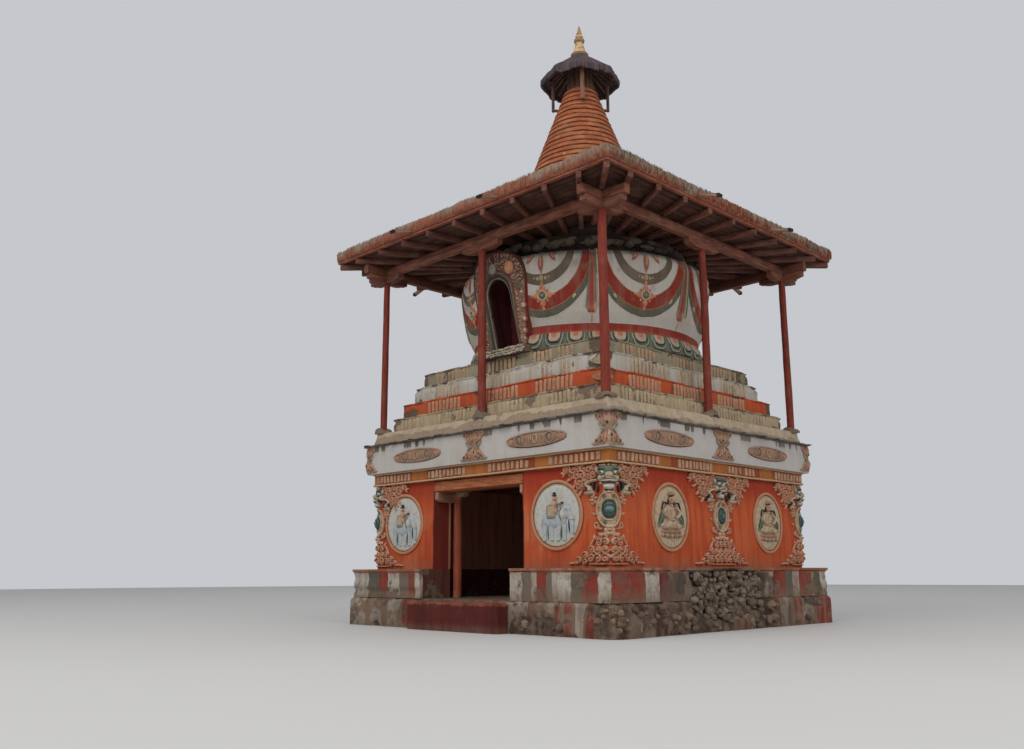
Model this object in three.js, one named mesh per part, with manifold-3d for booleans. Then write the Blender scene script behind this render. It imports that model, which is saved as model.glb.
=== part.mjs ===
// Square mud and stone stupa: striped plinth, chamber with a wide doorway, stepped tiers, a vase-shaped
// dome with a niche, and a timber canopy roof on eight posts with a ringed spire above it.
// Millimetres, +Z up. Origin: centre of the plan at ground level. The doorway faces -Y.
import * as THREE from 'three';
import { mergeVertices } from 'three/addons/utils/BufferGeometryUtils.js';
import Module from 'manifold-3d';

const wasm = await Module();
wasm.setup();

// Heights of the masonry courses
const FLOOR_Z = 566;
const PLINTH_TOP_Z = 1139;
const WALL_TOP_Z = 2909;
const OCHRE_TOP_Z = 3173;
const FRIEZE_TOP_Z = 3773;
const SLATE_TOP_Z = 3803;
const LEDGE_TOP_Z = 4086;
const TIER_TOP_Z = [4400, 4729, 5099, 5414];
const DOME_BASE_Z = 5700;
const DOME_TOP_Z = 7440;
const RAFTER_Z = 7900;
const DECK_Z = 8030;
const DECK_TOP_Z = 8075;
const ROOF_EDGE_Z = 8295;
const ROOF_MIDDLE_Z = 8560;
const HARMIKA_TOP_Z = 8750;
const SPIRE_TOP_Z = 12300;

// Half widths of the square courses
const BASE_HALF = 3660;
const PLINTH_HALF = 3600;
const PLINTH_LEDGE_HALF = 3630;
const WALL_HALF = 3250;
const CHAMBER_HALF = 2800;
const OCHRE_HALF = 3320;
const OCHRE_LEDGE_HALF = 3345;
const FRIEZE_HALF = 3440;
const SLATE_HALF = 3510;
const LEDGE_FOOT_HALF = 3340;
const LEDGE_HALF = 3285;
const TIER_HALF = [3085, 2917, 2754, 2583];
const TIER_LEDGE = 15;
const TIER_LEDGE_HEIGHT = 30;
const THIN_LEDGE_HEIGHT = 45;

// Doorway, its columns and the step before it
const DOOR_LEFT = -1367;
const DOOR_RIGHT = 1185;
const DOOR_TOP_Z = 2679;
const COLUMN_RADIUS = 88;
const COLUMN_Y = -2690;
const COLUMN_INSET = 105;
const CAPITAL_HEIGHT = 130;
const CAPITAL_LENGTH = 520;
const STEP_FRONT = 3960;
const STEP_TOP_Z = 540;

// Hole in the right face of the plinth and the base where the facing has fallen off
const HOLE_DEPTH = 150;
const HOLE_OUTLINE = [
  [-1460, 1075], [-1380, 700], [-1500, 420], [-900, 180], [200, 150],
  [900, 300], [1050, 700], [900, 1075], [150, 1110], [-700, 1105],
];

// Dome, lotus ring, collar and niche
const ROUND = 48;
const LOTUS_PROFILE = [[2520, 5414], [2580, 5470], [2575, 5610], [2480, DOME_BASE_Z]];
const DOME_PROFILE = [
  [2480, DOME_BASE_Z], [2500, 5940], [2530, 6010], [2605, 6170], [2685, 6450],
  [2745, 6800], [2790, 7170], [2775, 7310], [2690, DOME_TOP_Z],
];
const COLLAR_RADIUS = 2300;
const HARMIKA_HALF = 1950;
const NICHE_HALF_WIDTH = 310;
const NICHE_SPRING_Z = 6680;
const NICHE_BACK_Y = -1900;
const FRAME_FOOT_Z = 5560;
const FRAME_FOOT_HALF = 690;
const FRAME_SHOULDER_HALF = 810;
const FRAME_SHOULDER_Z = 6900;
const FRAME_TOP_Z = 7590;
const FRAME_FOOT_Y = -2614;
const FRAME_LEAN = 0.165;
const SILL_HALF = 790;
const SILL_FRONT_Y = -2750;

// Posts, beams and rafters
const POST_FOOT_RADIUS = 78;
const POST_HEAD_RADIUS = 72;
const POST_TOP_Z = 7610;
const CORNER_POST = 3199;
const MIDDLE_POST = 3200;
const BEAM_BOTTOM_Z = 7700;
const BEAM_LINE = 3200;
const BEAM_WIDTH = 150;
const BEAM_END = 3800;
const BOLSTER_LENGTH = 1100;
const BOLSTER_WIDTH = 125;
const RAFTER_END = 3925;
const RAFTER_TIP = 3995;
const RAFTER_INNER = 1965;
const RAFTER_WIDTH = 105;
const RAFTER_SPACING = 820;
const EAVE_BOARD_OUTER = 4010;
const ROOF_HALF = 4050;
const SPOUT_OFFSET = 1320;
const SPOUT_REACH = 500;
const SPOUT_WIDTH = 110;
const SPOUT_HEIGHT = 75;

// Spire, umbrella and finial
const SPIRE_FOOT_RADIUS = 1690;
const SPIRE_HEAD_RADIUS = 360;
const SPIRE_RINGS = 26;
const RING_STEP = 26;
const NECK_RADIUS = 280;
const UMBRELLA_RADIUS = 955;
const UMBRELLA_RIM_Z = 12490;
const UMBRELLA_EAVE_Z = 12710;
const UMBRELLA_TOP_Z = 13250;
const NECK_TOP_Z = 13040;
const STRUT_RADIUS = 655;
const STRUT_WIDTH = 60;
const STRUT_FOOT_Z = 11825;
const FINIAL_PROFILE = [
  [195, 13250], [200, 13320], [170, 13372], [150, 13400], [128, 13470], [106, 13560], [98, 13620],
  [118, 13645], [124, 13700], [112, 13765], [80, 13785], [86, 13830], [72, 13900], [42, 13985],
  [24, 14005], [20, 14050], [8, 14105],
];

function finish(roughness, colour, metalness = 0) {
  return new THREE.MeshStandardMaterial({ color: colour, roughness, metalness });
}

const MUD_BROWN = 0x7d6a58;
const DARK_RED = 0x5a211c;
const STRIPE_GREY = 0x8b8178;
const ORANGE = 0xb4532c;
const OCHRE = 0xa5682f;
const LIME_WHITE = 0xb5b0a8;
const SLATE = 0x6f675f;
const CREAM = 0xaea48e;
const TIER_ORANGE = 0xb2552f;
const GREY_GREEN = 0x908f7c;
const LOTUS_GREEN = 0x78897a;
const DOME_WHITE = 0xaaa59d;
const POST_RED = 0x743027;
const BEAM_RED = 0x633328;
const RAFTER_RED = 0x4d2a22;
const TERRACOTTA = 0xa56744;
const DARK_TIMBER = 0x2f2a30;
const NECK_TIMBER = 0x6e5647;
const GOLD = 0xc8a768;

// A closed three.js geometry becomes a solid that can be joined and cut
function toSolid(geometry) {
  let merged = geometry.index ? geometry.clone() : geometry;
  merged.deleteAttribute('normal');
  merged.deleteAttribute('uv');
  merged = mergeVertices(merged, 1e-3);
  return new wasm.Manifold(new wasm.Mesh({
    numProp: 3,
    vertProperties: new Float32Array(merged.attributes.position.array),
    triVerts: new Uint32Array(merged.index.array),
  }));
}

function toGeometry(solid) {
  const mesh = solid.getMesh();
  const geometry = new THREE.BufferGeometry();
  geometry.setAttribute('position', new THREE.BufferAttribute(new Float32Array(mesh.vertProperties), 3));
  geometry.setIndex(new THREE.BufferAttribute(new Uint32Array(mesh.triVerts), 1));
  geometry.computeVertexNormals();
  return geometry;
}

function joined(solids) {
  return solids.reduce((total, solid) => total.add(solid));
}

// Box between two corners
function boxGeometry(x0, x1, y0, y1, z0, z1) {
  return new THREE.BoxGeometry(x1 - x0, y1 - y0, z1 - z0)
    .translate((x0 + x1) / 2, (y0 + y1) / 2, (z0 + z1) / 2);
}

function box(x0, x1, y0, y1, z0, z1) {
  return toSolid(boxGeometry(x0, x1, y0, y1, z0, z1));
}

// Square slab centred on the axis
function slab(half, z0, z1) {
  return box(-half, half, -half, half, z0, z1);
}

// Square frustum: half width changes from the foot to the top
function frustum(footHalf, topHalf, z0, z1) {
  const geometry = new THREE.CylinderGeometry(topHalf * Math.SQRT2, footHalf * Math.SQRT2, z1 - z0, 4);
  geometry.rotateX(Math.PI / 2).rotateZ(Math.PI / 4).translate(0, 0, (z0 + z1) / 2);
  return toSolid(geometry);
}

// Solid of revolution about the vertical axis; the profile runs upward as [radius, z]
function turned(profile, segments = ROUND) {
  const points = [new THREE.Vector2(0, profile[0][1])];
  profile.forEach(([radius, z]) => points.push(new THREE.Vector2(radius, z)));
  points.push(new THREE.Vector2(0, profile[profile.length - 1][1]));
  return toSolid(new THREE.LatheGeometry(points, segments).rotateX(Math.PI / 2));
}

// Vertical cylinder or cone
function pole(x, y, footRadius, headRadius, z0, z1, segments = 16) {
  const geometry = new THREE.CylinderGeometry(headRadius, footRadius, z1 - z0, segments);
  return toSolid(geometry.rotateX(Math.PI / 2).translate(x, y, (z0 + z1) / 2));
}

// Outline in X and Z, pushed through along Y from y0 to y1
function prismAlongY(outline, y0, y1) {
  const shape = new THREE.Shape(outline.map(([x, z]) => new THREE.Vector2(x, z)));
  const geometry = new THREE.ExtrudeGeometry(shape, { depth: y1 - y0, bevelEnabled: false });
  return toSolid(geometry.rotateX(Math.PI / 2).translate(0, y1, 0));
}

// Quarter turns about the vertical axis carry the front piece to the other sides
const SIDES = { front: 0, right: Math.PI / 2, back: Math.PI, left: -Math.PI / 2 };

function turnedTo(solid, side) {
  return solid.rotate([0, 0, THREE.MathUtils.radToDeg(SIDES[side])]);
}

const group = new THREE.Group();

function place(name, solid, material) {
  const mesh = new THREE.Mesh(toGeometry(solid), material);
  mesh.name = name;
  group.add(mesh);
}

// Lower base, with the hole of the right face carried down into it
const holeShape = toSolid(new THREE.ExtrudeGeometry(
  new THREE.Shape(HOLE_OUTLINE.map(([y, z]) => new THREE.Vector2(y, z))),
  { depth: 400, bevelEnabled: false },
).applyMatrix4(new THREE.Matrix4().makeBasis(
  new THREE.Vector3(0, 1, 0), new THREE.Vector3(0, 0, 1), new THREE.Vector3(1, 0, 0),
)).translate(PLINTH_HALF - HOLE_DEPTH, 0, 0));
place('lower_base', slab(BASE_HALF, 0, FLOOR_Z).subtract(holeShape), finish(0.95, MUD_BROWN));
place('front_step', box(DOOR_LEFT, DOOR_RIGHT, -STEP_FRONT, -BASE_HALF, 0, STEP_TOP_Z), finish(0.9, DARK_RED));

// Plinth of five blocks, open at the doorway
function plinthBlock(x0, x1, y0, y1) {
  const ledge = [x0, x1, y0, y1].map((v) => (Math.abs(v) === PLINTH_HALF ? Math.sign(v) * PLINTH_LEDGE_HALF : v));
  return box(x0, x1, y0, y1, FLOOR_Z, PLINTH_TOP_Z)
    .add(box(...ledge, PLINTH_TOP_Z - THIN_LEDGE_HEIGHT, PLINTH_TOP_Z));
}
const stripes = () => finish(0.9, STRIPE_GREY);
place('plinth_front_left', plinthBlock(-CHAMBER_HALF, DOOR_LEFT, -PLINTH_HALF, -CHAMBER_HALF), stripes());
place('plinth_front_right', plinthBlock(DOOR_RIGHT, CHAMBER_HALF, -PLINTH_HALF, -CHAMBER_HALF), stripes());
place('plinth_back', plinthBlock(-CHAMBER_HALF, CHAMBER_HALF, CHAMBER_HALF, PLINTH_HALF), stripes());
place('plinth_left', plinthBlock(-PLINTH_HALF, -CHAMBER_HALF, -PLINTH_HALF, PLINTH_HALF), stripes());
place('plinth_right', plinthBlock(CHAMBER_HALF, PLINTH_HALF, -PLINTH_HALF, PLINTH_HALF).subtract(holeShape),
  stripes());

// Walls of the chamber
const wallFinish = () => finish(0.9, ORANGE);
const [W, C] = [WALL_HALF, CHAMBER_HALF];
place('front_wall_left', box(-C, DOOR_LEFT, -W, -C, PLINTH_TOP_Z, WALL_TOP_Z), wallFinish());
place('front_wall_right', box(DOOR_RIGHT, C, -W, -C, PLINTH_TOP_Z, WALL_TOP_Z), wallFinish());
place('back_wall', box(-C, C, C, W, PLINTH_TOP_Z, WALL_TOP_Z), wallFinish());
place('left_wall', box(-W, -C, -W, W, PLINTH_TOP_Z, WALL_TOP_Z), wallFinish());
place('right_wall', box(C, W, -W, W, PLINTH_TOP_Z, WALL_TOP_Z), wallFinish());
place('door_beam', box(DOOR_LEFT, DOOR_RIGHT, -W, -C, DOOR_TOP_Z, WALL_TOP_Z), finish(0.8, OCHRE));

// Round columns inside the jambs, each under a bolster that carries the ceiling
function doorColumn(x) {
  const neck = WALL_TOP_Z - CAPITAL_HEIGHT;
  const half = CAPITAL_LENGTH / 2;
  const bolster = prismAlongY(
    [[x - half, WALL_TOP_Z], [x - half, neck + 60], [x - half + 110, neck], [x + half - 110, neck],
      [x + half, neck + 60], [x + half, WALL_TOP_Z]].reverse(),
    COLUMN_Y - 70, COLUMN_Y + 70,
  );
  return pole(x, COLUMN_Y, COLUMN_RADIUS, COLUMN_RADIUS, FLOOR_Z, neck + 20).add(bolster);
}
place('door_column_left', doorColumn(DOOR_LEFT + COLUMN_INSET), finish(0.75, POST_RED));
place('door_column_right', doorColumn(DOOR_RIGHT - COLUMN_INSET), finish(0.75, POST_RED));

// Courses above the wall; the ochre course is also the ceiling of the chamber
place('ochre_band', joined([
  slab(OCHRE_HALF, WALL_TOP_Z, OCHRE_TOP_Z),
  slab(OCHRE_LEDGE_HALF, WALL_TOP_Z, WALL_TOP_Z + 30),
  slab(OCHRE_LEDGE_HALF, OCHRE_TOP_Z - 30, OCHRE_TOP_Z),
]), finish(0.85, OCHRE));
place('white_frieze', slab(FRIEZE_HALF, OCHRE_TOP_Z, FRIEZE_TOP_Z), finish(0.95, LIME_WHITE));
place('slate_course', slab(SLATE_HALF, FRIEZE_TOP_Z, SLATE_TOP_Z), finish(0.85, SLATE));
place('mud_ledge', frustum(LEDGE_FOOT_HALF, LEDGE_HALF, SLATE_TOP_Z, LEDGE_TOP_Z), finish(0.95, MUD_BROWN));

// Four stepped tiers, each with a thin ledge round its top
const tierFinishes = [
  ['tier_cream', CREAM], ['tier_orange', TIER_ORANGE], ['tier_white', LIME_WHITE], ['tier_grey_green', GREY_GREEN],
];
tierFinishes.forEach(([name, colour], step) => {
  const foot = step === 0 ? LEDGE_TOP_Z : TIER_TOP_Z[step - 1];
  const top = TIER_TOP_Z[step];
  const tier = slab(TIER_HALF[step], foot, top)
    .add(slab(TIER_HALF[step] + TIER_LEDGE, top - TIER_LEDGE_HEIGHT, top));
  place(name, tier, finish(0.93, colour));
});

// Lotus ring and dome, the dome hollowed by the niche
const lotus = turned(LOTUS_PROFILE);
const dome = turned(DOME_PROFILE);

// Arched outline with a straight foot; the arch is a half ellipse over the springing line
function archOutline(footHalf, springHalf, footZ, springZ, topZ, steps) {
  const outline = [[-footHalf, footZ], [footHalf, footZ]];
  for (let i = 0; i <= steps; i += 1) {
    const angle = (Math.PI * i) / steps;
    outline.push([springHalf * Math.cos(angle), springZ + (topZ - springZ) * Math.sin(angle)]);
  }
  return outline;
}
const nicheHollow = prismAlongY(
  archOutline(NICHE_HALF_WIDTH, NICHE_HALF_WIDTH, DOME_BASE_Z - 200, NICHE_SPRING_Z, 7000, 12),
  -3400, NICHE_BACK_Y,
);
place('lotus_ring', lotus, finish(0.9, LOTUS_GREEN));
place('dome', dome.subtract(nicheHollow), finish(0.9, DOME_WHITE));

// Frame of the niche: a leaning arched slab fitted to the dome behind it
const leaning = new THREE.Matrix4().set(
  1, 0, 0, 0,
  0, 1, -FRAME_LEAN, FRAME_LEAN * FRAME_FOOT_Z,
  0, 0, 1, 0,
  0, 0, 0, 1,
);
const frameSlab = prismAlongY(
  archOutline(FRAME_FOOT_HALF, FRAME_SHOULDER_HALF, FRAME_FOOT_Z, FRAME_SHOULDER_Z, FRAME_TOP_Z, 14),
  FRAME_FOOT_Y, FRAME_FOOT_Y + 330,
).transform(leaning.toArray());
const domeClearance = turned([...LOTUS_PROFILE, ...DOME_PROFILE.slice(1), [2690, 7700]]
  .map(([radius, z]) => [radius + 0.3, z]));
const frameHollow = prismAlongY(
  archOutline(NICHE_HALF_WIDTH, NICHE_HALF_WIDTH, DOME_BASE_Z, NICHE_SPRING_Z, 7000, 12),
  -3400, NICHE_BACK_Y,
);
place('niche_frame', frameSlab.subtract(domeClearance).subtract(frameHollow), finish(0.8, GREY_GREEN));
place('niche_sill', box(-SILL_HALF, SILL_HALF, SILL_FRONT_Y, -2450, TIER_TOP_Z[3], FRAME_FOOT_Z)
  .subtract(domeClearance), finish(0.85, CREAM));

// Collar between the dome and the roof, with a square core that carries the deck
place('dome_collar', pole(0, 0, COLLAR_RADIUS, COLLAR_RADIUS, DOME_TOP_Z, RAFTER_Z, ROUND)
  .add(slab(HARMIKA_HALF, RAFTER_Z - 20, DECK_Z)), finish(0.9, DOME_WHITE));

// Posts with a bolster on top; a corner post carries two crossing bolsters
function bolster(x, y, alongX) {
  const half = BOLSTER_LENGTH / 2;
  const outline = [
    [-half, BEAM_BOTTOM_Z], [-half, BEAM_BOTTOM_Z - 30], [-half + 170, POST_TOP_Z],
    [half - 170, POST_TOP_Z], [half, BEAM_BOTTOM_Z - 30], [half, BEAM_BOTTOM_Z],
  ];
  const piece = prismAlongY(outline.reverse(), -BOLSTER_WIDTH / 2, BOLSTER_WIDTH / 2);
  return (alongX ? piece : piece.rotate([0, 0, 90])).translate([x, y, 0]);
}

function post(x, y) {
  const shaft = pole(x, y, POST_FOOT_RADIUS, POST_HEAD_RADIUS, LEDGE_TOP_Z, POST_TOP_Z + 20);
  const bolsters = [];
  if (Math.abs(y) > 1) bolsters.push(bolster(x, y, true));
  if (Math.abs(x) > 1) bolsters.push(bolster(x, y, false));
  return joined([shaft, ...bolsters]);
}
const postFinish = () => finish(0.75, POST_RED);
const P = CORNER_POST;
place('post_front_left', post(-P, -P), postFinish());
place('post_front_right', post(P, -P), postFinish());
place('post_back_right', post(P, P), postFinish());
place('post_back_left', post(-P, P), postFinish());
place('post_front_middle', post(0, -MIDDLE_POST), postFinish());
place('post_right_middle', post(MIDDLE_POST, 0), postFinish());
place('post_back_middle', post(0, MIDDLE_POST), postFinish());
place('post_left_middle', post(-MIDDLE_POST, 0), postFinish());

// Perimeter beams: the side beams butt against the front and back ones
const beamFinish = () => finish(0.75, BEAM_RED);
const HALF_BEAM = BEAM_WIDTH / 2;
const sideBeamEnd = BEAM_LINE - HALF_BEAM;
const crossBeam = (sign) => box(-BEAM_END, BEAM_END, sign * BEAM_LINE - HALF_BEAM, sign * BEAM_LINE + HALF_BEAM,
  BEAM_BOTTOM_Z, RAFTER_Z);
const sideBeam = (sign) => box(sign * BEAM_LINE - HALF_BEAM, sign * BEAM_LINE + HALF_BEAM, -sideBeamEnd,
  sideBeamEnd, BEAM_BOTTOM_Z, RAFTER_Z);
place('beam_front', crossBeam(-1), beamFinish());
place('beam_back', crossBeam(1), beamFinish());
place('beam_right', sideBeam(1), beamFinish());
place('beam_left', sideBeam(-1), beamFinish());

// One side of the roof frame: nine fanned rafters, the hip rafter of one corner and the eave board
function rafter(x) {
  const outer = new THREE.Vector2(x, -RAFTER_END);
  const inner = outer.clone().multiplyScalar(RAFTER_INNER / RAFTER_END);
  const geometry = new THREE.BoxGeometry(RAFTER_WIDTH, outer.distanceTo(inner) + 300, DECK_Z - RAFTER_Z);
  const middle = outer.clone().add(inner).multiplyScalar(0.5);
  return toSolid(geometry.rotateZ(Math.atan2(x, RAFTER_END))
    .translate(middle.x, middle.y, (RAFTER_Z + DECK_Z) / 2));
}

function rafterSet() {
  const pieces = [];
  for (let i = -4; i <= 4; i += 1) pieces.push(rafter(i * RAFTER_SPACING));
  pieces.push(rafter(RAFTER_END));
  const [low, high] = [RAFTER_Z - 10, DECK_TOP_Z + 10];
  const fan = joined(pieces)
    .subtract(box(-2100, RAFTER_INNER, -RAFTER_INNER, 0, low, high))
    .subtract(box(-5000, 5000, -5000, -RAFTER_TIP, low, high))
    .subtract(box(RAFTER_TIP, 5000, -5000, 5000, low, high))
    .subtract(box(RAFTER_END - 0.3, 5000, -RAFTER_END + 0.3, 5000, low, high));
  return fan.add(box(-RAFTER_END + 0.3, EAVE_BOARD_OUTER, -EAVE_BOARD_OUTER, -RAFTER_END, DECK_Z - 45,
    DECK_TOP_Z));
}
Object.keys(SIDES).forEach((side) => {
  place(`rafters_${side}`, turnedTo(rafterSet(), side), finish(0.8, RAFTER_RED));
});
place('roof_deck', slab(RAFTER_END - 0.3, DECK_Z, DECK_TOP_Z), finish(0.8, RAFTER_RED));

// Mud and brushwood covering with two wooden channel spouts on each side
function spout(x) {
  const half = SPOUT_WIDTH / 2;
  const channel = [
    [x - half, SPOUT_HEIGHT], [x - half, 0], [x + half, 0], [x + half, SPOUT_HEIGHT],
    [x + half - 22, SPOUT_HEIGHT], [x + half - 22, 22], [x - half + 22, 22], [x - half + 22, SPOUT_HEIGHT],
  ];
  const tilt = new THREE.Matrix4().set(
    1, 0, 0, 0,
    0, 1, 0, 0,
    0, 0.1, 1, 8130 + 0.1 * ROOF_HALF,
    0, 0, 0, 1,
  );
  return prismAlongY(channel, -ROOF_HALF - SPOUT_REACH, -ROOF_HALF + 200).transform(tilt.toArray());
}
const spouts = Object.keys(SIDES).flatMap((side) => [-SPOUT_OFFSET, SPOUT_OFFSET]
  .map((x) => turnedTo(spout(x), side)));
place('roof_covering', joined([
  slab(ROOF_HALF, DECK_TOP_Z, ROOF_EDGE_Z),
  frustum(ROOF_HALF, HARMIKA_HALF, ROOF_EDGE_Z - 1, ROOF_MIDDLE_Z),
  ...spouts,
]), finish(0.97, MUD_BROWN));

// Square harmika above the roof, then the ringed spire
place('harmika', slab(HARMIKA_HALF - 20, ROOF_MIDDLE_Z, HARMIKA_TOP_Z), finish(0.9, DOME_WHITE));
const spireProfile = [];
for (let i = 0; i < SPIRE_RINGS; i += 1) {
  const share = i / SPIRE_RINGS;
  const radius = SPIRE_FOOT_RADIUS + (SPIRE_HEAD_RADIUS - SPIRE_FOOT_RADIUS) * share;
  const foot = HARMIKA_TOP_Z + (SPIRE_TOP_Z - HARMIKA_TOP_Z) * share;
  const top = HARMIKA_TOP_Z + ((SPIRE_TOP_Z - HARMIKA_TOP_Z) * (i + 1)) / SPIRE_RINGS;
  spireProfile.push([radius, foot], [radius - RING_STEP, top]);
}
place('spire', turned(spireProfile, 32), finish(0.9, TERRACOTTA));

// Neck of boards, umbrella shell with a rim, hanging struts and finial
place('spire_neck', pole(0, 0, NECK_RADIUS, NECK_RADIUS - 20, SPIRE_TOP_Z, NECK_TOP_Z, 12),
  finish(0.85, NECK_TIMBER));
const octagon = (profile) => turned(profile, 8);
const umbrella = octagon([
  [UMBRELLA_RADIUS, UMBRELLA_RIM_Z], [UMBRELLA_RADIUS + 15, UMBRELLA_EAVE_Z], [230, UMBRELLA_TOP_Z - 40],
  [210, UMBRELLA_TOP_Z],
]);
const umbrellaHollow = octagon([
  [UMBRELLA_RADIUS - 60, UMBRELLA_RIM_Z - 10], [UMBRELLA_RADIUS - 70, UMBRELLA_EAVE_Z - 80], [310, NECK_TOP_Z],
]);
place('umbrella', umbrella.subtract(umbrellaHollow), finish(0.8, DARK_TIMBER));

function strut() {
  const half = STRUT_WIDTH / 2;
  const upright = box(-half, half, -STRUT_RADIUS - half, -STRUT_RADIUS + half, STRUT_FOOT_Z, NECK_TOP_Z);
  const arm = box(-half, half, -STRUT_RADIUS, -400, STRUT_FOOT_Z, STRUT_FOOT_Z + STRUT_WIDTH);
  return upright.add(arm);
}
const CORNERS = { front_right: 45, back_right: 135, back_left: 225, front_left: 315 };
const underUmbrella = umbrellaHollow.translate([0, 0, -0.3])
  .add(slab(2000, SPIRE_TOP_Z - 1500, UMBRELLA_RIM_Z - 5));
const spireClearance = turned(spireProfile.map(([radius, z]) => [radius + 0.3, z]), 32);
Object.entries(CORNERS).forEach(([corner, angle]) => {
  const fitted = strut().rotate([0, 0, angle]).intersect(underUmbrella).subtract(spireClearance);
  place(`strut_${corner}`, fitted, finish(0.8, DARK_TIMBER));
});
place('finial', turned(FINIAL_PROFILE, 24), finish(0.35, GOLD, 0.9));

export default group;
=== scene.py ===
"""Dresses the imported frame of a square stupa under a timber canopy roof.

The masonry is rough lime-washed mud plaster, the roof is poles and boards with a brushwood and mud
covering. Every surface is worked out with numpy on a grid of two parameters, in metres, in the frame's
own axes: +Z up, doorway facing -Y.
"""
import logging
import math
from dataclasses import dataclass, field, replace
from enum import Enum
from functools import partial
from itertools import product
from typing import Callable, Optional, Sequence, Union

import bpy
import numpy as np
from mathutils import Matrix, Vector


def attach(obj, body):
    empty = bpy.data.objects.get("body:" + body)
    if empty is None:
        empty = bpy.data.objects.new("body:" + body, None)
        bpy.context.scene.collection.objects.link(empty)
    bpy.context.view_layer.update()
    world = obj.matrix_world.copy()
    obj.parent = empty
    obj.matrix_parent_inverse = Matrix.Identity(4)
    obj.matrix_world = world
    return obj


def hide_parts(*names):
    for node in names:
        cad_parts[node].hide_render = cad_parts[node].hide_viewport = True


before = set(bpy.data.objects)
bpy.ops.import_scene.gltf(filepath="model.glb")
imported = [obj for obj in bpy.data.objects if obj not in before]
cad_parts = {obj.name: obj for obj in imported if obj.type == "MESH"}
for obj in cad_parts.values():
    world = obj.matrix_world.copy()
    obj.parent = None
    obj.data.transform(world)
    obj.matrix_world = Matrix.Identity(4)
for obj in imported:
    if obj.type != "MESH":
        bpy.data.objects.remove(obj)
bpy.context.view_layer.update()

log = logging.getLogger("stupa")
Array = np.ndarray
Colour = tuple[float, float, float]
Pairs = Sequence[tuple[float, float]]
Stops = Sequence[tuple[float, Colour]]
Numbers = Union[float, Array]
Relief = Callable[[Array], Array]
RoundRelief = Callable[[Array, Array], Array]
BODY = "root"
TURN = 2.0 * math.pi
SHARP_FROM = math.radians(40.0)


# Numbers and noise


def srgb(red: int, green: int, blue: int) -> Colour:
    """Linear colour from the three screen values 0 to 255."""
    return tuple(((c / 255 + 0.055) / 1.055) ** 2.4 if c > 10 else c / 3294 for c in (red, green, blue))


def scaled(colour: Colour, factor: float) -> Colour:
    """A colour made lighter or darker."""
    return tuple(factor * c for c in colour)


def vectors(*parts: Numbers) -> Array:
    """Coordinates joined along a new last axis, each first spread to the shape that they share."""
    return np.stack(np.broadcast_arrays(*parts), axis=-1)


def axes(points: Array) -> Array:
    """The coordinates of points, one array each."""
    return np.moveaxis(points, -1, 0)


def polar(radius: Numbers, angle: Numbers, up: Numbers) -> Array:
    """Points about the axis: the angle is 0 at the front and grows towards the right side."""
    return vectors(radius * np.sin(angle), -radius * np.cos(angle), up)


def powered(value: Array, power: float) -> Array:
    """The size of a value raised to a power, with its sign kept."""
    return np.sign(value) * np.abs(value) ** power


def ease(value: Array, low: float, high: float) -> Array:
    """Smooth step: 0 below low, 1 above high, and 3t^2 - 2t^3 between them."""
    t = np.clip((value - low) / (high - low), 0.0, 1.0)
    return t * t * (3.0 - 2.0 * t)


def hashed(cell: Array, seed: int) -> Array:
    """A repeatable number from 0 to 1 for each whole-number lattice cell.

    Args:
        cell: whole numbers, the last axis holds x, y and z.
        seed: picks another set of numbers.

    Returns:
        One number for each cell.
    """
    whole = cell.astype(np.int64)
    mixed = whole[..., 0] * 73856093 ^ whole[..., 1] * 19349663 ^ whole[..., 2] * 83492791 ^ seed * 2654435761
    mixed = (mixed ^ (mixed >> 13)) & 0x7FFFFFFF
    mixed = (mixed * 1274126177) & 0x7FFFFFFF
    mixed = ((mixed ^ (mixed >> 16)) * 668265263) & 0x7FFFFFFF
    return (mixed >> 7) / float(1 << 24)


def value_noise(points: Array, size: float, seed: int = 1) -> Array:
    """Value noise: lattice numbers blended with smooth steps over the cells.

    Args:
        points: x, y and z on the last axis.
        size: of a cell.
        seed: picks the lattice numbers.

    Returns:
        A number from -1 to 1 for each point.
    """
    scaled_points = points / size
    base = np.floor(scaled_points)
    t = ease(scaled_points - base, 0.0, 1.0)
    total = np.zeros(points.shape[:-1])
    for corner in product((0, 1), repeat=3):
        weight = np.prod(np.where(np.array(corner) == 1, t, 1.0 - t), axis=-1)
        total += weight * hashed(base + np.array(corner), seed)
    return 2.0 * total - 1.0


def rough(points: Array, size: float, octaves: int = 4, seed: int = 1) -> Array:
    """Sum of octaves of value noise, each half the size and half the strength of the one before.

    Args:
        points: x, y and z on the last axis.
        size: of the largest cells.
        octaves: how many.
        seed: picks the lattice numbers.

    Returns:
        A number between -1 and 1 for each point.
    """
    total = np.zeros(points.shape[:-1])
    for octave in range(octaves):
        total += value_noise(points, size / 2 ** octave, seed + octave) / 2 ** (octave + 1)
    return total


def cobbles(points: Array, size: float, seed: int = 1) -> tuple[Array, Array]:
    """Distance to the nearest of scattered seeds, one in each cell, and how far the next one is beyond it.

    Args:
        points: x, y and z on the last axis.
        size: of a cell.
        seed: picks the seeds' places.

    Returns:
        Nearest distance over the size, and second distance less the first, over the size.
    """
    scaled_points = points / size
    base = np.floor(scaled_points)
    nearest = np.full(points.shape[:-1], 9.0)
    second = nearest.copy()
    for offset in product((-1, 0, 1), repeat=3):
        cell = base + np.array(offset)
        spot = cell + vectors(*[hashed(cell, seed + k) for k in range(3)])
        away = np.linalg.norm(scaled_points - spot, axis=-1)
        second = np.where(away < nearest, nearest, np.minimum(second, away))
        nearest = np.minimum(nearest, away)
    return nearest, second - nearest


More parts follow.
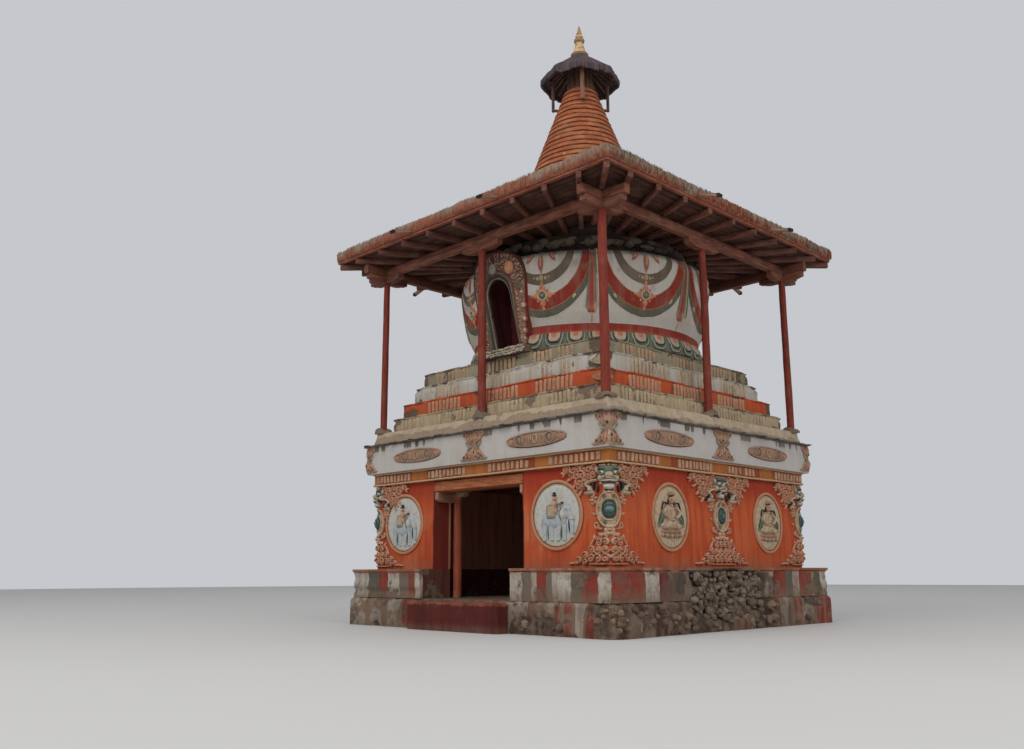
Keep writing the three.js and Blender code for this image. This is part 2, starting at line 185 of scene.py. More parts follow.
def outline_distance(across: Array, up: Array, outline: Pairs) -> Array:
    """Distance to a closed outline, less than 0 inside it.

    Args:
        across, up: coordinates of the points.
        outline: corners of the outline in order.

    Returns:
        The distance of each point.
    """
    distance = np.full(across.shape, 1e9)
    inside = np.zeros(across.shape, dtype=bool)
    for (ax, ay), (bx, by) in zip(outline, outline[1:] + outline[:1]):
        ex, ey = bx - ax, by - ay
        t = np.clip(((across - ax) * ex + (up - ay) * ey) / (ex * ex + ey * ey), 0.0, 1.0)
        distance = np.minimum(distance, np.hypot(across - ax - t * ex, up - ay - t * ey))
        crosses = (ay > up) != (by > up)
        with np.errstate(divide="ignore", invalid="ignore"):
            meets = across < ex * (up - ay) / (by - ay) + ax
        inside ^= crosses & meets
    return np.where(inside, -distance, distance)


# Surfaces


@dataclass
class Surface:
    """Copies of a closed tube of points: columns run round it as a ring, rows run along it.

    Args:
        points: copies x rows x columns x 3.
        loop: the last row joins the first; otherwise both end rows close on their middle points.
        finish: index of the piece's finish.
        fields: named numbers for the points, copies x rows x columns each.
    """

    points: Array
    loop: bool = False
    finish: int = 0
    fields: dict[str, Array] = field(default_factory=dict)

    def __post_init__(self) -> None:
        """A single surface gets its copies axis."""
        if self.points.ndim == 3:
            self.points = self.points[None]
        self.fields = {name: np.broadcast_to(v, self.points.shape[:-1]) for name, v in self.fields.items()}

    def tinted(self, finish: int) -> "Surface":
        """The same surface with another finish of the piece."""
        return replace(self, finish=finish)

    def moved(self, across: float = 0.0, out: float = 0.0, up: float = 0.0) -> "Surface":
        """The same surface shifted."""
        return replace(self, points=self.points + (across, out, up))

    def mirrored(self) -> "Surface":
        """The same surface with its first axis reversed."""
        return replace(self, points=self.points * (-1.0, 1.0, 1.0))

    def marked(self, **fields: Numbers) -> "Surface":
        """The same surface with further named numbers."""
        return replace(self, fields={**self.fields, **fields})


def faces_of(surface: Surface) -> tuple[Array, Array, Array]:
    """Corner points, four-sided faces and three-sided end faces of a surface.

    The grid's cells are the four-sided faces. Each end row gets a fan to its middle point. The faces are
    turned round if the first copy's signed volume, a sixth of the sum of a.(b x c), is less than 0.

    Args:
        surface: the surface to cut into faces.

    Returns:
        Points as n x 3, and the point numbers of the faces as n x 4 and n x 3.
    """
    copies, rows, cols, _ = surface.points.shape
    index = np.arange(rows * cols).reshape(rows, cols)
    last = index if surface.loop else index[:-1]
    following = np.roll(index, -1, axis=0) if surface.loop else index[1:]
    quads = vectors(last, np.roll(last, -1, axis=1), np.roll(following, -1, axis=1), following)
    quads = quads.reshape(-1, 4)
    corners = surface.points.reshape(copies, rows * cols, 3)
    fans = np.zeros((0, 3), dtype=int)
    if not surface.loop:
        ends = surface.points[:, [0, -1]].mean(axis=2)
        corners = np.concatenate([corners, ends], axis=1)
        foot, head = index[0], index[-1]
        low = vectors(np.roll(foot, -1), foot, rows * cols)
        high = vectors(head, np.roll(head, -1), rows * cols + 1)
        fans = np.concatenate([low, high])
    centred = corners[0] - corners[0].mean(axis=0)
    triangles = np.concatenate([quads[:, [0, 1, 2]], quads[:, [0, 2, 3]], fans])
    a, b, c = (centred[triangles[:, k]] for k in range(3))
    if np.einsum("ij,ij->", a, np.cross(b, c)) < 0.0:
        quads, fans = quads[:, ::-1], fans[:, ::-1]
    step = (np.arange(copies) * corners.shape[1])[:, None, None]
    return corners.reshape(-1, 3), (quads + step).reshape(-1, 4), (fans + step).reshape(-1, 3)


def field_values(surface: Surface, name: str) -> Array:
    """A named field at the surface's corner points, with the end rows' means for the middle points.

    Args:
        surface: the surface.
        name: of the field; a surface without it has 0 everywhere.

    Returns:
        One number for each corner point, in the order of faces_of.
    """
    copies, rows, cols, _ = surface.points.shape
    values = surface.fields.get(name, np.zeros((copies, rows, cols)))
    flat = values.reshape(copies, rows * cols)
    if not surface.loop:
        flat = np.concatenate([flat, values[:, [0, -1]].mean(axis=2)], axis=1)
    return flat.reshape(-1)


class Piece:
    """A mesh made of surfaces, which rides on the frame's body."""

    def __init__(self, name: str, surfaces: list[Surface], finishes: list["Finish"], slot: str,
                 replaces: tuple[str, ...] = ()) -> None:
        """Builds the mesh and puts it into the scene on the frame's body.

        Args:
            name: name of the piece.
            surfaces: what it consists of.
            finishes: its finishes, which the surfaces name by index.
            slot: material slot of the record; not used.
            replaces: frame nodes that it stands for.
        """
        corners, quads, fans, slots = [], [], [], []
        count = 0
        for surface in surfaces:
            points, four, three = faces_of(surface)
            corners.append(points)
            quads.append(four + count)
            fans.append(three + count)
            slots.append((len(four), len(three), surface.finish))
            count += len(points)
        names = sorted({key for surface in surfaces for key in surface.fields})
        four, three = np.concatenate(quads), np.concatenate(fans)
        mesh = bpy.data.meshes.new(name)
        self.fill(mesh, np.concatenate(corners), four, three)
        indices = [np.full(n, s) for n, _, s in slots] + [np.full(n, s) for _, n, s in slots]
        mesh.polygons.foreach_set("material_index", np.concatenate(indices).astype(np.int32))
        for key in names:
            values = np.concatenate([field_values(surface, key) for surface in surfaces])
            mesh.attributes.new(key, "FLOAT", "POINT").data.foreach_set("value", values.astype(np.float32))
        for finish in finishes:
            mesh.materials.append(finish.material())
        mesh.polygons.foreach_set("use_smooth", np.ones(len(four) + len(three), dtype=bool))
        mesh.set_sharp_from_angle(angle=SHARP_FROM)
        self.object = bpy.data.objects.new(name, mesh)
        bpy.context.scene.collection.objects.link(self.object)
        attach(self.object, BODY)
        if replaces:
            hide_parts(*replaces)
        log.info("%s: %d triangles", name, 2 * len(four) + len(three))

    @staticmethod
    def fill(mesh: bpy.types.Mesh, corners: Array, quads: Array, fans: Array) -> None:
        """Puts corner points and faces into a mesh as whole arrays.

        Args:
            mesh: an empty mesh.
            corners: points, n x 3.
            quads: point numbers of the four-sided faces.
            fans: point numbers of the three-sided faces.
        """
        mesh.vertices.add(len(corners))
        mesh.vertices.foreach_set("co", corners.astype(np.float32).ravel())
        loops = np.concatenate([quads.ravel(), fans.ravel()]).astype(np.int32)
        mesh.loops.add(len(loops))
        mesh.loops.foreach_set("vertex_index", loops)
        sizes = np.concatenate([np.full(len(quads), 4), np.full(len(fans), 3)])
        mesh.polygons.add(len(sizes))
        mesh.polygons.foreach_set("loop_start", (np.cumsum(sizes) - sizes).astype(np.int32))
        mesh.update(calc_edges=True)
        mesh.validate()


# Places on the building


def copy_places(*places: Numbers) -> list[Array]:
    """Places of copies as rows of one length, with two more axes for the copies' rows and columns."""
    rows = np.broadcast_arrays(*(np.atleast_1d(place).astype(float) for place in places))
    return [row[:, None, None] for row in rows]


@dataclass(frozen=True)
class SquarePath:
    """A square with rounded corners about the axis, walked anticlockwise from the middle of the front.

    The distance s along it is counted as if the corners were sharp, so the front's right corner is at
    s = half and the middle of the right side at s = 2 half.
    """

    half: float
    radius: float = 0.02

    def at(self, s: Numbers, up: Numbers, outset: Numbers) -> Array:
        """Points at distances s, heights up and outsets beyond the wall's face.

        Within a corner's radius the distance turns into an angle of up to 45 degrees from each side.
        Further inwards than that radius, the square shrinks towards the axis.

        Args:
            s, up, outset: numbers or arrays of shapes that go together.

        Returns:
            The points.
        """
        s, up, outset = np.broadcast_arrays(s, up, outset)
        side = np.floor((s + self.half) / (2.0 * self.half))
        t = s - side * 2.0 * self.half
        flat = self.half - self.radius
        bend = np.clip(np.abs(t) - flat, 0.0, self.radius) / self.radius * (math.pi / 4.0)
        reach = np.maximum(self.radius + outset, 0.0)
        core = flat + np.minimum(self.radius + outset, 0.0)
        x = np.where(bend > 0.0, np.sign(t) * (core + reach * np.sin(bend)), t * core / flat)
        y = -core - reach * np.cos(bend)
        angle = side * (math.pi / 2.0)
        cos, sin = np.cos(angle), np.sin(angle)
        return vectors(x * cos - y * sin, x * sin + y * cos, up)

    def steps(self, cell: float) -> Array:
        """Distances of mesh columns all the way round, with three of them in each rounded corner.

        Args:
            cell: about the distance between columns.

        Returns:
            The distances s.
        """
        flat = self.half - self.radius
        straight = np.linspace(-flat, flat, max(3, round(2.0 * flat / cell) + 1))
        corner = np.linspace(flat, 2.0 * self.half - flat, 5)[1:-1]
        side = np.concatenate([straight, corner])
        return np.concatenate([side + k * 2.0 * self.half for k in range(4)])

    def bent(self, shape: Surface, s: Numbers, up: Numbers, outset: float = 0.0) -> Surface:
        """Copies of a flat relief, one at each distance s and height up, wrapped onto the wall.

        Args:
            shape: points as (along the wall, out of it, up).
            s, up: places of the copies.
            outset: how far its foot stands off the wall's face.

        Returns:
            The copies as one surface.
        """
        s, up = copy_places(s, up)
        along, out, rise = axes(shape.points)
        return replace(shape, points=self.at(s + along, up + rise, outset + out))


@dataclass(frozen=True)
class RoundPath:
    """A wall of revolution: its radius at each height comes from a profile of (radius, height)."""

    profile: Pairs

    def radius(self, up: Array) -> Array:
        """Radius at heights, straight between the profile's points."""
        radii, heights = zip(*self.profile)
        return np.interp(up, heights, radii)

    def bent(self, shape: Surface, azimuth: Numbers, up: Numbers, outset: float = 0.0) -> Surface:
        """Copies of a flat relief, wrapped onto the wall: along it an arc's length is radius x angle.

        Args:
            shape: points as (along the wall, out of it, up).
            azimuth, up: places of the copies; azimuth 0 is the front and 90 the right side.
            outset: how far its foot stands off the wall's face.

        Returns:
            The copies as one surface.
        """
        azimuth, up = copy_places(azimuth, up)
        along, out, rise = axes(shape.points)
        height = up + rise
        radius = self.radius(height)
        angle = np.radians(azimuth) + along / radius
        return replace(shape, points=polar(radius + outset + out, angle, height))


def resampled(profile: Pairs, cell: float) -> Array:
    """Points along a bent line, its own corners kept and each stretch cut into even steps.

    Args:
        profile: corners of the line.
        cell: about the length of a step.

    Returns:
        The points, n x 2.
    """
    parts = []
    for (a0, b0), (a1, b1) in zip(profile, profile[1:]):
        count = max(1, round(math.hypot(a1 - a0, b1 - b0) / cell))
        t = np.arange(count) / count
        parts.append(vectors(a0 + (a1 - a0) * t, b0 + (b1 - b0) * t))
    parts.append(np.array([profile[-1]]))
    return np.concatenate(parts)


def course(path: SquarePath, profile: Pairs, cell: float, relief: Optional[Relief] = None,
           depth: float = 0.25) -> Surface:
    """A solid square course: a profile of (outset, height) carried round a square path.

    The profile's ends are led inwards by the depth and then closed in the middle.

    Args:
        path: the square that it follows.
        profile: outsets beyond the path and heights, from the foot up.
        cell: size of the mesh's cells.
        relief: extra outset for points.
        depth: how far the foot and the top run inwards before they close.

    Returns:
        The course.
    """
    foot = profile[0][1]
    line = resampled([(-depth, foot), *profile, (-depth, profile[-1][1])], cell)
    s = path.steps(cell)
    outset, up = line[:, 0:1], line[:, 1:2]
    points = path.at(s, up, outset)
    if relief is not None:
        points = path.at(s, up, outset + ease(outset, -0.5 * depth, -0.02) * relief(points))
        points[..., 2] += 0.012 * rough(points * (1.0, 1.0, 0.2), 0.5, 2, 77) * (up > foot + 0.03)
    return Surface(points)


def banked(path: SquarePath, thickness: float, start: float, end: float, outer: Pairs, cell: float,
           relief: Relief) -> Surface:
    """A wall round the building with a gap for the doorway, closed at both jambs.

    Its cross-section runs up the outer face by the profile, over the top, and down the inner face.

    Args:
        path: outer face.
        thickness: of the wall.
        start, end: distances s of the two jambs.
        outer: outsets and heights of the outer face, from the foot up.
        cell: size of the mesh's cells.
        relief: extra outset of the outer face for points.

    Returns:
        The wall.
    """
    steps = path.steps(cell)
    between = steps[(steps > start + cell / 3) & (steps < end - cell / 3)]
    s = np.unique(np.concatenate([[start, end], between]))
    face = resampled(outer, cell)
    inner = SquarePath(path.half - thickness, 0.02)
    low, high = outer[0][1], outer[-1][1]
    back = np.linspace(high, low, 6)
    share = np.concatenate([np.zeros(len(face)), [0.12, 0.5, 0.88], np.ones(6), [0.88, 0.5, 0.12]])
    up = np.concatenate([face[:, 1], np.full(3, high), back, np.full(3, low)])
    outset = np.concatenate([face[:, 0], np.full(3, face[-1, 0]), np.zeros(6), np.full(3, face[0, 0])])
    side = np.floor((s + path.half) / (2.0 * path.half))
    t = s - side * 2.0 * path.half
    knee = 2.0
    beyond = (np.abs(t) - knee) * (inner.half - knee) / (path.half - knee)
    squeezed = np.where(np.abs(t) > knee, np.sign(t) * (knee + beyond), t)
    outside = path.at(s[:, None], up, outset)
    outside = path.at(s[:, None], up, outset + relief(outside) * (share == 0.0))
    inside = inner.at((squeezed + side * 2.0 * inner.half)[:, None], up, 0.0)
    weight = share[:, None]
    return Surface(outside * (1.0 - weight) + inside * weight)


def tablet(width: float, height: float, depth: float) -> Surface:
    """A small raised bar: an octagonal section carried up, drawn in at both ends.

    Args:
        width, height, depth: of the bar.

    Returns:
        The bar about its own middle, with its foot on the wall.
    """
    section = np.array([(-0.5, -0.4), (0.5, -0.4), (0.5, 0.6), (0.34, 1.0), (-0.34, 1.0), (-0.5, 0.6)])
    rows = np.array([(0.0, 0.72), (0.07, 1.0), (0.5, 1.0), (0.93, 1.0), (1.0, 0.72)])
    x = section[:, 0] * rows[:, 1:2] * width
    y = section[:, 1] * rows[:, 1:2] * depth
    return Surface(vectors(x, y, (rows[:, 0:1] - 0.5) * height))


def boss(width: float, height: float, depth: float, around: int = 16, steps: int = 6,
         power: float = 1.0) -> Surface:
    """A low dome on the wall: radius cos(v) over the oval, height sin(v) to a power, with a sunk foot.

    Args:
        width, height: of the oval.
        depth: height above the wall.
        around, steps: points round it and up it.
        power: less than 1 makes it flatter on top.

    Returns:
        The dome about its own middle.
    """
    v = np.concatenate([[0.0], np.linspace(0.0, 0.5 * math.pi * 0.97, steps)])
    out = np.concatenate([[-0.3], np.sin(v[1:]) ** power])
    angle = np.arange(around) * TURN / around
    r = np.cos(v)[:, None]
    x = 0.5 * width * r * np.cos(angle)
    z = 0.5 * height * r * np.sin(angle)
    return Surface(vectors(x, depth * out[:, None], z))


def swept(line: Array, width: Numbers, depth: Numbers, around: int = 7) -> Surface:
    """A half-round strip that follows a flat line on the wall: an ellipse across the line at each point.

    Args:
        line: points as (along, up).
        width, depth: full width and height above the wall, or one for each point.
        around: points round the ellipse.

    Returns:
        The strip.
    """
    ahead = np.gradient(line, axis=0)
    ahead /= np.linalg.norm(ahead, axis=1, keepdims=True) + 1e-9
    across = vectors(-ahead[:, 1], ahead[:, 0])
    angle = (np.arange(around) + 0.5) * TURN / around
    width, depth = (np.broadcast_to(value, len(line))[:, None] for value in (width, depth))
    side = 0.5 * width * np.cos(angle)
    out = depth * (0.35 + 0.65 * np.sin(angle))
    return Surface(vectors(line[:, 0:1] + across[:, 0:1] * side, out, line[:, 1:2] + across[:, 1:2] * side))


def curl(x: float, z: float, size: float, start: float, turns: float, depth: float = 0.05,
         thick: float = 0.34, rows: int = 20) -> Surface:
    """A scroll: a strip along a spiral whose radius shrinks as (1 - t)^0.8 from its size.

    Args:
        x, z: middle of the spiral.
        size: outer radius.
        start: angle of its outer end in degrees.
        turns: how often it goes round; less than 0 turns clockwise.
        depth: height above the wall.
        thick: width of the strip over the size.
        rows: points along it.

    Returns:
        The scroll.
    """
    t = np.linspace(0.0, 1.0, rows)
    radius = size * (0.1 + 0.9 * (1.0 - t) ** 0.8)
    angle = math.radians(start) + turns * TURN * t
    line = vectors(x + radius * np.cos(angle), z + radius * np.sin(angle))
    width = size * thick * (0.45 + 0.75 * np.sin(np.pi * np.clip(t * 0.85 + 0.12, 0.0, 1.0)))
    return swept(line, width, depth * (0.55 + 0.45 * (1.0 - t)))


def turned(profile: Pairs, cell: float, around: int, relief: Optional[RoundRelief] = None) -> Surface:
    """A solid of revolution about the axis, closed at both ends.

    Args:
        profile: radii and heights.
        cell: size of the mesh's cells along the profile.
        around: points round it.
        relief: extra radius for points and their angles.

    Returns:
        The solid.
    """
    line = resampled(profile, cell)
    angle = np.arange(around) * TURN / around
    radius, up = line[:, 0:1], line[:, 1:2]
    if relief is not None:
        radius = radius + relief(polar(radius, angle, up), angle)
    return Surface(polar(radius, angle, up))


def timber(start: Array, end: Array, width: float, height: float, seed: int, wave: float = 0.006,
           rows: int = 7, finish: int = 0) -> Surface:
    """A hewn beam between two points: an eight-sided section carried along, with bowed and uneven faces.

    Args:
        start, end: middles of the beam's ends.
        width, height: of its section; the height is measured upwards.
        seed: makes each beam its own.
        wave: how far its faces wander.
        rows: sections along it.
        finish: index of the piece's finish.

    Returns:
        The beam, with the fields "run", "girth" and "tone".
    """
    start, end = np.asarray(start, dtype=float), np.asarray(end, dtype=float)
    length = float(np.linalg.norm(end - start))
    ahead = (end - start) / length
    side = np.cross(ahead, (0.0, 0.0, 1.0))
    if np.linalg.norm(side) < 1e-3:
        side = np.array([1.0, 0.0, 0.0])
    side /= np.linalg.norm(side)
    above = np.cross(side, ahead)
    chip = 0.78
    section = 0.5 * np.array([(-1, -chip), (-chip, -1), (chip, -1), (1, -chip), (1, chip), (chip, 1),
                              (-chip, 1), (-1, chip)])
    run = np.linspace(0.0, 1.0, rows)[:, None] * length
    middle = start + run[..., None] * ahead
    points = middle + width * section[:, 0:1] * side + height * section[:, 1:2] * above
    lean = wave * rough(points + seed * 3.7, 0.45, 2, seed)[..., None]
    inward = middle - points
    points = points + inward / (np.linalg.norm(inward, axis=-1, keepdims=True) + 1e-9) * np.abs(lean)
    girth = np.arange(8) * 0.5 * (width + height) / 4.0
    tone = float(hashed(np.array([seed, 7, 3]), 5))
    return Surface(points, finish=finish, fields={"run": run + seed, "girth": girth, "tone": tone})


def rod(line: Array, radius: Numbers, seed: int, around: int = 12) -> Surface:
    """A peeled pole along points that run mostly upwards, a little uneven in its radius.

    Args:
        line: middle points, n x 3.
        radius: one for all points, or one for each.
        seed: makes each pole its own.
        around: points round it.

    Returns:
        The pole, with the fields "run", "girth" and "tone".
    """
    radius = np.broadcast_to(radius, len(line))[:, None]
    angle = np.arange(around) * TURN / around
    circle = vectors(np.cos(angle), np.sin(angle), 0.0)
    points = line[:, None, :] + radius[..., None] * circle
    points[..., :2] += (0.05 * radius * value_noise(points + seed, 0.18, seed))[..., None] * circle[:, :2]
    tone = float(hashed(np.array([seed, 2, 9]), 6))
    return Surface(points, fields={"run": line[:, 2:3] + seed, "girth": radius * angle, "tone": tone})


def strip(t: Array, *spots: tuple[float, float]) -> Array:
    """Points at the shares t of a bent line through evenly spaced spots."""
    return vectors(*(np.interp(t, np.linspace(0.0, 1.0, len(spots)), axis) for axis in zip(*spots)))


def upright(flat: Array, y: Numbers) -> Array:
    """World points of (x, z) on an upright plane across the building."""
    return vectors(flat[..., 0], y, flat[..., 1])


# Shader maths


Number = Union[float, "Term"]


class Term:
    """One socket of a node tree. Python's operators on it add Math nodes."""

    def __init__(self, sheet: "Sheet", socket: bpy.types.NodeSocket) -> None:
        """Wraps an output socket."""
        self.sheet = sheet
        self.socket = socket

    def _math(self, operation: str, first: Number, second: Number = 0.0) -> "Term":
        """One Math node on two numbers."""
        return self.sheet.node("ShaderNodeMath", {"operation": operation}, {0: first, 1: second})

    def __add__(self, other: Number) -> "Term":
        """Sum."""
        return self._math("ADD", self, other)

    def __radd__(self, other: Number) -> "Term":
        """Sum with a number on the left."""
        return self._math("ADD", other, self)

    def __sub__(self, other: Number) -> "Term":
        """Difference."""
        return self._math("SUBTRACT", self, other)

    def __rsub__(self, other: Number) -> "Term":
        """Difference with a number on the left."""
        return self._math("SUBTRACT", other, self)

    def __mul__(self, other: Number) -> "Term":
        """Product."""
        return self._math("MULTIPLY", self, other)

    def __rmul__(self, other: Number) -> "Term":
        """Product with a number on the left."""
        return self._math("MULTIPLY", other, self)

    def __truediv__(self, other: Number) -> "Term":
        """Quotient."""
        return self._math("DIVIDE", self, other)

    def __rtruediv__(self, other: Number) -> "Term":
        """Quotient with a number on the left."""
        return self._math("DIVIDE", other, self)

    def __gt__(self, other: Number) -> "Term":
        """1 where this is the greater, else 0."""
        return self._math("GREATER_THAN", self, other)

    def __lt__(self, other: Number) -> "Term":
        """1 where this is the less, else 0."""
        return self._math("LESS_THAN", self, other)

    def __abs__(self) -> "Term":
        """Size without its sign."""
        return self._math("ABSOLUTE", self)

    def at_least(self, other: Number) -> "Term":
        """The greater of two numbers."""
        return self._math("MAXIMUM", self, other)

    def at_most(self, other: Number) -> "Term":
        """The lesser of two numbers."""
        return self._math("MINIMUM", self, other)

    def eased(self, low: Number, high: Number) -> "Term":
        """Smooth step from 0 at low to 1 at high; low may be the greater."""
        return self.sheet.node("ShaderNodeMapRange", {"interpolation_type": "SMOOTHSTEP"},
                               {0: self, 1: low, 2: high})


Paint = Union[Colour, Term]


class Sheet:
    """The node tree of one material."""

    def __init__(self, material: bpy.types.Material) -> None:
        """Empties the tree and reads the object coordinates.

        Args:
            material: the material to fill.
        """
        material.use_nodes = True
        self.tree = material.node_tree
        self.tree.nodes.clear()
        self.spot = self.node("ShaderNodeTexCoord", {}, {}, "Object")
        parts = self._raw("ShaderNodeSeparateXYZ", {}, {0: self.spot})
        self.x, self.y, self.z = (Term(self, parts.outputs[k]) for k in range(3))

    def _raw(self, kind: str, settings: dict, inputs: dict) -> bpy.types.Node:
        """Adds a node, applies its settings and then its inputs.

        Args:
            kind: the node's type.
            settings: its settings, set first.
            inputs: numbers, colours or terms for its sockets, by name or index.

        Returns:
            The node.
        """
        made = self.tree.nodes.new(kind)
        for key, value in settings.items():
            if key == "stops":
                self._stops(made.color_ramp, value)
            else:
                setattr(made, key, value)
        for key, value in inputs.items():
            socket = made.inputs[key]
            if isinstance(value, Term):
                self.tree.links.new(value.socket, socket)
            elif isinstance(value, tuple):
                socket.default_value = (*value, 1.0) if socket.type == "RGBA" else value
            else:
                socket.default_value = value
        return made

    @staticmethod
    def _stops(ramp: bpy.types.ColorRamp, stops: Stops) -> None:
        """Sets a ramp's stops, at most 32.

        Args:
            ramp: the ramp to fill.
            stops: positions and colours, from the lowest position up.
        """
        while len(ramp.elements) > 1:
            ramp.elements.remove(ramp.elements[-1])
        ramp.elements[0].position = stops[0][0]
        ramp.elements[0].color = (*stops[0][1], 1.0)
        for position, colour in stops[1:]:
            ramp.elements.new(position).color = (*colour, 1.0)

    def node(self, kind: str, settings: dict, inputs: dict, output: Union[int, str] = 0) -> Term:
        """Adds a node and returns one of its outputs.

        Args:
            kind: the node's type.
            settings: its settings, set first.
            inputs: numbers, colours or terms for its sockets, by name or index.
            output: name or index of the output.

        Returns:
            The output.
        """
        return Term(self, self._raw(kind, settings, inputs).outputs[output])

    def blend(self, amount: Number, first: Paint, second: Paint, way: str = "MIX") -> Term:
        """First colour at amount 0, second at 1."""
        return self.node("ShaderNodeMix", {"data_type": "RGBA", "blend_type": way, "clamp_factor": True},
                         {0: amount, 6: first, 7: second}, 2)

    def stretched(self, scale: Colour, spot: Optional[Term] = None) -> Term:
        """Object coordinates, or another place, times a scale on each axis."""
        return self.node("ShaderNodeVectorMath", {"operation": "MULTIPLY"}, {0: spot or self.spot, 1: scale})

    def cloud(self, size: float, detail: float = 4.0, spot: Optional[Term] = None,
              rough_by: float = 0.55) -> Term:
        """Noise with features of about that size in metres.

        Args:
            size: of the largest features.
            detail: octaves of finer ones.
            spot: place that it is read at, else the object coordinates.
            rough_by: strength of each octave over the one before.

        Returns:
            A value of about 0.3 to 0.7.
        """
        inputs = {"Vector": spot or self.spot, "Scale": 1.0 / size, "Detail": detail, "Roughness": rough_by}
        return self.node("ShaderNodeTexNoise", {}, inputs, "Fac")

    def runs(self, size: float, detail: float, flat: float, rough_by: float = 0.55) -> Term:
        """Noise whose heights are multiplied by a factor: less than 1 draws it out into upright runs."""
        return self.cloud(size, detail, self.stretched((1.0, 1.0, flat)), rough_by)

    def pebbles(self, size: float, output: str = "Distance") -> Term:
        """Voronoi cells of about that size: the distance to their middles, or another output."""
        inputs = {"Vector": self.spot, "Scale": 1.0 / size}
        return self.node("ShaderNodeTexVoronoi", {"feature": "F1"}, inputs, output)

    def number(self, name: str) -> Term:
        """A named field of the piece."""
        return self.node("ShaderNodeAttribute", {"attribute_name": name}, {}, "Fac")

    def ramp(self, value: Number, stops: Stops, steps: bool = False) -> Term:
        """A colour from a value between 0 and 1, blended between stops or held from each to the next."""
        made = self._raw("ShaderNodeValToRGB", {"stops": stops}, {0: value})
        made.color_ramp.interpolation = "CONSTANT" if steps else "LINEAR"
        return Term(self, made.outputs[0])

    def along(self) -> Term:
        """Distance along a side from its middle: x on the front and the back, y on the others."""
        return self.x + self.sideways() * (self.y - self.x)

    def outwards(self) -> Term:
        """Distance of the side that a point is nearest to: the greater of |x| and |y|."""
        return abs(self.x).at_least(abs(self.y))

    def sideways(self) -> Term:
        """1 on the right and left sides, 0 on the front and the back."""
        return abs(self.x) > abs(self.y)

    def surface(self, colour: Paint, roughness: Number, height: Number = 0.0, metallic: float = 0.0) -> None:
        """Ends the tree in a shader.

        Args:
            colour: base colour.
            roughness: of the surface.
            height: metres of bump.
            metallic: 1 for metal.
        """
        inputs = {"Base Color": colour, "Roughness": roughness, "Metallic": metallic,
                  "Specular IOR Level": 0.25}
        if isinstance(height, Term):
            bump = {"Strength": 1.0, "Distance": 1.0, "Height": height}
            inputs["Normal"] = self.node("ShaderNodeBump", {}, bump)
        shader = self.node("ShaderNodeBsdfPrincipled", {}, inputs)
        self._raw("ShaderNodeOutputMaterial", {}, {"Surface": shader})


# Finishes


@dataclass(frozen=True)
class Finish:
    """A named finish. Its material is made once."""

    name: str

    def material(self) -> bpy.types.Material:
        """The Blender material, made on first use.

        Returns:
            The material.
        """
        title = f"{self.name}_finish"
        known = bpy.data.materials.get(title)
        if known is None:
            known = bpy.data.materials.new(title)
            self.draw(Sheet(known))
        return known

    def draw(self, sheet: Sheet) -> None:
        """Fills the material's node tree."""
        raise NotImplementedError


@dataclass(frozen=True)
class Plaster(Finish):
    """Lime wash on mud plaster: a painted coat with streaks, stains, and patches fallen to bare mud."""

    coat: Colour
    worn: Colour
    stain: Colour = srgb(120, 104, 88)
    mud: Colour = srgb(112, 93, 76)
    streak: float = 0.6
    stained: float = 0.4
    bare: float = 0.6
    patch_size: float = 0.5
    grain: float = 0.004

    def paint(self, sheet: Sheet) -> Paint:
        """The coat's colour before it wears. Patterned finishes draw theirs here."""
        return self.coat

    def fallen(self, sheet: Sheet) -> Number:
        """More than 0 where the coat falls off more easily."""
        return 0.0

    def draw(self, sheet: Sheet) -> None:
        """Layers the coat, its streaks, stains and bare patches, and the bump of all of them.

        Args:
            sheet: node tree of the material.
        """
        drips = sheet.runs(0.16, 5.0, 0.1, 0.6)
        cloud = sheet.cloud(0.9, 6.0, rough_by=0.6)
        grain = sheet.cloud(0.035, 5.0, rough_by=0.7)
        fine = sheet.cloud(0.01, 3.0)
        colour = sheet.blend(drips.eased(0.42, 0.66) * self.streak, self.paint(sheet), self.worn)
        colour = sheet.blend(cloud.eased(0.5, 0.78) * self.stained, colour, self.stain)
        breaks = sheet.cloud(self.patch_size, 9.0, rough_by=0.68) + self.fallen(sheet)
        patch = breaks.eased(self.bare, self.bare + 0.015)
        rim = breaks.eased(self.bare - 0.03, self.bare) - patch
        mud = sheet.blend(grain.eased(0.35, 0.7), scaled(self.mud, 0.72), self.mud)
        colour = sheet.blend(patch, colour, mud)
        colour = sheet.blend(rim * 0.35, colour, scaled(self.mud, 0.5))
        shade = sheet.blend(grain * 0.35 + fine * 0.25, (1.08, 1.08, 1.08), (0.66, 0.65, 0.64))
        colour = sheet.blend(1.0, colour, shade, "MULTIPLY")
        height = grain * self.grain + fine * (0.3 * self.grain) - patch * 0.006
        sheet.surface(colour, 0.86 + grain * 0.12, height)


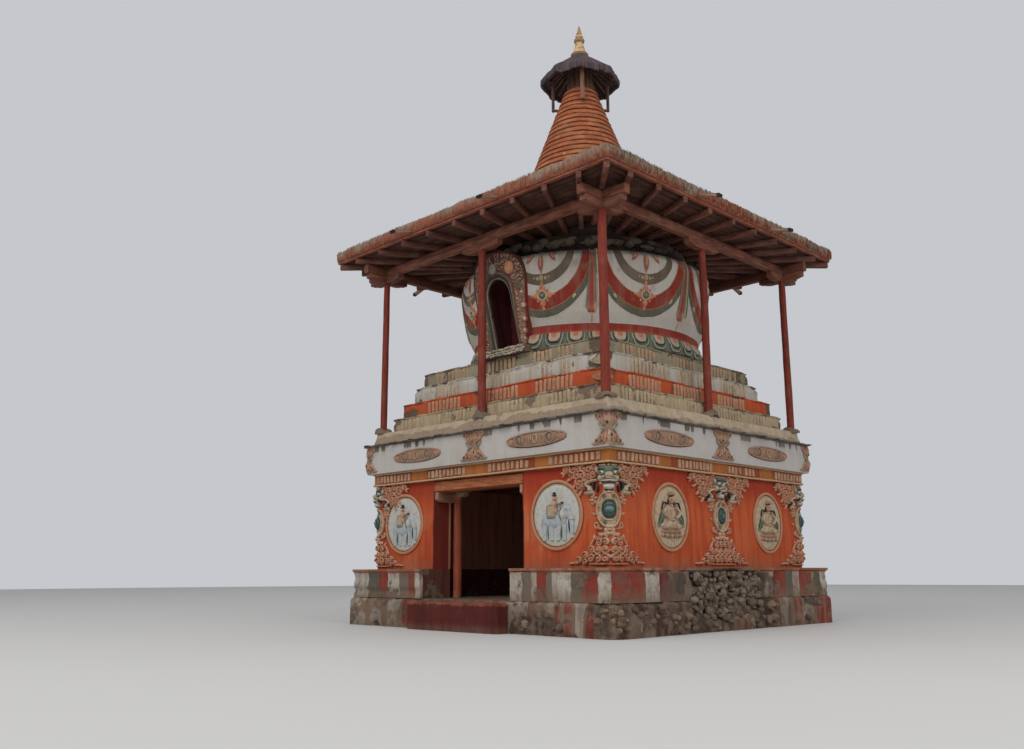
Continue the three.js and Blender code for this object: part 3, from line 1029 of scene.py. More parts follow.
@dataclass(frozen=True)
class WallWash(Plaster):
    """Orange wash of the walls: redder under the band, dusty at the foot, dark red at the jambs."""

    upper: Colour = srgb(160, 56, 34)
    inside: Colour = srgb(196, 140, 116)
    jamb: Colour = srgb(112, 44, 36)
    door_aside: float = 0.09
    door_half: float = 1.3
    face: float = 3.19
    lining: float = 2.85

    def paint(self, sheet: Sheet) -> Paint:
        """Colour by height and place.

        Args:
            sheet: node tree of the material.

        Returns:
            The colour at each place.
        """
        drips = sheet.runs(0.1, 4.0, 0.06, 0.65)
        broad = sheet.cloud(0.7, 5.0)
        colour = sheet.blend(drips.eased(0.35, 0.65), self.coat, srgb(192, 92, 50))
        colour = sheet.blend(broad.eased(0.5, 0.68) * 0.5, colour, srgb(158, 62, 40))
        faded = broad.eased(0.52, 0.36) * (1.0 - sheet.sideways() * 0.8)
        colour = sheet.blend(faded * 0.45, colour, srgb(200, 122, 84))
        top = (sheet.z + drips * 0.9).eased(2.75, 3.25)
        colour = sheet.blend(top, colour, self.upper)
        foot = (sheet.z + drips * 0.45 + broad * 0.35).eased(1.85, 1.42)
        colour = sheet.blend(foot * 0.6, colour, srgb(170, 116, 88))
        reach = sheet.outwards()
        jamb = (abs(sheet.x + self.door_aside) < self.door_half) * (sheet.y < 0.0)
        colour = sheet.blend(jamb, colour, self.jamb)
        colour = sheet.blend(reach < self.face, colour, self.inside)
        return sheet.blend(jamb * (reach > self.lining), colour, self.jamb)


@dataclass(frozen=True)
class StripedWash(Plaster):
    """Vertical stripes of the plinth, listed for the front and the right side; the others repeat them."""

    front: Stops = ()
    right: Stops = ()
    half: float = 3.6
    dust: Colour = srgb(122, 100, 82)
    # This dark colour darkens the plinth round the broken place, as soot and as painted shade.
    soot: Colour = srgb(62, 48, 42)
    lip: Colour = srgb(148, 88, 62)
    inside: Colour = srgb(96, 50, 42)

    def paint(self, sheet: Sheet) -> Paint:
        """Stripes by the distance along each side, with slightly wavy edges, mud splashes and a dusty lip.

        Args:
            sheet: node tree of the material.

        Returns:
            The colour at each place.
        """
        wave = sheet.cloud(0.25, 3.0) * 0.06 - 0.03
        share = (sheet.along() + wave) / (2.0 * self.half) + 0.5
        front, right = ([((edge + self.half) / (2.0 * self.half), tint) for edge, tint in bands]
                        for bands in (self.front, self.right))
        face = sheet.blend(sheet.sideways(), sheet.ramp(share, front, True), sheet.ramp(share, right, True))
        soil = sheet.cloud(0.35, 6.0, rough_by=0.62)
        runs = sheet.runs(0.12, 4.0, 0.12, 0.6)
        face = sheet.blend(runs.eased(0.5, 0.68) * 0.45, face, srgb(112, 84, 68))
        dust = (sheet.z + soil * 0.6).eased(1.16, 0.8)
        face = sheet.blend(dust * 0.78, face, self.dust)
        face = sheet.blend(soil.eased(0.5, 0.6) * 0.55, face, srgb(112, 90, 74))
        # Soot and painted shade: the right side round the broken place is darkened in patches.
        soot_and_shade = sheet.sideways() * (sheet.x > 0.0) * abs(sheet.y + 0.3).eased(2.3, 1.2)
        face = sheet.blend(soot_and_shade * soil.eased(0.36, 0.58) * 0.75, face, self.soot)
        lip = (sheet.z + soil * 0.08 + runs * 0.04).eased(1.1, 1.14)
        face = sheet.blend(lip * 0.8, face, self.lip)
        return sheet.blend(sheet.outwards() < self.half - 0.08, face, self.inside)

    def fallen(self, sheet: Sheet) -> Number:
        """The wash has gone round the hole of the right side, and comes off along the foot."""
        near = abs(sheet.y + 0.42).eased(1.35, 1.0) * (sheet.x > 3.3)
        return near * 0.2 + sheet.z.eased(0.8, 0.6) * 0.04


@dataclass(frozen=True)
class BaseWash(Plaster):
    """The lower base: brown mud with remains of red and white stripes, most of them gone."""

    red: Colour = srgb(132, 48, 36)
    white: Colour = srgb(170, 158, 142)

    def paint(self, sheet: Sheet) -> Paint:
        """Remains of stripes that widen and narrow along the wall; the right side is darkened, as soot and as
        painted shade.

        Args:
            sheet: node tree of the material.

        Returns:
            The colour at each place.
        """
        band = sheet.runs(0.5, 2.0, 0.14)
        left = sheet.cloud(0.3, 6.0, rough_by=0.66)
        # Soot and painted shade: the right side is darkened, together with dark cloudy patches all round.
        soot_and_shade = sheet.sideways() * (sheet.x > 0.0) * sheet.y.eased(1.9, 0.9)
        gloom = (sheet.cloud(0.6, 5.0).eased(0.44, 0.6) * 0.55 + soot_and_shade * 0.55).at_most(1.0)
        colour = sheet.blend(band.eased(0.495, 0.525) * left.eased(0.4, 0.49) * 0.92, self.coat, self.red)
        colour = sheet.blend(band.eased(0.455, 0.44) * left.eased(0.46, 0.53) * 0.85, colour, self.white)
        bare = sheet.number("bare").eased(0.35, 0.6)
        rubble = sheet.blend(sheet.pebbles(0.11, "Color"), srgb(62, 50, 44), srgb(120, 100, 84))
        colour = sheet.blend(bare, colour, rubble)
        return sheet.blend(gloom * 0.8, colour, srgb(58, 45, 39))


@dataclass(frozen=True)
class BandWash(Plaster):
    """Ochre and red panels of the band under the frieze, changing between its groups of bars."""

    red: Colour = srgb(146, 60, 36)
    warm: Colour = srgb(142, 76, 44)

    def paint(self, sheet: Sheet) -> Paint:
        """Ochre at the corners, warm brown behind the bars, red in the gaps beside the middle.

        Args:
            sheet: node tree of the material.

        Returns:
            The colour at each place.
        """
        t = abs(sheet.along() - 0.02)
        behind = sheet.cloud(0.05, 3.0) * 0.1
        gaps = (t + behind).eased(1.62, 1.58) * (t + behind).eased(1.36, 1.4)
        colour = sheet.blend(gaps, self.coat, self.red)
        bars = abs(t - 2.58).eased(0.58, 0.54).at_least(abs(t - 0.92).eased(0.58, 0.54))
        return sheet.blend(bars * 0.8, colour, self.warm)


@dataclass(frozen=True)
class TierWash(Plaster):
    """Wash of a tier, weathered off its corners and along its upper edge."""

    half: float = 3.0
    top: float = 4.4

    def fallen(self, sheet: Sheet) -> Number:
        """Corners and the upper edge lose their coat first."""
        corner = abs(sheet.x).at_most(abs(sheet.y)).eased(self.half - 0.55, self.half - 0.05)
        return corner * 0.11 + sheet.z.eased(self.top - 0.06, self.top - 0.01) * 0.05


@dataclass(frozen=True)
class StepWash(Plaster):
    """Dark red front step with its upper edge rubbed down to orange-brown."""

    rubbed: Colour = srgb(150, 88, 62)

    def paint(self, sheet: Sheet) -> Paint:
        """Dark red, paler and ragged along the top, dusty at the foot."""
        ragged = sheet.cloud(0.1, 5.0, rough_by=0.65) * 0.16
        colour = sheet.blend((sheet.z + ragged).eased(0.545, 0.575) * 0.75, self.coat, self.rubbed)
        return sheet.blend((sheet.z - ragged).eased(0.1, -0.06) * 0.5, colour, srgb(120, 94, 76))


@dataclass(frozen=True)
class FriezeWash(Plaster):
    """White frieze with dabs of mud that hang under the slates."""

    mud_dab_and_shade: Colour = srgb(88, 76, 66)
    run: Colour = srgb(140, 130, 118)
    dust: Colour = srgb(126, 106, 90)
    top: float = 3.785

    def paint(self, sheet: Sheet) -> Paint:
        """Short blunt dabs whose length follows a noise along the wall, faint runs below them, and a dark
        band at the top as painted shade under the slates.

        Args:
            sheet: node tree of the material.

        Returns:
            The colour at each place.
        """
        lengths = sheet.runs(0.22, 1.5, 0.0)
        ragged = (sheet.cloud(0.05, 4.0) - 0.5) * 0.08
        below = self.top - sheet.z + ragged
        limit = ((lengths - 0.535) * 5.0).at_most(0.15)
        colour = sheet.blend((limit * 2.2 - below).eased(0.0, 0.25) * 0.35, self.coat, self.run)
        colour = sheet.blend((limit - below).eased(0.0, 0.03) * 0.88, colour, self.mud_dab_and_shade)
        # Painted shade: a dark band along the top, under the overhanging slates.
        rim = (sheet.z + ragged * 0.3).eased(self.top - 0.04, self.top - 0.02) * 0.8
        colour = sheet.blend(rim, colour, self.mud_dab_and_shade)
        ends = (abs(sheet.along()) + ragged * 2.0).eased(3.22, 3.36)
        ends = ends * sheet.cloud(0.3, 5.0).eased(0.46, 0.54)
        return sheet.blend(ends * 0.75, colour, self.dust)


@dataclass(frozen=True)
class LedgeWash(Plaster):
    """Sloping ledge: bare mud below, lime wash above a ragged line that lies lower on the sides."""

    line: float = 3.965

    def paint(self, sheet: Sheet) -> Paint:
        """Mud and lime wash by height and noise.

        Args:
            sheet: node tree of the material.

        Returns:
            The colour at each place.
        """
        ragged = sheet.cloud(0.42, 6.0, rough_by=0.6) * 0.34 - 0.17
        line = self.line - sheet.sideways() * 0.07
        clods = sheet.cloud(0.05, 5.0, rough_by=0.7)
        mud = sheet.blend(clods.eased(0.38, 0.66), scaled(self.mud, 0.72), self.mud)
        lime = sheet.blend(sheet.cloud(0.14, 5.0).eased(0.45, 0.65) * 0.5, self.coat, self.worn)
        return sheet.blend((sheet.z + ragged).eased(line, line + 0.012), mud, lime)


@dataclass(frozen=True)
class DomeWash(Plaster):
    """Dome: white, with nested swags and a red band; the mesh carries each point's place in its swag."""

    red: Colour = srgb(130, 44, 33)
    faded: Colour = srgb(150, 70, 48)
    green: Colour = srgb(84, 84, 68)
    grey: Colour = srgb(98, 82, 68)
    fringe: Colour = srgb(160, 112, 78)
    dirt: Colour = srgb(134, 104, 84)
    soot: Colour = srgb(96, 84, 74)
    shade: Colour = srgb(62, 54, 48)
    band_top: float = 5.955

    def paint(self, sheet: Sheet) -> Paint:
        """Colour steps of the swags from the field "swag", then the red band at the dome's foot.

        Args:
            sheet: node tree of the material.

        Returns:
            The colour at each place.
        """
        wave = sheet.cloud(0.16, 4.0) * 0.026 - 0.013
        swag = sheet.number("swag") + wave
        steps = [(0.0, self.coat), (0.2, self.green), (0.212, self.grey), (0.33, self.green),
                 (0.354, self.coat), (0.505, self.fringe), (0.519, self.red), (0.692, self.fringe),
                 (0.702, self.green), (0.8, self.coat)]
        colour = sheet.ramp(swag, steps, True)
        worn = sheet.cloud(0.5, 5.0).eased(0.52, 0.66) * 0.45
        painted = swag.eased(0.2, 0.21) * swag.eased(0.81, 0.8)
        colour = sheet.blend(painted * worn, colour, self.dirt)
        low = sheet.z + wave * 0.6
        band = sheet.blend((sheet.z + wave * 2.0).eased(5.85, 5.79) * 0.8, self.red, self.faded)
        colour = sheet.blend(low.eased(self.band_top, self.band_top - 0.01), colour, band)
        soot = sheet.runs(0.1, 4.0, 0.08, 0.6).eased(0.5, 0.72)
        colour = sheet.blend(soot * (sheet.z + wave * 6.0).eased(6.75, 7.35) * 0.35, colour, self.soot)
        shade = (sheet.z + sheet.cloud(0.3, 4.0) * 0.12).eased(7.36, 7.5)
        return sheet.blend(shade * 0.75, colour, self.shade)


@dataclass(frozen=True)
class PetalWash(Plaster):
    """Lotus ring: petals by the mesh's field "petal": outline, green cup, white rim and pink tongue."""

    def paint(self, sheet: Sheet) -> Paint:
        """Colour steps across a petal; the dark outline is thick under the tongue and thin beside it.

        Args:
            sheet: node tree of the material.

        Returns:
            The colour at each place.
        """
        petal = sheet.number("petal") + sheet.cloud(0.06, 3.0) * 0.04 - 0.02
        petal = petal - sheet.z.eased(5.62, 5.68) * 0.03
        steps = [(0.0, srgb(176, 108, 88)), (0.2, srgb(180, 150, 128)), (0.4, srgb(178, 164, 146)),
                 (0.475, srgb(44, 42, 40)), (0.555, srgb(78, 98, 80)), (0.66, srgb(164, 158, 142)),
                 (0.73, srgb(70, 86, 70)), (0.83, srgb(112, 102, 86))]
        return sheet.ramp(petal, steps, True)


@dataclass(frozen=True)
class Timber(Finish):
    """Painted or bare timber with the grain along it, from the fields "run", "girth" and "tone"."""

    light: Colour
    dark: Colour
    worn: Colour = srgb(116, 92, 74)
    wear: float = 0.3

    def draw(self, sheet: Sheet) -> None:
        """Grain, cracks, knots of darker paint and worn spots.

        Args:
            sheet: node tree of the material.
        """
        run, girth, tone = (sheet.number(name) for name in ("run", "girth", "tone"))
        spot = sheet.node("ShaderNodeCombineXYZ", {}, {0: run * 1.0, 1: girth * 14.0, 2: tone * 9.0})
        grain = sheet.cloud(0.35, 6.0, spot, 0.6)
        crack = sheet.cloud(0.22, 2.0, sheet.stretched((1.0, 1.7, 1.0), spot))
        cloud = sheet.cloud(0.4, 5.0)
        colour = sheet.blend(grain.eased(0.3, 0.7), self.dark, self.light)
        colour = sheet.blend(tone * 0.35, colour, self.dark)
        colour = sheet.blend(cloud.eased(0.52, 0.7) * self.wear, colour, self.worn)
        gap = crack.eased(0.335, 0.3)
        colour = sheet.blend(gap * 0.7, colour, scaled(self.dark, 0.25))
        sheet.surface(colour, 0.62 + grain * 0.25, grain * 0.004 - gap * 0.004)


@dataclass(frozen=True)
class Rock(Finish):
    """Field stones, slates or clods, each with a tone of its own from the field "tone"."""

    light: Colour
    dark: Colour
    dust: Colour = srgb(138, 122, 104)

    def draw(self, sheet: Sheet) -> None:
        """Tone by stone, speckles and dust.

        Args:
            sheet: node tree of the material.
        """
        tone = sheet.number("tone")
        speckle = sheet.cloud(0.02, 4.0, rough_by=0.7)
        cloud = sheet.cloud(0.15, 4.0)
        colour = sheet.blend(tone * 0.8 + speckle * 0.2, self.dark, self.light)
        colour = sheet.blend(cloud.eased(0.5, 0.7) * 0.45, colour, self.dust)
        sheet.surface(colour, 0.9, speckle * 0.004 + cloud * 0.006)


@dataclass(frozen=True)
class Brushwood(Finish):
    """Packed brushwood of the eaves: reddish below from the roof paint, grey-brown above."""

    grey: Colour = srgb(158, 142, 124)
    brown: Colour = srgb(114, 92, 76)
    red: Colour = srgb(162, 88, 64)
    moss: Colour = srgb(108, 104, 98)
    low: float = 8.11
    high: float = 8.29

    def draw(self, sheet: Sheet) -> None:
        """Upright stalks by tone; the red fades upwards in uneven runs, the upper rim is mossy grey.

        Args:
            sheet: node tree of the material.
        """
        tone = sheet.number("tone")
        runs = sheet.runs(0.9, 5.0, 0.4, 0.6)
        stalks = sheet.runs(0.05, 4.0, 0.09, 0.65)
        mix = stalks.eased(0.32, 0.68) * 0.7 + tone * 0.3
        colour = sheet.blend(mix, self.brown, self.grey)
        painted = sheet.blend(mix, scaled(self.red, 0.5), self.red)
        splash = (sheet.z - (runs - 0.5) * 0.85).eased(self.high, self.low)
        colour = sheet.blend(splash * 0.8, colour, painted)
        rim = (sheet.z + (stalks - 0.5) * 0.1).eased(8.3, 8.345)
        colour = sheet.blend(rim * 0.75, colour, self.moss)
        sheet.surface(colour, 0.95, stalks * 0.012)


@dataclass(frozen=True)
class CarvedPaint(Finish):
    """Painted relief plaster in one colour; dirt and painted shade in hollows, wear and painted highlight on
    highs.
    """

    coat: Colour
    hollow_dirt_and_shade: Colour
    chalk_and_highlight: Colour = srgb(196, 178, 156)
    gloss: float = 0.8

    def draw(self, sheet: Sheet) -> None:
        """Colour with fine dirt; pointed parts are chalkier, partly as painted highlight, hollows take
        painted shade, and the field "tone" makes a part dirtier.

        Args:
            sheet: node tree of the material.
        """
        cloud = sheet.cloud(0.07, 5.0, rough_by=0.65)
        fine = sheet.cloud(0.012, 3.0)
        point = sheet.node("ShaderNodeNewGeometry", {}, {}, "Pointiness")
        dirty = cloud.eased(0.45, 0.7) * 0.55 + sheet.number("tone") * 0.5
        colour = sheet.blend(dirty, self.coat, self.hollow_dirt_and_shade)
        # Painted highlight and wear: pointed parts lean to the chalk colour. Painted shade: hollow parts lean
        # to the hollow colour.
        colour = sheet.blend(point.eased(0.52, 0.62) * 0.35, colour, self.chalk_and_highlight)
        colour = sheet.blend(point.eased(0.49, 0.42) * 0.6, colour, self.hollow_dirt_and_shade)
        sheet.surface(colour, self.gloss + fine * 0.15, cloud * 0.004 + fine * 0.002)


@dataclass(frozen=True)
class Gilding(Finish):
    """Worn gilding over plaster on the finial."""

    gold: Colour = srgb(208, 178, 130)
    bare: Colour = srgb(140, 110, 78)
    plate_top: float = 13.335
    rings: tuple[float, float] = (13.64, 13.74)
    upper_rings: float = 13.84

    def draw(self, sheet: Sheet) -> None:
        """Half-metallic pale gold with dull spots; the foot plate and the rings are brown.

        Args:
            sheet: node tree of the material.
        """
        cloud = sheet.cloud(0.1, 5.0, rough_by=0.6)
        low, high = self.rings
        dull = cloud.eased(0.46, 0.64) * 0.8 + (sheet.z < self.plate_top)
        dull = dull + (sheet.z > low) * (sheet.z < high) * 0.7 + (sheet.z > self.upper_rings) * 0.6
        dull = dull.at_most(1.0)
        colour = sheet.blend(dull, self.gold, self.bare)
        sheet.surface(colour, 0.45 + dull * 0.35, cloud * 0.004, metallic=0.16)


@dataclass(frozen=True)
class Ground(Finish):
    """Plain pale floor of the studio."""

    tint: Colour = srgb(206, 204, 200)

    def draw(self, sheet: Sheet) -> None:
        """One pale colour with a very faint cloud."""
        sheet.surface(sheet.blend(sheet.cloud(2.5, 3.0) * 0.1, self.tint, srgb(180, 178, 174)), 0.9)


# Shared values of the sub-assemblies


DOOR_LEFT = -1.367
DOOR_RIGHT = 1.185
FLOOR_Z = 0.566
PLINTH_TOP = 1.139
WALL_TOP = 2.909
HOLE = [(-1.46, 1.075), (-1.38, 0.7), (-1.5, 0.42), (-0.9, 0.18), (0.2, 0.15),
        (0.9, 0.3), (1.05, 0.7), (0.9, 1.075), (0.15, 1.11), (-0.7, 1.105)]
DOME = ((2.5, 5.7), (2.5, 5.94), (2.53, 6.01), (2.605, 6.17), (2.685, 6.45), (2.745, 6.8),
        (2.79, 7.17), (2.775, 7.31), (2.69, 7.44))


class Side(Enum):
    """The four sides, counted in quarter turns from the front."""

    FRONT = 0
    RIGHT = 1
    BACK = 2
    LEFT = 3

    def turned(self, shape: Surface) -> Surface:
        """A surface of the front, carried round to this side."""
        cos, sin = ((1, 0), (0, 1), (-1, 0), (0, -1))[self.value]
        x, y, z = axes(shape.points)
        return replace(shape, points=vectors(x * cos - y * sin, x * sin + y * cos, z))


class Hue(Enum):
    """Colours of the painted relief, each with its place in a piece's list of finishes."""

    PEACH = 0
    CREAM = 1
    GREEN = 2
    TEAL = 3
    DARK = 4
    WHITE = 5
    SKIN = 6
    ROBE = 7
    RED = 8
    TAN = 9
    FIELD = 10
    CLAY = 11
    RIM = 12
    JADE = 13


# Each relief colour: a coat, a hollow colour for dirt and painted shade in hollows, and at times a chalk
# colour for wear and painted highlight.
CARVED = [
    CarvedPaint("relief_peach", srgb(190, 122, 88), srgb(112, 54, 36)),
    CarvedPaint("relief_cream", srgb(184, 162, 134), srgb(104, 84, 64)),
    CarvedPaint("relief_green", srgb(84, 98, 80), srgb(40, 50, 42)),
    CarvedPaint("relief_teal", srgb(58, 88, 82), srgb(20, 32, 30), srgb(140, 160, 152), 0.5),
    CarvedPaint("relief_dark", srgb(50, 46, 42), srgb(26, 24, 22), srgb(96, 88, 80)),
    CarvedPaint("relief_white", srgb(190, 184, 176), srgb(124, 116, 104)),
    CarvedPaint("relief_skin", srgb(184, 142, 118), srgb(124, 84, 64)),
    CarvedPaint("relief_robe", srgb(168, 174, 176), srgb(112, 124, 130)),
    CarvedPaint("relief_red", srgb(138, 46, 34), srgb(70, 26, 20)),
    CarvedPaint("relief_tan", srgb(168, 140, 106), srgb(104, 84, 62)),
    CarvedPaint("relief_field", srgb(186, 184, 176), srgb(146, 142, 130)),
    CarvedPaint("relief_clay", srgb(160, 120, 98), srgb(98, 66, 52)),
    CarvedPaint("relief_rim", srgb(182, 120, 84), srgb(140, 70, 44)),
    CarvedPaint("relief_teal_highlight", srgb(92, 122, 116), srgb(46, 70, 66), srgb(130, 150, 144), 0.5),
]

NICHE_TINTS = [
    CarvedPaint("niche_brown", srgb(132, 88, 68), srgb(66, 38, 30)),
    CarvedPaint("niche_cream", srgb(186, 164, 138), srgb(92, 70, 56)),
    CarvedPaint("niche_olive", srgb(84, 92, 74), srgb(36, 42, 34)),
    CarvedPaint("niche_red", srgb(118, 50, 40), srgb(56, 24, 22)),
    CarvedPaint("niche_grey", srgb(150, 144, 132), srgb(88, 80, 70)),
    CarvedPaint("niche_peach", srgb(178, 126, 94), srgb(100, 60, 42)),
]


def swell(points: Array, seed: int, strength: float = 1.0) -> Array:
    """Unevenness of hand-laid plaster in metres: long waves and small ones."""
    return strength * (0.026 * rough(points, 1.3, 3, seed) + 0.012 * rough(points, 0.28, 3, seed + 9))


def broken(points: Array, depth: float) -> Array:
    """Recess of the broken place in the right side, with a ragged rim."""
    away = outline_distance(points[..., 1], points[..., 2], HOLE) + 0.1 * rough(points, 0.3, 3, 5)
    return -depth * ease(-away, 0.0, 0.07) * (points[..., 0] > 3.0)


def stones(size: Array, seed: int, finish: int = 0) -> Surface:
    """Rounded field stones: spheres squeezed to a size on each axis and pushed in and out by noise.

    Args:
        size: full width, depth and height of each stone, copies x 3.
        seed: picks the shapes.
        finish: index of the piece's finish.

    Returns:
        The stones, each about its own middle, with the field "tone".
    """
    v = np.linspace(-0.47 * math.pi, 0.47 * math.pi, 6)[:, None]
    angle = np.arange(9) * TURN / 9
    ball = vectors(np.cos(v) * np.cos(angle), np.cos(v) * np.sin(angle), np.sin(v))
    number = np.arange(len(size))
    own = number[:, None, None, None] * 7.3 + seed
    pushed = 1.0 + 0.28 * value_noise(ball * 1.4 + own, 1.0, seed)[..., None]
    points = ball * pushed * 0.5 * size[:, None, None, :]
    tone = hashed(vectors(3 * number, 7 * number, 11 * number), seed)
    return Surface(points, finish=finish, fields={"tone": tone[:, None, None]})


def ring(x: float, z: float, half_x: float, half_z: float, width: float, depth: float,
         rows: int = 44) -> Surface:
    """A raised oval moulding: a half-round strip along an ellipse, closed on itself.

    Args:
        x, z: middle of the oval.
        half_x, half_z: half of its width and height.
        width, depth: of the strip.
        rows: points along it.

    Returns:
        The moulding.
    """
    angle = np.arange(rows)[:, None] * TURN / rows
    across, above = np.cos(angle) / half_x, np.sin(angle) / half_z
    length = np.hypot(across, above)
    turn = (np.arange(8) + 0.5) * TURN / 8
    side = 0.5 * width * np.cos(turn) / length
    out = depth * (0.35 + 0.65 * np.sin(turn))
    along, up = half_x * np.cos(angle) + across * side, half_z * np.sin(angle) + above * side
    return Surface(vectors(x + along, out, z + up), loop=True)


def leaf(x: float, z: float, length: float, width: float, heading: float, bend: float = 0.0,
         depth: float = 0.03, rows: int = 9) -> Surface:
    """A pointed leaf: a strip along an arc whose width follows sin(pi t) to the power 0.7.

    Args:
        x, z: its foot.
        length, width: of the leaf.
        heading: direction of its foot in degrees, 0 along the wall and 90 up.
        bend: how many degrees it turns on its way.
        depth: height above the wall.
        rows: points along it.

    Returns:
        The leaf.
    """
    t = np.linspace(0.0, 1.0, rows)
    angle = np.radians(heading + bend * t)
    step = length / (rows - 1)
    along = np.concatenate([[0.0], np.cumsum(np.cos(angle[:-1]) * step)])
    up = np.concatenate([[0.0], np.cumsum(np.sin(angle[:-1]) * step)])
    wide = width * (0.06 + 0.94 * np.sin(np.pi * t) ** 0.7)
    return swept(vectors(x + along, z + up), wide, depth * (0.5 + 0.5 * np.sin(np.pi * t)))


def knob(x: float, z: float, width: float, height: float, depth: float, around: int = 12, steps: int = 5,
         power: float = 1.0) -> Surface:
    """A low dome with its middle at a place on the wall; see boss."""
    return boss(width, height, depth, around, steps, power).moved(x, 0.0, z)


def rosette(x: float, z: float, radius: float, count: int, size: float, depth: float) -> list[Surface]:
    """Round knobs of one size in a circle about a place."""
    angles = [k * TURN / count for k in range(count)]
    return [knob(x + radius * math.cos(a), z + radius * math.sin(a), size, size, depth, 8) for a in angles]


def pair(*shapes: Surface) -> list[Surface]:
    """Each surface and its mirror image."""
    return [made for shape in shapes for made in (shape, shape.mirrored())]


def hued(hue: Hue, *shapes: Surface) -> list[Surface]:
    """Surfaces in one of the relief's colours."""
    return [shape.tinted(hue.value) for shape in shapes]


def placed(path: Union[SquarePath, RoundPath], shapes: list[Surface], spots: Array, up: float = 0.0,
           outset: float = 0.0) -> list[Surface]:
    """Copies of a group of flat reliefs at several places along a wall."""
    return [path.bent(shape, spots, up, outset) for shape in shapes]


# Sub-assemblies, from the ground up


@dataclass
class LowerBase:
    """Lower base: mud plaster over rubble, worn away in places, and the step before the doorway."""

    half: float = 3.66
    top: float = FLOOR_Z
    cell: float = 0.036
    stone: float = 0.17

    def bare(self, points: Array) -> Array:
        """1 where the plaster has gone and the rubble shows, 0 where it holds; it holds left of the step."""
        held = 0.25 * ease(-points[..., 0], 1.2, 1.6) * (points[..., 1] < -3.0)
        return ease(rough(points * (1.0, 1.0, 1.5), 0.9, 4, 21) - held, 0.02, 0.1)

    def relief(self, points: Array) -> Array:
        """Plaster swell, cobbles where it has gone, and the broken place.

        Args:
            points: points of the surface.

        Returns:
            How far each point moves outwards, in metres.
        """
        near, _ = cobbles(points * (1.0, 1.0, 1.3), self.stone, 31)
        bump = 0.055 * (1.0 - ease(near, 0.15, 0.75)) - 0.05
        bare = self.bare(points)
        round_top = -0.05 * ease(points[..., 2], 0.5, 0.566)
        return (1.0 - bare) * swell(points, 3, 1.4) + bare * bump + round_top + broken(points, 0.13)

    def build(self) -> None:
        """Makes the base, the rubble in its broken place and the step."""
        path = SquarePath(self.half, 0.08)
        body = course(path, [(0.0, 0.0), (0.0, self.top - 0.03), (-0.03, self.top)], self.cell,
                      self.relief, 0.5)
        body.fields["bare"] = self.bare(body.points)
        wash = BaseWash("rough_base", srgb(124, 102, 84), srgb(138, 116, 98), mud=srgb(112, 92, 76), bare=0.6,
                        patch_size=0.35, grain=0.012)
        Piece("lower_base_masonry", [body], [wash], "rough_base", ("lower_base",))
        self.rubble(path)
        self.step()

    def rubble(self, path: SquarePath) -> None:
        """Field stones that fill the broken place and some that stick out of the worn plaster.

        Args:
            path: the square that it follows.
        """
        rng = np.random.default_rng(41)
        y = rng.uniform(-1.5, 1.1, 900)
        z = rng.uniform(0.16, 1.12, 900)
        inside = outline_distance(y, z, HOLE) < -0.02
        y, z = y[inside][:330], z[inside][:330]
        size = rng.uniform(0.07, 0.19, (len(y), 1)) * rng.uniform(0.7, 1.2, (len(y), 3))
        size[:, 2] *= 0.75
        deep = stones(size, 17).moved(0.0, -0.15, 0.0)
        deep.points += rng.uniform(-0.02, 0.05, (len(y), 1, 1, 1)) * (0.0, 1.0, 0.0)
        s = rng.uniform(0.0, 8.0 * self.half, 420)
        up = rng.uniform(0.07, 0.5, 420)
        spot = path.at(s, up, 0.0)
        keep = (self.bare(spot) > 0.6) & ((s > 1.3) & (s < 8.0 * self.half - 1.45))
        s, up = s[keep], up[keep]
        more = rng.uniform(0.09, 0.2, (len(s), 1)) * rng.uniform(0.7, 1.3, (len(s), 3))
        more[:, 2] = np.minimum(more[:, 2] * 0.8, 1.6 * up)
        proud = stones(more, 23, 1).moved(0.0, -0.035, 0.0)
        surfaces = [path.bent(deep, 2.0 * self.half + y, z), path.bent(proud, s, up)]
        # The stones deep in the broken place are a little darker, as soot and as painted shade of the recess.
        soot_and_shade = Rock("field_stone", srgb(140, 122, 106), srgb(70, 58, 50), srgb(112, 96, 82))
        earthy = Rock("base_stone", srgb(142, 120, 100), srgb(80, 64, 54), srgb(124, 104, 86))
        Piece("base_rubble", surfaces, [soot_and_shade, earthy], "rough_base")

    def step(self) -> None:
        """Block of the front step: a ring round its plan carried up and drawn in over the top."""
        x0, x1, y0, y1, top = DOOR_LEFT + 0.004, DOOR_RIGHT - 0.004, -3.955, -3.64, 0.535
        t = np.arange(240) / 240.0 * TURN
        ring_x, ring_y = powered(np.cos(t), 0.12), powered(np.sin(t), 0.12)
        rows = [(0.03 * k, 1.0) for k in range(17)]
        rows += [(0.515, 0.99), (0.53, 0.97), (top, 0.94), (top, 0.7), (top, 0.3)]
        up, share = axes(np.array(rows)[:, None])
        x = 0.5 * (x0 + x1) + 0.5 * (x1 - x0) * ring_x * share
        y = 0.5 * (y0 + y1) + 0.5 * (y1 - y0) * ring_y * share
        points = vectors(x, y, up)
        front = ring_y < -0.5
        points[..., 1] += np.maximum(0.0, 0.016 + 0.03 * rough(points, 0.35, 4, 8)) * front
        chips = np.maximum(0.0, rough(points, 0.16, 4, 9)) * ease(points[..., 2], 0.4, 0.52)
        points[..., 1] += 0.09 * chips * front
        points[..., 2] -= 0.03 * chips
        wash = StepWash("dark_red_plaster", srgb(92, 36, 30), srgb(66, 30, 26), bare=0.66, grain=0.008)
        Piece("front_step_block", [Surface(points)], [wash], "dark_red_plaster", ("front_step",))


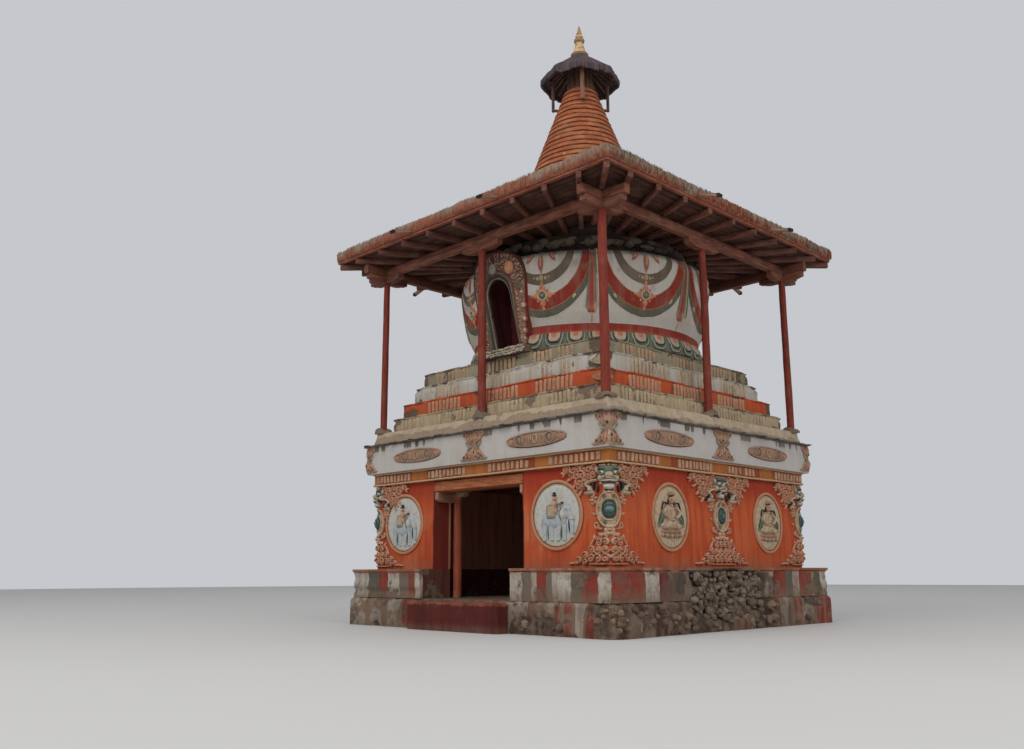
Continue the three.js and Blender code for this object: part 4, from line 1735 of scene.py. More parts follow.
@dataclass
class Plinth:
    """Striped plinth of the walls, open at the doorway, with a thin ledge at its top."""

    half: float = 3.6
    thickness: float = 0.8
    ledge: float = 0.03
    cell: float = 0.04
    replaced: tuple[str, ...] = ("plinth_front_left", "plinth_front_right", "plinth_back", "plinth_left",
                                 "plinth_right")

    def relief(self, points: Array) -> Array:
        """Plaster swell, fallen patches, chips of the ledge and the broken place.

        Args:
            points: points of the surface.

        Returns:
            How far each point moves outwards, in metres.
        """
        fallen = ease(rough(points, 0.7, 4, 51), 0.13, 0.17)
        lower = points[..., 2] < PLINTH_TOP - 0.06
        near, _ = cobbles(points, 0.14, 33)
        stony = 0.03 * (1.0 - ease(near, 0.2, 0.7)) - 0.035
        chips = ease(rough(points, 0.38, 4, 55), 0.0, 0.14) * ~lower
        gone = broken(points, 0.12) * (points[..., 2] < 1.1)
        return swell(points, 14, 1.3) + fallen * lower * stony - 0.06 * chips + gone

    def build(self) -> None:
        """Makes the plinth as one wall round the building."""
        top = PLINTH_TOP
        outer = [(0.0, FLOOR_Z), (0.0, top - 0.055), (self.ledge, top - 0.045), (self.ledge, top - 0.008),
                 (self.ledge - 0.01, top)]
        wall = banked(SquarePath(self.half, 0.03), self.thickness, DOOR_RIGHT, 8.0 * self.half + DOOR_LEFT,
                      outer, self.cell, self.relief)
        grey, red, white = srgb(114, 102, 90), srgb(136, 52, 40), srgb(182, 172, 158)
        dark, green, light = srgb(104, 40, 34), srgb(88, 90, 78), srgb(164, 150, 132)
        front = ((-3.6, white), (-3.09, green), (-2.72, red), (-2.4, white), (-2.03, grey), (-1.74, red),
                 (-1.52, white), (1.45, grey), (1.69, light), (1.84, red), (2.06, grey), (2.2, white),
                 (2.63, green), (2.85, red), (3.21, white), (3.5, red))
        right = ((-3.6, red), (-2.79, white), (-2.41, dark), (-2.03, green), (-1.35, grey), (0.3, dark),
                 (0.75, white), (0.83, green), (1.09, light), (1.4, red), (1.87, green), (2.16, light),
                 (2.4, red), (2.9, light), (3.02, green), (3.33, white))
        wash = StripedWash("striped_plaster", white, srgb(124, 102, 86), mud=srgb(128, 106, 88),
                           streak=0.25, stained=0.45, bare=0.585, patch_size=0.45, grain=0.008, front=front,
                           right=right, half=self.half)
        Piece("striped_plinth", [wall], [wash], "striped_plaster", self.replaced)


@dataclass
class ChamberWalls:
    """Orange walls of the chamber, open at the doorway, and the doorway's beam and columns."""

    half: float = 3.25
    thickness: float = 0.45
    cell: float = 0.05
    replaced: tuple[str, ...] = ("front_wall_left", "front_wall_right", "back_wall",
                                 "left_wall", "right_wall")
    beam_foot: float = 2.679
    column_x: tuple[float, float] = (-1.262, 1.08)
    column_y: float = -2.69
    column_radius: float = 0.088

    def build(self) -> None:
        """Makes the walls, the beam and the columns."""
        outer = [(0.0, PLINTH_TOP), (0.0, WALL_TOP)]
        wall = banked(SquarePath(self.half, 0.04), self.thickness, DOOR_RIGHT, 8.0 * self.half + DOOR_LEFT,
                      outer, self.cell, partial(swell, seed=24, strength=0.9))
        wash = WallWash("orange_lime_wash", srgb(182, 76, 40), srgb(150, 54, 30), srgb(150, 84, 56),
                        streak=0.45, stained=0.3, bare=0.7, grain=0.004)
        Piece("chamber_walls", [wall], [wash], "orange_lime_wash", self.replaced)
        self.beam()
        self.columns()

    def beam(self) -> None:
        """Beam over the doorway, a broad hewn timber, and a pale bolster under each of its ends."""
        z = 0.5 * (self.beam_foot + WALL_TOP)
        start, end = (DOOR_LEFT, -3.025, z), (DOOR_RIGHT, -3.025, z)
        beam = timber(start, end, 0.45, WALL_TOP - self.beam_foot - 0.004, 31, 0.012, 30)
        surfaces = [beam]
        for x, seed in ((DOOR_LEFT + 0.052, 33), (DOOR_RIGHT - 0.052, 34)):
            arm = Side.RIGHT.turned(bracket(0.5, 0.1, 0.2, 0.15, seed, 0.3)).tinted(1)
            surfaces.append(arm.moved(x, -2.985, self.beam_foot + 0.004))
        paint = Timber("ochre_timber", srgb(178, 108, 68), srgb(136, 72, 44), srgb(164, 120, 84), 0.4)
        pale = Timber("jamb_bolster", srgb(178, 138, 112), srgb(128, 84, 66), srgb(176, 150, 126), 0.4)
        Piece("door_lintel", surfaces, [paint, pale], "ochre_timber", ("door_beam",))

    def columns(self) -> None:
        """Round columns inside the jambs, each with a pale bolster below the beam."""
        for name, x, seed in (("left", self.column_x[0], 3), ("right", self.column_x[1], 4)):
            line = np.array([(x, self.column_y, z) for z in np.linspace(FLOOR_Z, WALL_TOP - 0.004, 10)])
            shaft = rod(line, self.column_radius, seed)
            head = bracket(0.56, 0.16, 0.15, 0.085, seed).tinted(1)
            head = head.moved(x, self.column_y, self.beam_foot + 0.07)
            paint = Timber("column_red", srgb(176, 92, 62), srgb(122, 60, 44), srgb(170, 122, 92), 0.45)
            pale = Timber("column_bolster", srgb(184, 154, 124), srgb(130, 100, 80), srgb(150, 110, 84), 0.3)
            Piece(f"door_column_{name}_turned", [shaft, head], [paint, pale], "red_timber",
                  (f"door_column_{name}",))


def bracket(length: float, width: float, height: float, tip: float, seed: int, cut: float = 0.33) -> Surface:
    """A bolster whose lower side curves up to its ends; it hangs below its own origin.

    The outline across it is flat above, and below it is drawn up from the full height to the tip's height
    by a smooth step over the outer third. It is carried across the width with drawn-in edges.

    Args:
        length, width, height: of the bolster.
        tip: height of its ends.
        seed: picks the grain.
        cut: share of the half length that the curve takes up.

    Returns:
        The bolster, with the fields "run", "girth" and "tone".
    """
    x = np.linspace(-0.5, 0.5, 23)
    lower = height + (tip - height) * ease(np.abs(x), 0.5 * (1.0 - cut), 0.5)
    outline = np.concatenate([vectors(x * length, 0.0), vectors(x[::-1] * length, -lower[::-1])])
    rows = np.array([(-0.5, 0.97), (-0.42, 1.0), (0.0, 1.0), (0.42, 1.0), (0.5, 0.97)])[:, None]
    middle = np.array([0.0, -0.5 * height])
    points = upright(middle + (outline - middle) * rows[..., 1:2], rows[..., 0] * width)
    tone = float(hashed(np.array([seed, 5, 1]), 8))
    girth = points[..., 1] + points[..., 2]
    return Surface(points, fields={"run": points[..., 0] + seed, "girth": girth, "tone": tone})


@dataclass
class BarGroups:
    """Rows of upright relief bars set in groups along the sides of a course."""

    path: SquarePath
    front: Pairs
    right: Pairs
    middle: float
    height: float
    spacing: float = 0.108
    width: float = 0.08
    depth: float = 0.03

    def surfaces(self, seed: int, missing: float = 0.06) -> list[Surface]:
        """Bars of all four sides; the back repeats the front and the left repeats the right.

        Args:
            seed: makes sizes and the missing bars repeatable.
            missing: share of bars that have fallen off.

        Returns:
            The bars, and on each a shoulder and a foot that stand out a little more.
        """
        rng = np.random.default_rng(seed)
        spots = []
        for side in Side:
            groups = self.front if side in (Side.FRONT, Side.BACK) else self.right
            for low, high in groups:
                count = max(2, round((high - low) / self.spacing))
                spots.append(side.value * 2.0 * self.path.half + np.linspace(low, high, count))
        s = np.concatenate(spots)
        s = s[rng.random(len(s)) > missing]
        bar = tablet(self.width, self.height, self.depth)
        size = vectors(rng.uniform(0.72, 1.15, len(s)), rng.uniform(0.6, 1.2, len(s)),
                       rng.uniform(0.9, 1.04, len(s)))
        lean = rng.uniform(-0.08, 0.08, len(s))
        points = bar.points * size[:, None, None, :]
        points[..., 0] += lean[:, None, None] * points[..., 2]
        up = self.middle + rng.uniform(-0.006, 0.006, len(s))
        dirt = {"tone": rng.random((len(s), 1, 1)) ** 2}
        shoulder = knob(0.0, 0.24 * self.height, 0.8 * self.width, 0.3 * self.height, 1.3 * self.depth, 8, 3)
        foot = knob(0.0, -0.3 * self.height, 0.75 * self.width, 0.26 * self.height, 1.25 * self.depth, 8, 3)
        return [self.path.bent(Surface(points, fields=dirt), s, up), self.path.bent(shoulder, s, up),
                self.path.bent(foot, s, up)]


@dataclass
class OchreBand:
    """Ochre band between two thin ledges, with groups of relief bars."""

    half: float = 3.32
    foot: float = WALL_TOP
    top: float = 3.173

    def build(self) -> None:
        """Makes the band, which is also the chamber's ceiling, and its bars."""
        path = SquarePath(self.half, 0.02)
        foot, top = self.foot, self.top
        outer = [(0.018, foot), (0.03, foot + 0.01), (0.026, foot + 0.034), (0.0, foot + 0.042),
                 (0.0, top - 0.042), (0.026, top - 0.034), (0.03, top - 0.008), (0.012, top)]
        body = course(path, outer, 0.04, partial(swell, seed=61, strength=0.35), 0.6)
        wash = BandWash("ochre_plaster", srgb(172, 106, 54), srgb(140, 78, 44), srgb(134, 98, 70),
                        streak=0.45, stained=0.25, bare=0.72, grain=0.003)
        Piece("ochre_band_plaster", [body], [wash], "ochre_plaster", ("ochre_band",))
        bars = BarGroups(path, ((-3.16, -2.11), (-1.43, -0.38), (0.37, 1.37), (1.98, 3.09)),
                         ((-3.05, -1.96), (-1.28, -0.23), (0.41, 1.41), (2.2, 3.2)), 3.04, 0.158)
        paint = CarvedPaint("bar_ochre", srgb(190, 138, 104), srgb(100, 54, 34))
        Piece("ochre_band_bars", bars.surfaces(71, 0.02), [paint], "ochre_plaster")
        cream = CarvedPaint("ledge_cream", srgb(190, 154, 118), srgb(120, 76, 50))
        Piece("ochre_band_ledges", self.ledges(path), [cream], "ochre_plaster")

    def ledges(self, path: SquarePath) -> list[Surface]:
        """Wavy cream lips along both ledges: an oval section carried round the square.

        Args:
            path: the square that it follows.

        Returns:
            The two lips.
        """
        s = path.steps(0.06)[:, None]
        turn = (np.arange(8) + 0.5) * TURN / 8
        made = []
        for up, seed in ((self.foot + 0.022, 1), (self.top - 0.014, 2)):
            wave = 0.01 * rough(path.at(s, up, 0.0), 0.5, 3, 300 + seed)
            points = path.at(s, up + wave + 0.017 * np.sin(turn), 0.024 + 0.014 * np.cos(turn))
            made.append(Surface(points, loop=True))
        return made


@dataclass
class Frieze:
    """White frieze with long plaques and waisted plaques in relief."""

    half: float = 3.44
    foot: float = 3.173
    top: float = 3.773
    long_places: tuple[float, float] = (-1.71, 1.72)

    def build(self) -> None:
        """Makes the frieze and its reliefs, which are dusty all over."""
        path = SquarePath(self.half, 0.03)
        outer = [(0.0, self.foot), (0.004, self.foot + 0.05), (0.0, self.top)]
        body = course(path, outer, 0.05, partial(swell, seed=81, strength=0.6), 0.5)
        wash = FriezeWash("white_lime_wash", srgb(187, 181, 175), srgb(174, 164, 152), srgb(158, 142, 126),
                          streak=0.3, stained=0.3, bare=0.72)
        Piece("frieze_plaster", [body], [wash], "white_lime_wash", ("white_frieze",))
        sides = np.arange(4) * 2.0 * self.half
        corners = sides + self.half
        long = np.concatenate([sides + place for place in self.long_places])
        surfaces = placed(path, self.long_plaque(), long, 3.46)
        surfaces += placed(path, self.waisted_plaque(), np.concatenate([sides + 0.04, corners]), 3.49)
        Piece("frieze_reliefs", [surface.marked(tone=0.45) for surface in surfaces], CARVED, "cream_plaster")

    def long_plaque(self) -> list[Surface]:
        """A pointed plaque: orange tips, a grey-green boss at each end, flutes between and a dark line under
        it as painted shadow.

        Returns:
            The reliefs about the plaque's middle.
        """
        t = np.linspace(0.0, 1.0, 33)
        line = vectors(1.5 * (t - 0.5), 0.0)
        wide = 0.02 + 0.245 * np.sin(np.pi * t) ** 0.48
        shapes = hued(Hue.CLAY, swept(line, wide, 0.026))
        for sign in (1.0, -1.0):
            rim = vectors(line[:, 0], sign * 0.47 * wide)
            shapes += hued(Hue.CLAY, swept(rim, 0.03, 0.038))
        # Painted shadow: a thin dark strip along the plaque's lower edge.
        under = vectors(line[:, 0], -0.5 * wide - 0.016)
        shapes += hued(Hue.DARK, swept(under, 0.012, 0.01))
        shapes += hued(Hue.PEACH, *pair(leaf(0.71, 0.0, 0.15, 0.1, 180.0, 0.0, 0.042)))
        for x in (-0.4, 0.36):
            shapes += hued(Hue.TAN, knob(x, 0.0, 0.15, 0.16, 0.05))
            shapes += hued(Hue.GREEN,
                           *[leaf(x + 0.036 * k, -0.07, 0.14, 0.026, 90.0, 0.0, 0.06, 6) for k in (-1, 0, 1)])
            shapes += hued(Hue.CLAY, ring(x, 0.0, 0.095, 0.095, 0.03, 0.05, 18))
        shapes += hued(Hue.CREAM, ring(0.0, 0.0, 0.05, 0.075, 0.024, 0.05, 18))
        shapes += hued(Hue.TAN,
            *pair(*[knob(0.115 + 0.052 * k, 0.0, 0.036, 0.16, 0.042, 8, 4, 0.6) for k in range(3)]))
        return shapes + hued(Hue.CLAY, *pair(curl(0.56, 0.035, 0.045, 0.0, 1.2, 0.045, 0.5, 12),
                                             curl(0.56, -0.045, 0.04, 0.0, -1.2, 0.045, 0.5, 12)))

    def waisted_plaque(self) -> list[Surface]:
        """An hourglass of tongues and curls above and below a waist with green leaves and pale edges.

        Returns:
            The reliefs about the plaque's middle.
        """
        t = np.linspace(0.0, 1.0, 25)
        wide = 0.17 + 0.5 * np.abs(2.0 * t - 1.0) ** 1.5
        line = vectors(0.0, 0.575 * (t - 0.5))
        shapes = hued(Hue.CLAY, swept(line, wide, 0.022, 10))
        for k in range(-3, 4):
            x = 0.05 * k
            shapes += hued(Hue.PEACH if k % 2 else Hue.CLAY,
                           leaf(0.8 * x, 0.05, 0.21, 0.07, 90.0 - 12.0 * k, 0.0, 0.046),
                           leaf(0.8 * x, -0.06, 0.2, 0.07, -90.0 + 14.0 * k, 0.0, 0.046))
        curls = [curl(0.235, 0.23, 0.06, 180.0, 1.4, 0.055, 0.5, 14),
                 curl(0.1, 0.245, 0.045, 0.0, -1.3, 0.06, 0.5, 14),
                 curl(0.245, -0.235, 0.06, 180.0, -1.4, 0.055, 0.5, 14),
                 curl(0.12, -0.235, 0.045, 0.0, 1.3, 0.06, 0.5, 14),
                 leaf(0.26, -0.265, 0.13, 0.05, 0.0, 10.0, 0.04),
                 leaf(0.1, 0.09, 0.15, 0.05, 50.0, -40.0, 0.055)]
        shapes += hued(Hue.CLAY, *pair(*curls))
        shapes += hued(Hue.GREEN, *pair(leaf(0.07, 0.03, 0.16, 0.06, 35.0, 30.0, 0.055),
                                        leaf(0.08, -0.03, 0.13, 0.05, -30.0, -30.0, 0.052)))
        shapes += hued(Hue.CREAM, *pair(leaf(0.1, -0.02, 0.17, 0.028, 20.0, 50.0, 0.06)),
                       leaf(0.0, -0.2, 0.17, 0.035, 90.0, 0.0, 0.062))
        shapes += hued(Hue.DARK, knob(0.03, -0.13, 0.06, 0.08, 0.05, 8),
                       knob(-0.02, 0.09, 0.05, 0.06, 0.05, 8),
            *pair(knob(0.15, 0.16, 0.045, 0.045, 0.045, 8), knob(0.16, -0.16, 0.045, 0.045, 0.045, 8)))
        return shapes


@dataclass
class SlateCourse:
    """Thin course of rough slates that stands out over the frieze."""

    half: float = 3.51
    foot: float = 3.773
    top: float = 3.803

    def build(self) -> None:
        """Makes the bed and the slates: low slabs with seven-sided outlines that overlap along the edge."""
        path = SquarePath(self.half, 0.02)
        body = course(path, [(-0.07, self.foot), (-0.05, self.top)], 0.08, None, 0.5)
        mud = Plaster("slate_bed", srgb(124, 108, 92), srgb(100, 88, 76), bare=0.7)
        Piece("slate_bed_course", [body], [mud], "mud", ("slate_course",))
        rng = np.random.default_rng(91)
        count = 250
        s = np.linspace(0.0, 8.0 * self.half, count, endpoint=False) + rng.uniform(-0.05, 0.05, count)
        turn = np.arange(7) * TURN / 7
        rows = np.array([(-1.0, 0.9), (-0.6, 1.0), (0.6, 1.0), (1.0, 0.88)])
        radius = 1.0 + rng.uniform(-0.22, 0.22, (count, 1, 7))
        long = rng.uniform(0.08, 0.2, (count, 1, 1))
        deep = rng.uniform(0.1, 0.16, (count, 1, 1))
        x = long * radius * np.cos(turn) * rows[:, 1:2]
        y = deep * radius * np.sin(turn) * rows[:, 1:2] - 0.1 + rng.uniform(-0.02, 0.03, (count, 1, 1))
        thick = rng.uniform(0.007, 0.014, (count, 1, 1))
        tilt = rng.uniform(-0.05, 0.05, (count, 1, 1))
        z = thick * rows[:, 0:1] + tilt * x + 0.04 * y
        number = np.arange(count)
        tone = hashed(vectors(number, number, number), 93)
        slab = Surface(vectors(x, y, z), fields={"tone": tone[:, None, None]})
        up = self.foot + rng.uniform(0.006, 0.032, count)
        slate = Rock("slate", srgb(130, 122, 114), srgb(66, 60, 56))
        Piece("slates", [path.bent(slab, s, up)], [slate], "slate")


@dataclass
class MudLedge:
    """Sloping mud ledge over the slates, with lumps of mud round the feet of the posts."""

    half: float = 3.34
    foot: float = 3.803
    top: float = 4.086

    def build(self) -> None:
        """Makes the ledge and the lumps."""
        path = SquarePath(self.half, 0.06)
        outer = [(0.012, self.foot), (0.03, self.foot + 0.03), (-0.02, self.foot + 0.15),
                 (-0.05, self.top - 0.02), (-0.085, self.top)]
        body = course(path, outer, 0.04, partial(swell, seed=101, strength=1.5), 0.5)
        wash = LedgeWash("ledge_lime", srgb(186, 168, 142), srgb(160, 140, 116), srgb(140, 120, 100),
                         srgb(166, 144, 122), streak=0.35, bare=0.61, patch_size=0.6, grain=0.01)
        Piece("mud_ledge_plaster", [body], [wash], "mud", ("mud_ledge",))
        self.lumps()

    def lumps(self) -> None:
        """Mud packed round each post's foot: low uneven domes."""
        foot = self.top - 0.02
        places = np.array([(x, y, foot) for x, y in product((-3.2, 0.0, 3.2), repeat=2) if x or y])
        v = np.linspace(0.0, 0.5 * math.pi * 0.97, 9)[:, None]
        angle = np.arange(26) * TURN / 26
        radius = 0.2 * np.cos(v) ** 0.8
        lump = vectors(radius * np.cos(angle), radius * np.sin(angle), 0.12 * np.sin(v))
        made = places[:, None, None] + lump
        made[..., 2] += 0.1 * np.maximum(rough(made, 0.16, 3, 111), -0.2)
        made[..., :2] = np.clip(made[..., :2], -3.35, 3.35)
        mud = Plaster("post_mud", srgb(126, 108, 92), srgb(104, 90, 76), bare=0.68, grain=0.01)
        Piece("post_foot_mud", [Surface(made)], [mud], "mud")


@dataclass
class Tier:
    """One step of the tiers: a plastered course with a thin ledge, relief bars and corner leaves."""

    name: str
    half: float
    foot: float
    top: float
    wash: Plaster
    slot: str
    front: Pairs
    right: Pairs
    seed: int
    leaves: bool = True
    bars: Colour = srgb(166, 138, 106)

    def build(self) -> None:
        """Makes the course, its bars and the leaf that wraps its front right corner."""
        path = SquarePath(self.half, 0.03)
        top = self.top
        outer = [(0.0, self.foot), (0.0, top - 0.04), (0.018, top - 0.03), (0.02, top - 0.01), (0.0, top)]
        body = course(path, outer, 0.04, self.relief, 0.45)
        Piece(f"{self.name}_plaster", [body], [self.wash], self.slot, (self.name,))
        middle = 0.5 * (self.foot + top) - 0.012
        bars = BarGroups(path, self.front, self.right, middle, top - self.foot - 0.075, 0.102, 0.082, 0.026)
        # The bars' darker colour fills their hollows, as dirt and as painted shade.
        dirty = scaled(self.bars, 0.34)
        surfaces = bars.surfaces(self.seed + 1, 0.09)
        if self.leaves:
            surfaces += placed(path, self.corner_leaf(), np.array([self.half]), middle)
        paint = CarvedPaint(f"{self.name}_bar", self.bars, dirty)
        Piece(f"{self.name}_reliefs", surfaces, [paint], "cream_plaster")

    def corner_leaf(self) -> list[Surface]:
        """A low pointed lens wrapped on the corner in the bars' colour, with a thin rim.

        Returns:
            The reliefs about the corner.
        """
        t = np.linspace(0.0, 1.0, 21)
        x = 0.5 * (t - 0.5)
        wide = 0.02 + 0.15 * np.sin(np.pi * t) ** 0.8
        line = vectors(x, 0.0)
        rims = [swept(vectors(x, sign * 0.5 * wide), 0.018, 0.016) for sign in (1.0, -1.0)]
        shapes = [swept(line, wide, 0.009), *rims, *pair(knob(0.11, 0.0, 0.07, 0.06, 0.02, 8))]
        return [shape.marked(tone=0.6) for shape in shapes]

    def relief(self, points: Array) -> Array:
        """Plaster swell, chips along the upper edge and worn corners.

        Args:
            points: points of the surface.

        Returns:
            How far each point moves outwards, in metres.
        """
        edge = ease(points[..., 2], self.top - 0.12, self.top - 0.04)
        chips = ease(rough(points, 0.3, 4, self.seed + 5), 0.02, 0.16) * edge
        corner = ease(np.minimum(np.abs(points[..., 0]), np.abs(points[..., 1])), self.half - 0.4, self.half)
        worn = corner * (0.035 + 0.05 * np.maximum(rough(points, 0.22, 4, self.seed + 7), -0.4))
        return swell(points, self.seed, 1.4) - 0.045 * chips - worn


def tiers() -> list[Tier]:
    """The four tiers from the lowest up, with the groups of bars of their front and right sides.

    Returns:
        The tiers in order.
    """
    cream = TierWash("cream_plaster", srgb(176, 156, 128), srgb(148, 128, 102), srgb(128, 106, 86),
                     stained=0.5, mud=srgb(132, 112, 94), bare=0.575, patch_size=0.55, half=3.085, top=4.4)
    orange = TierWash("tier_orange_plaster", srgb(180, 80, 44), srgb(150, 60, 36),
                      srgb(140, 100, 74), streak=0.45, bare=0.6, patch_size=0.6, half=2.917, top=4.729)
    white = TierWash("tier_white_wash", srgb(184, 178, 168), srgb(164, 150, 130),
                     srgb(140, 122, 102), stained=0.5, bare=0.61, patch_size=0.6, half=2.754, top=5.099)
    green = TierWash("grey_green_plaster", srgb(148, 137, 114), srgb(130, 114, 94),
                     srgb(114, 96, 78), stained=0.5, bare=0.6, patch_size=0.6, half=2.583, top=5.414)
    return [
        Tier("tier_cream", 3.085, 4.086, 4.4, cream, "cream_plaster",
             ((-2.66, -2.0), (-1.41, -0.29), (-0.05, 0.99), (1.47, 2.35)),
             ((-2.6, -1.62), (-1.21, -0.22), (0.28, 1.25), (1.75, 2.5)), 121, False, srgb(170, 148, 116)),
        Tier("tier_orange", 2.917, 4.4, 4.729, orange, "tier_orange_plaster",
             ((-1.95, -1.0), (-0.3, 0.71), (1.15, 2.15)), ((-2.15, -1.25), (-0.75, 0.13), (0.67, 1.72)), 131,
             True, srgb(178, 116, 80)),
        Tier("tier_white", 2.754, 4.729, 5.099, white, "white_lime_wash",
             ((-2.04, -1.2), (-0.5, 0.35), (0.94, 1.95)), ((-1.87, -0.82), (-0.35, 0.45), (1.2, 2.1)), 141,
             True, srgb(176, 154, 126)),
        Tier("tier_grey_green", 2.583, 5.099, 5.414, green, "grey_green_plaster",
             ((-2.05, -1.1), (-0.55, 0.3), (0.89, 1.88)), ((-1.9, -0.95), (-0.39, 0.55), (1.1, 2.0)), 151,
             False, srgb(164, 130, 96)),
    ]


@dataclass
class LotusRing:
    """Ring of hanging petals under the dome."""

    profile: Pairs = ((2.5, 5.414), (2.56, 5.47), (2.575, 5.61), (2.535, 5.7), (2.515, 5.765), (2.47, 5.785))
    count: int = 36
    phase: float = 6.5
    tongue_top: float = 5.76

    def shape(self, azimuth: Array, up: Array) -> Array:
        """1 on a tongue's outline and more beyond it: ((a/w)^3 + (d/h)^3)^(1/3), d the depth from the top."""
        share = (azimuth - self.phase) / 360.0 * self.count
        across = (share - np.round(share)) * 360.0 / self.count * math.radians(1.0) * 2.56
        depth = np.maximum(self.tongue_top - up, 0.0)
        return (np.abs(across / 0.125) ** 3 + (depth / 0.19) ** 3) ** (1.0 / 3.0)

    def relief(self, points: Array, angle: Array) -> Array:
        """Tongues stand out most, then the cup round them; nothing is left before the niche's opening.

        Args:
            points: points of the surface.
            angle: their angles about the axis.

        Returns:
            How far each point moves outwards, in metres.
        """
        e = self.shape(np.degrees(angle), points[..., 2])
        tongue = 0.035 * (1.0 - ease(e, 0.9, 1.02))
        cup = 0.026 * ease(e, 1.04, 1.14) * (1.0 - ease(e, 1.42, 1.55))
        opening = (np.abs(points[..., 0] - 0.08) < 0.5) & (points[..., 1] < 0.0) & (points[..., 2] > 5.52)
        return np.where(opening, -0.8, tongue + cup + 0.006 * rough(points, 0.2, 3, 161))

    def build(self) -> None:
        """Makes the ring with the field "petal", half of the outline number."""
        body = turned(self.profile, 0.016, self.count * 22, self.relief)
        azimuth = np.degrees(np.arctan2(body.points[..., 0], -body.points[..., 1])) % 360.0
        body.fields["petal"] = np.clip(0.5 * self.shape(azimuth, body.points[..., 2]), 0.0, 1.0)
        wash = PetalWash("lotus_plaster", srgb(92, 118, 98), srgb(120, 126, 108), bare=0.74, streak=0.3)
        Piece("lotus_petals", [body], [wash], "lotus_plaster", ("lotus_ring",))


@dataclass
class Dome:
    """White dome with painted swags, its niche recess, tassels and jewels."""

    niche_half: float = 0.53
    rim: float = 7.44
    swag_places: tuple[float, ...] = tuple(22.5 + 45.0 * k for k in range(8))
    niche_middle: float = 0.08

    def swag(self, points: Array) -> Array:
        """Share t of a swag's growth at each point.

        A swag is a family of ellipses about a point of the rim, half width 0.53 + 0.60 t and depth
        0.48 + 0.86 t. The t whose ellipse passes through the point is found by halving.

        Args:
            points: points of the surface.

        Returns:
            The share t for each point.
        """
        azimuth = np.degrees(np.arctan2(points[..., 0], -points[..., 1])) % 45.0
        across = np.radians(azimuth - 22.5) * 2.75
        depth = np.maximum(self.rim - points[..., 2], 0.0)
        low = np.full(across.shape, -0.5)
        high = np.full(across.shape, 2.0)
        for _ in range(22):
            t = 0.5 * (low + high)
            beyond = (across / (0.53 + 0.6 * t)) ** 2 + (depth / (0.48 + 0.86 * t)) ** 2 > 1.0
            low, high = np.where(beyond, t, low), np.where(beyond, high, t)
        return 0.5 * (low + high)

    def relief(self, points: Array, angle: Array) -> Array:
        """Plaster swell, the raised bands of the swags, and the recess behind the niche frame."""
        inside = (np.abs(points[..., 0] - self.niche_middle) < self.niche_half) & (points[..., 1] < 0.0)
        t = self.swag(points)
        lines = 0.012 * (ease(t, -0.02, 0.0) - ease(t, 0.25, 0.27) + ease(t, 0.51, 0.53) - ease(t, 1.0, 1.02))
        return np.where(inside & (points[..., 2] < 7.06), -0.8, lines + swell(points, 171, 0.6))

    def build(self) -> None:
        """Makes the dome with the field "swag" and everything that hangs on it."""
        body = turned([(2.45, 5.69), *DOME[:-1], (2.7, 7.425), (2.64, self.rim)], 0.035, 480, self.relief)
        body.fields["swag"] = np.clip(0.2 + 0.6 * self.swag(body.points), 0.0, 1.0)
        wash = DomeWash("dome_plaster", srgb(183, 176, 166), srgb(150, 138, 124),
                        srgb(152, 140, 124), streak=0.16, stained=0.2, bare=0.78)
        Piece("dome_plaster_shell", [body], [wash], "dome_plaster", ("dome",))
        path = RoundPath(DOME)
        swags = np.array(self.swag_places)
        hangings = np.array([45.0 * k for k in range(1, 8)])
        surfaces = placed(path, self.jewels(), swags, 0.0, 0.004)
        surfaces += placed(path, self.tassel(), hangings, 0.0, 0.004)
        Piece("dome_hangings", surfaces, CARVED, "cream_plaster")

    def jewels(self) -> list[Surface]:
        """Hangings in the disc, a bud on the grey ring and a cross-shaped jewel where white meets red.

        Returns:
            The reliefs about the swag's middle, at their heights on the dome.
        """
        shapes = hued(Hue.GREEN, knob(0.0, 7.4, 0.17, 0.1, 0.04, 12),
                      *pair(knob(0.29, 7.38, 0.1, 0.09, 0.03, 9)))
        shapes += hued(Hue.RED, leaf(0.0, 7.39, 0.4, 0.125, -90.0, 0.0, 0.03),
                       *pair(leaf(0.16, 7.4, 0.25, 0.1, -48.0, -12.0, 0.024)))
        shapes += hued(Hue.PEACH, leaf(0.0, 7.39, 0.33, 0.055, -90.0, 0.0, 0.038),
                       knob(0.0, 7.0, 0.05, 0.06, 0.03, 8),
                       *pair(leaf(0.18, 7.39, 0.18, 0.045, -46.0, -12.0, 0.03)))
        shapes += hued(Hue.TAN, knob(0.0, 6.88, 0.1, 0.14, 0.035, 10), knob(0.0, 6.78, 0.06, 0.07, 0.03, 8),
                       *pair(knob(0.085, 6.87, 0.07, 0.08, 0.03, 8), knob(0.155, 6.89, 0.05, 0.05, 0.025, 8)))
        z = 6.52
        shapes += hued(Hue.PEACH, knob(0.0, z + 0.14, 0.13, 0.15, 0.038),
                       knob(0.0, z - 0.15, 0.13, 0.15, 0.038),
                       *pair(knob(0.135, z, 0.14, 0.13, 0.038), knob(0.225, z + 0.01, 0.07, 0.06, 0.03, 8),
                             knob(0.1, z + 0.1, 0.07, 0.07, 0.03, 8),
                             knob(0.1, z - 0.1, 0.07, 0.07, 0.03, 8)),
                       knob(0.0, z + 0.245, 0.07, 0.09, 0.03, 8), knob(0.0, z - 0.255, 0.07, 0.09, 0.03, 8))
        shapes += hued(Hue.CREAM, ring(0.0, z, 0.09, 0.095, 0.04, 0.052, 16))
        shapes += hued(Hue.GREEN, knob(0.0, z, 0.12, 0.13, 0.05, 10))
        shapes += hued(Hue.CREAM, knob(0.0, z, 0.05, 0.055, 0.062, 8))
        shapes += hued(Hue.CREAM, *pair(leaf(0.6, 6.42, 0.14, 0.055, 42.0, 20.0, 0.025)))
        return shapes

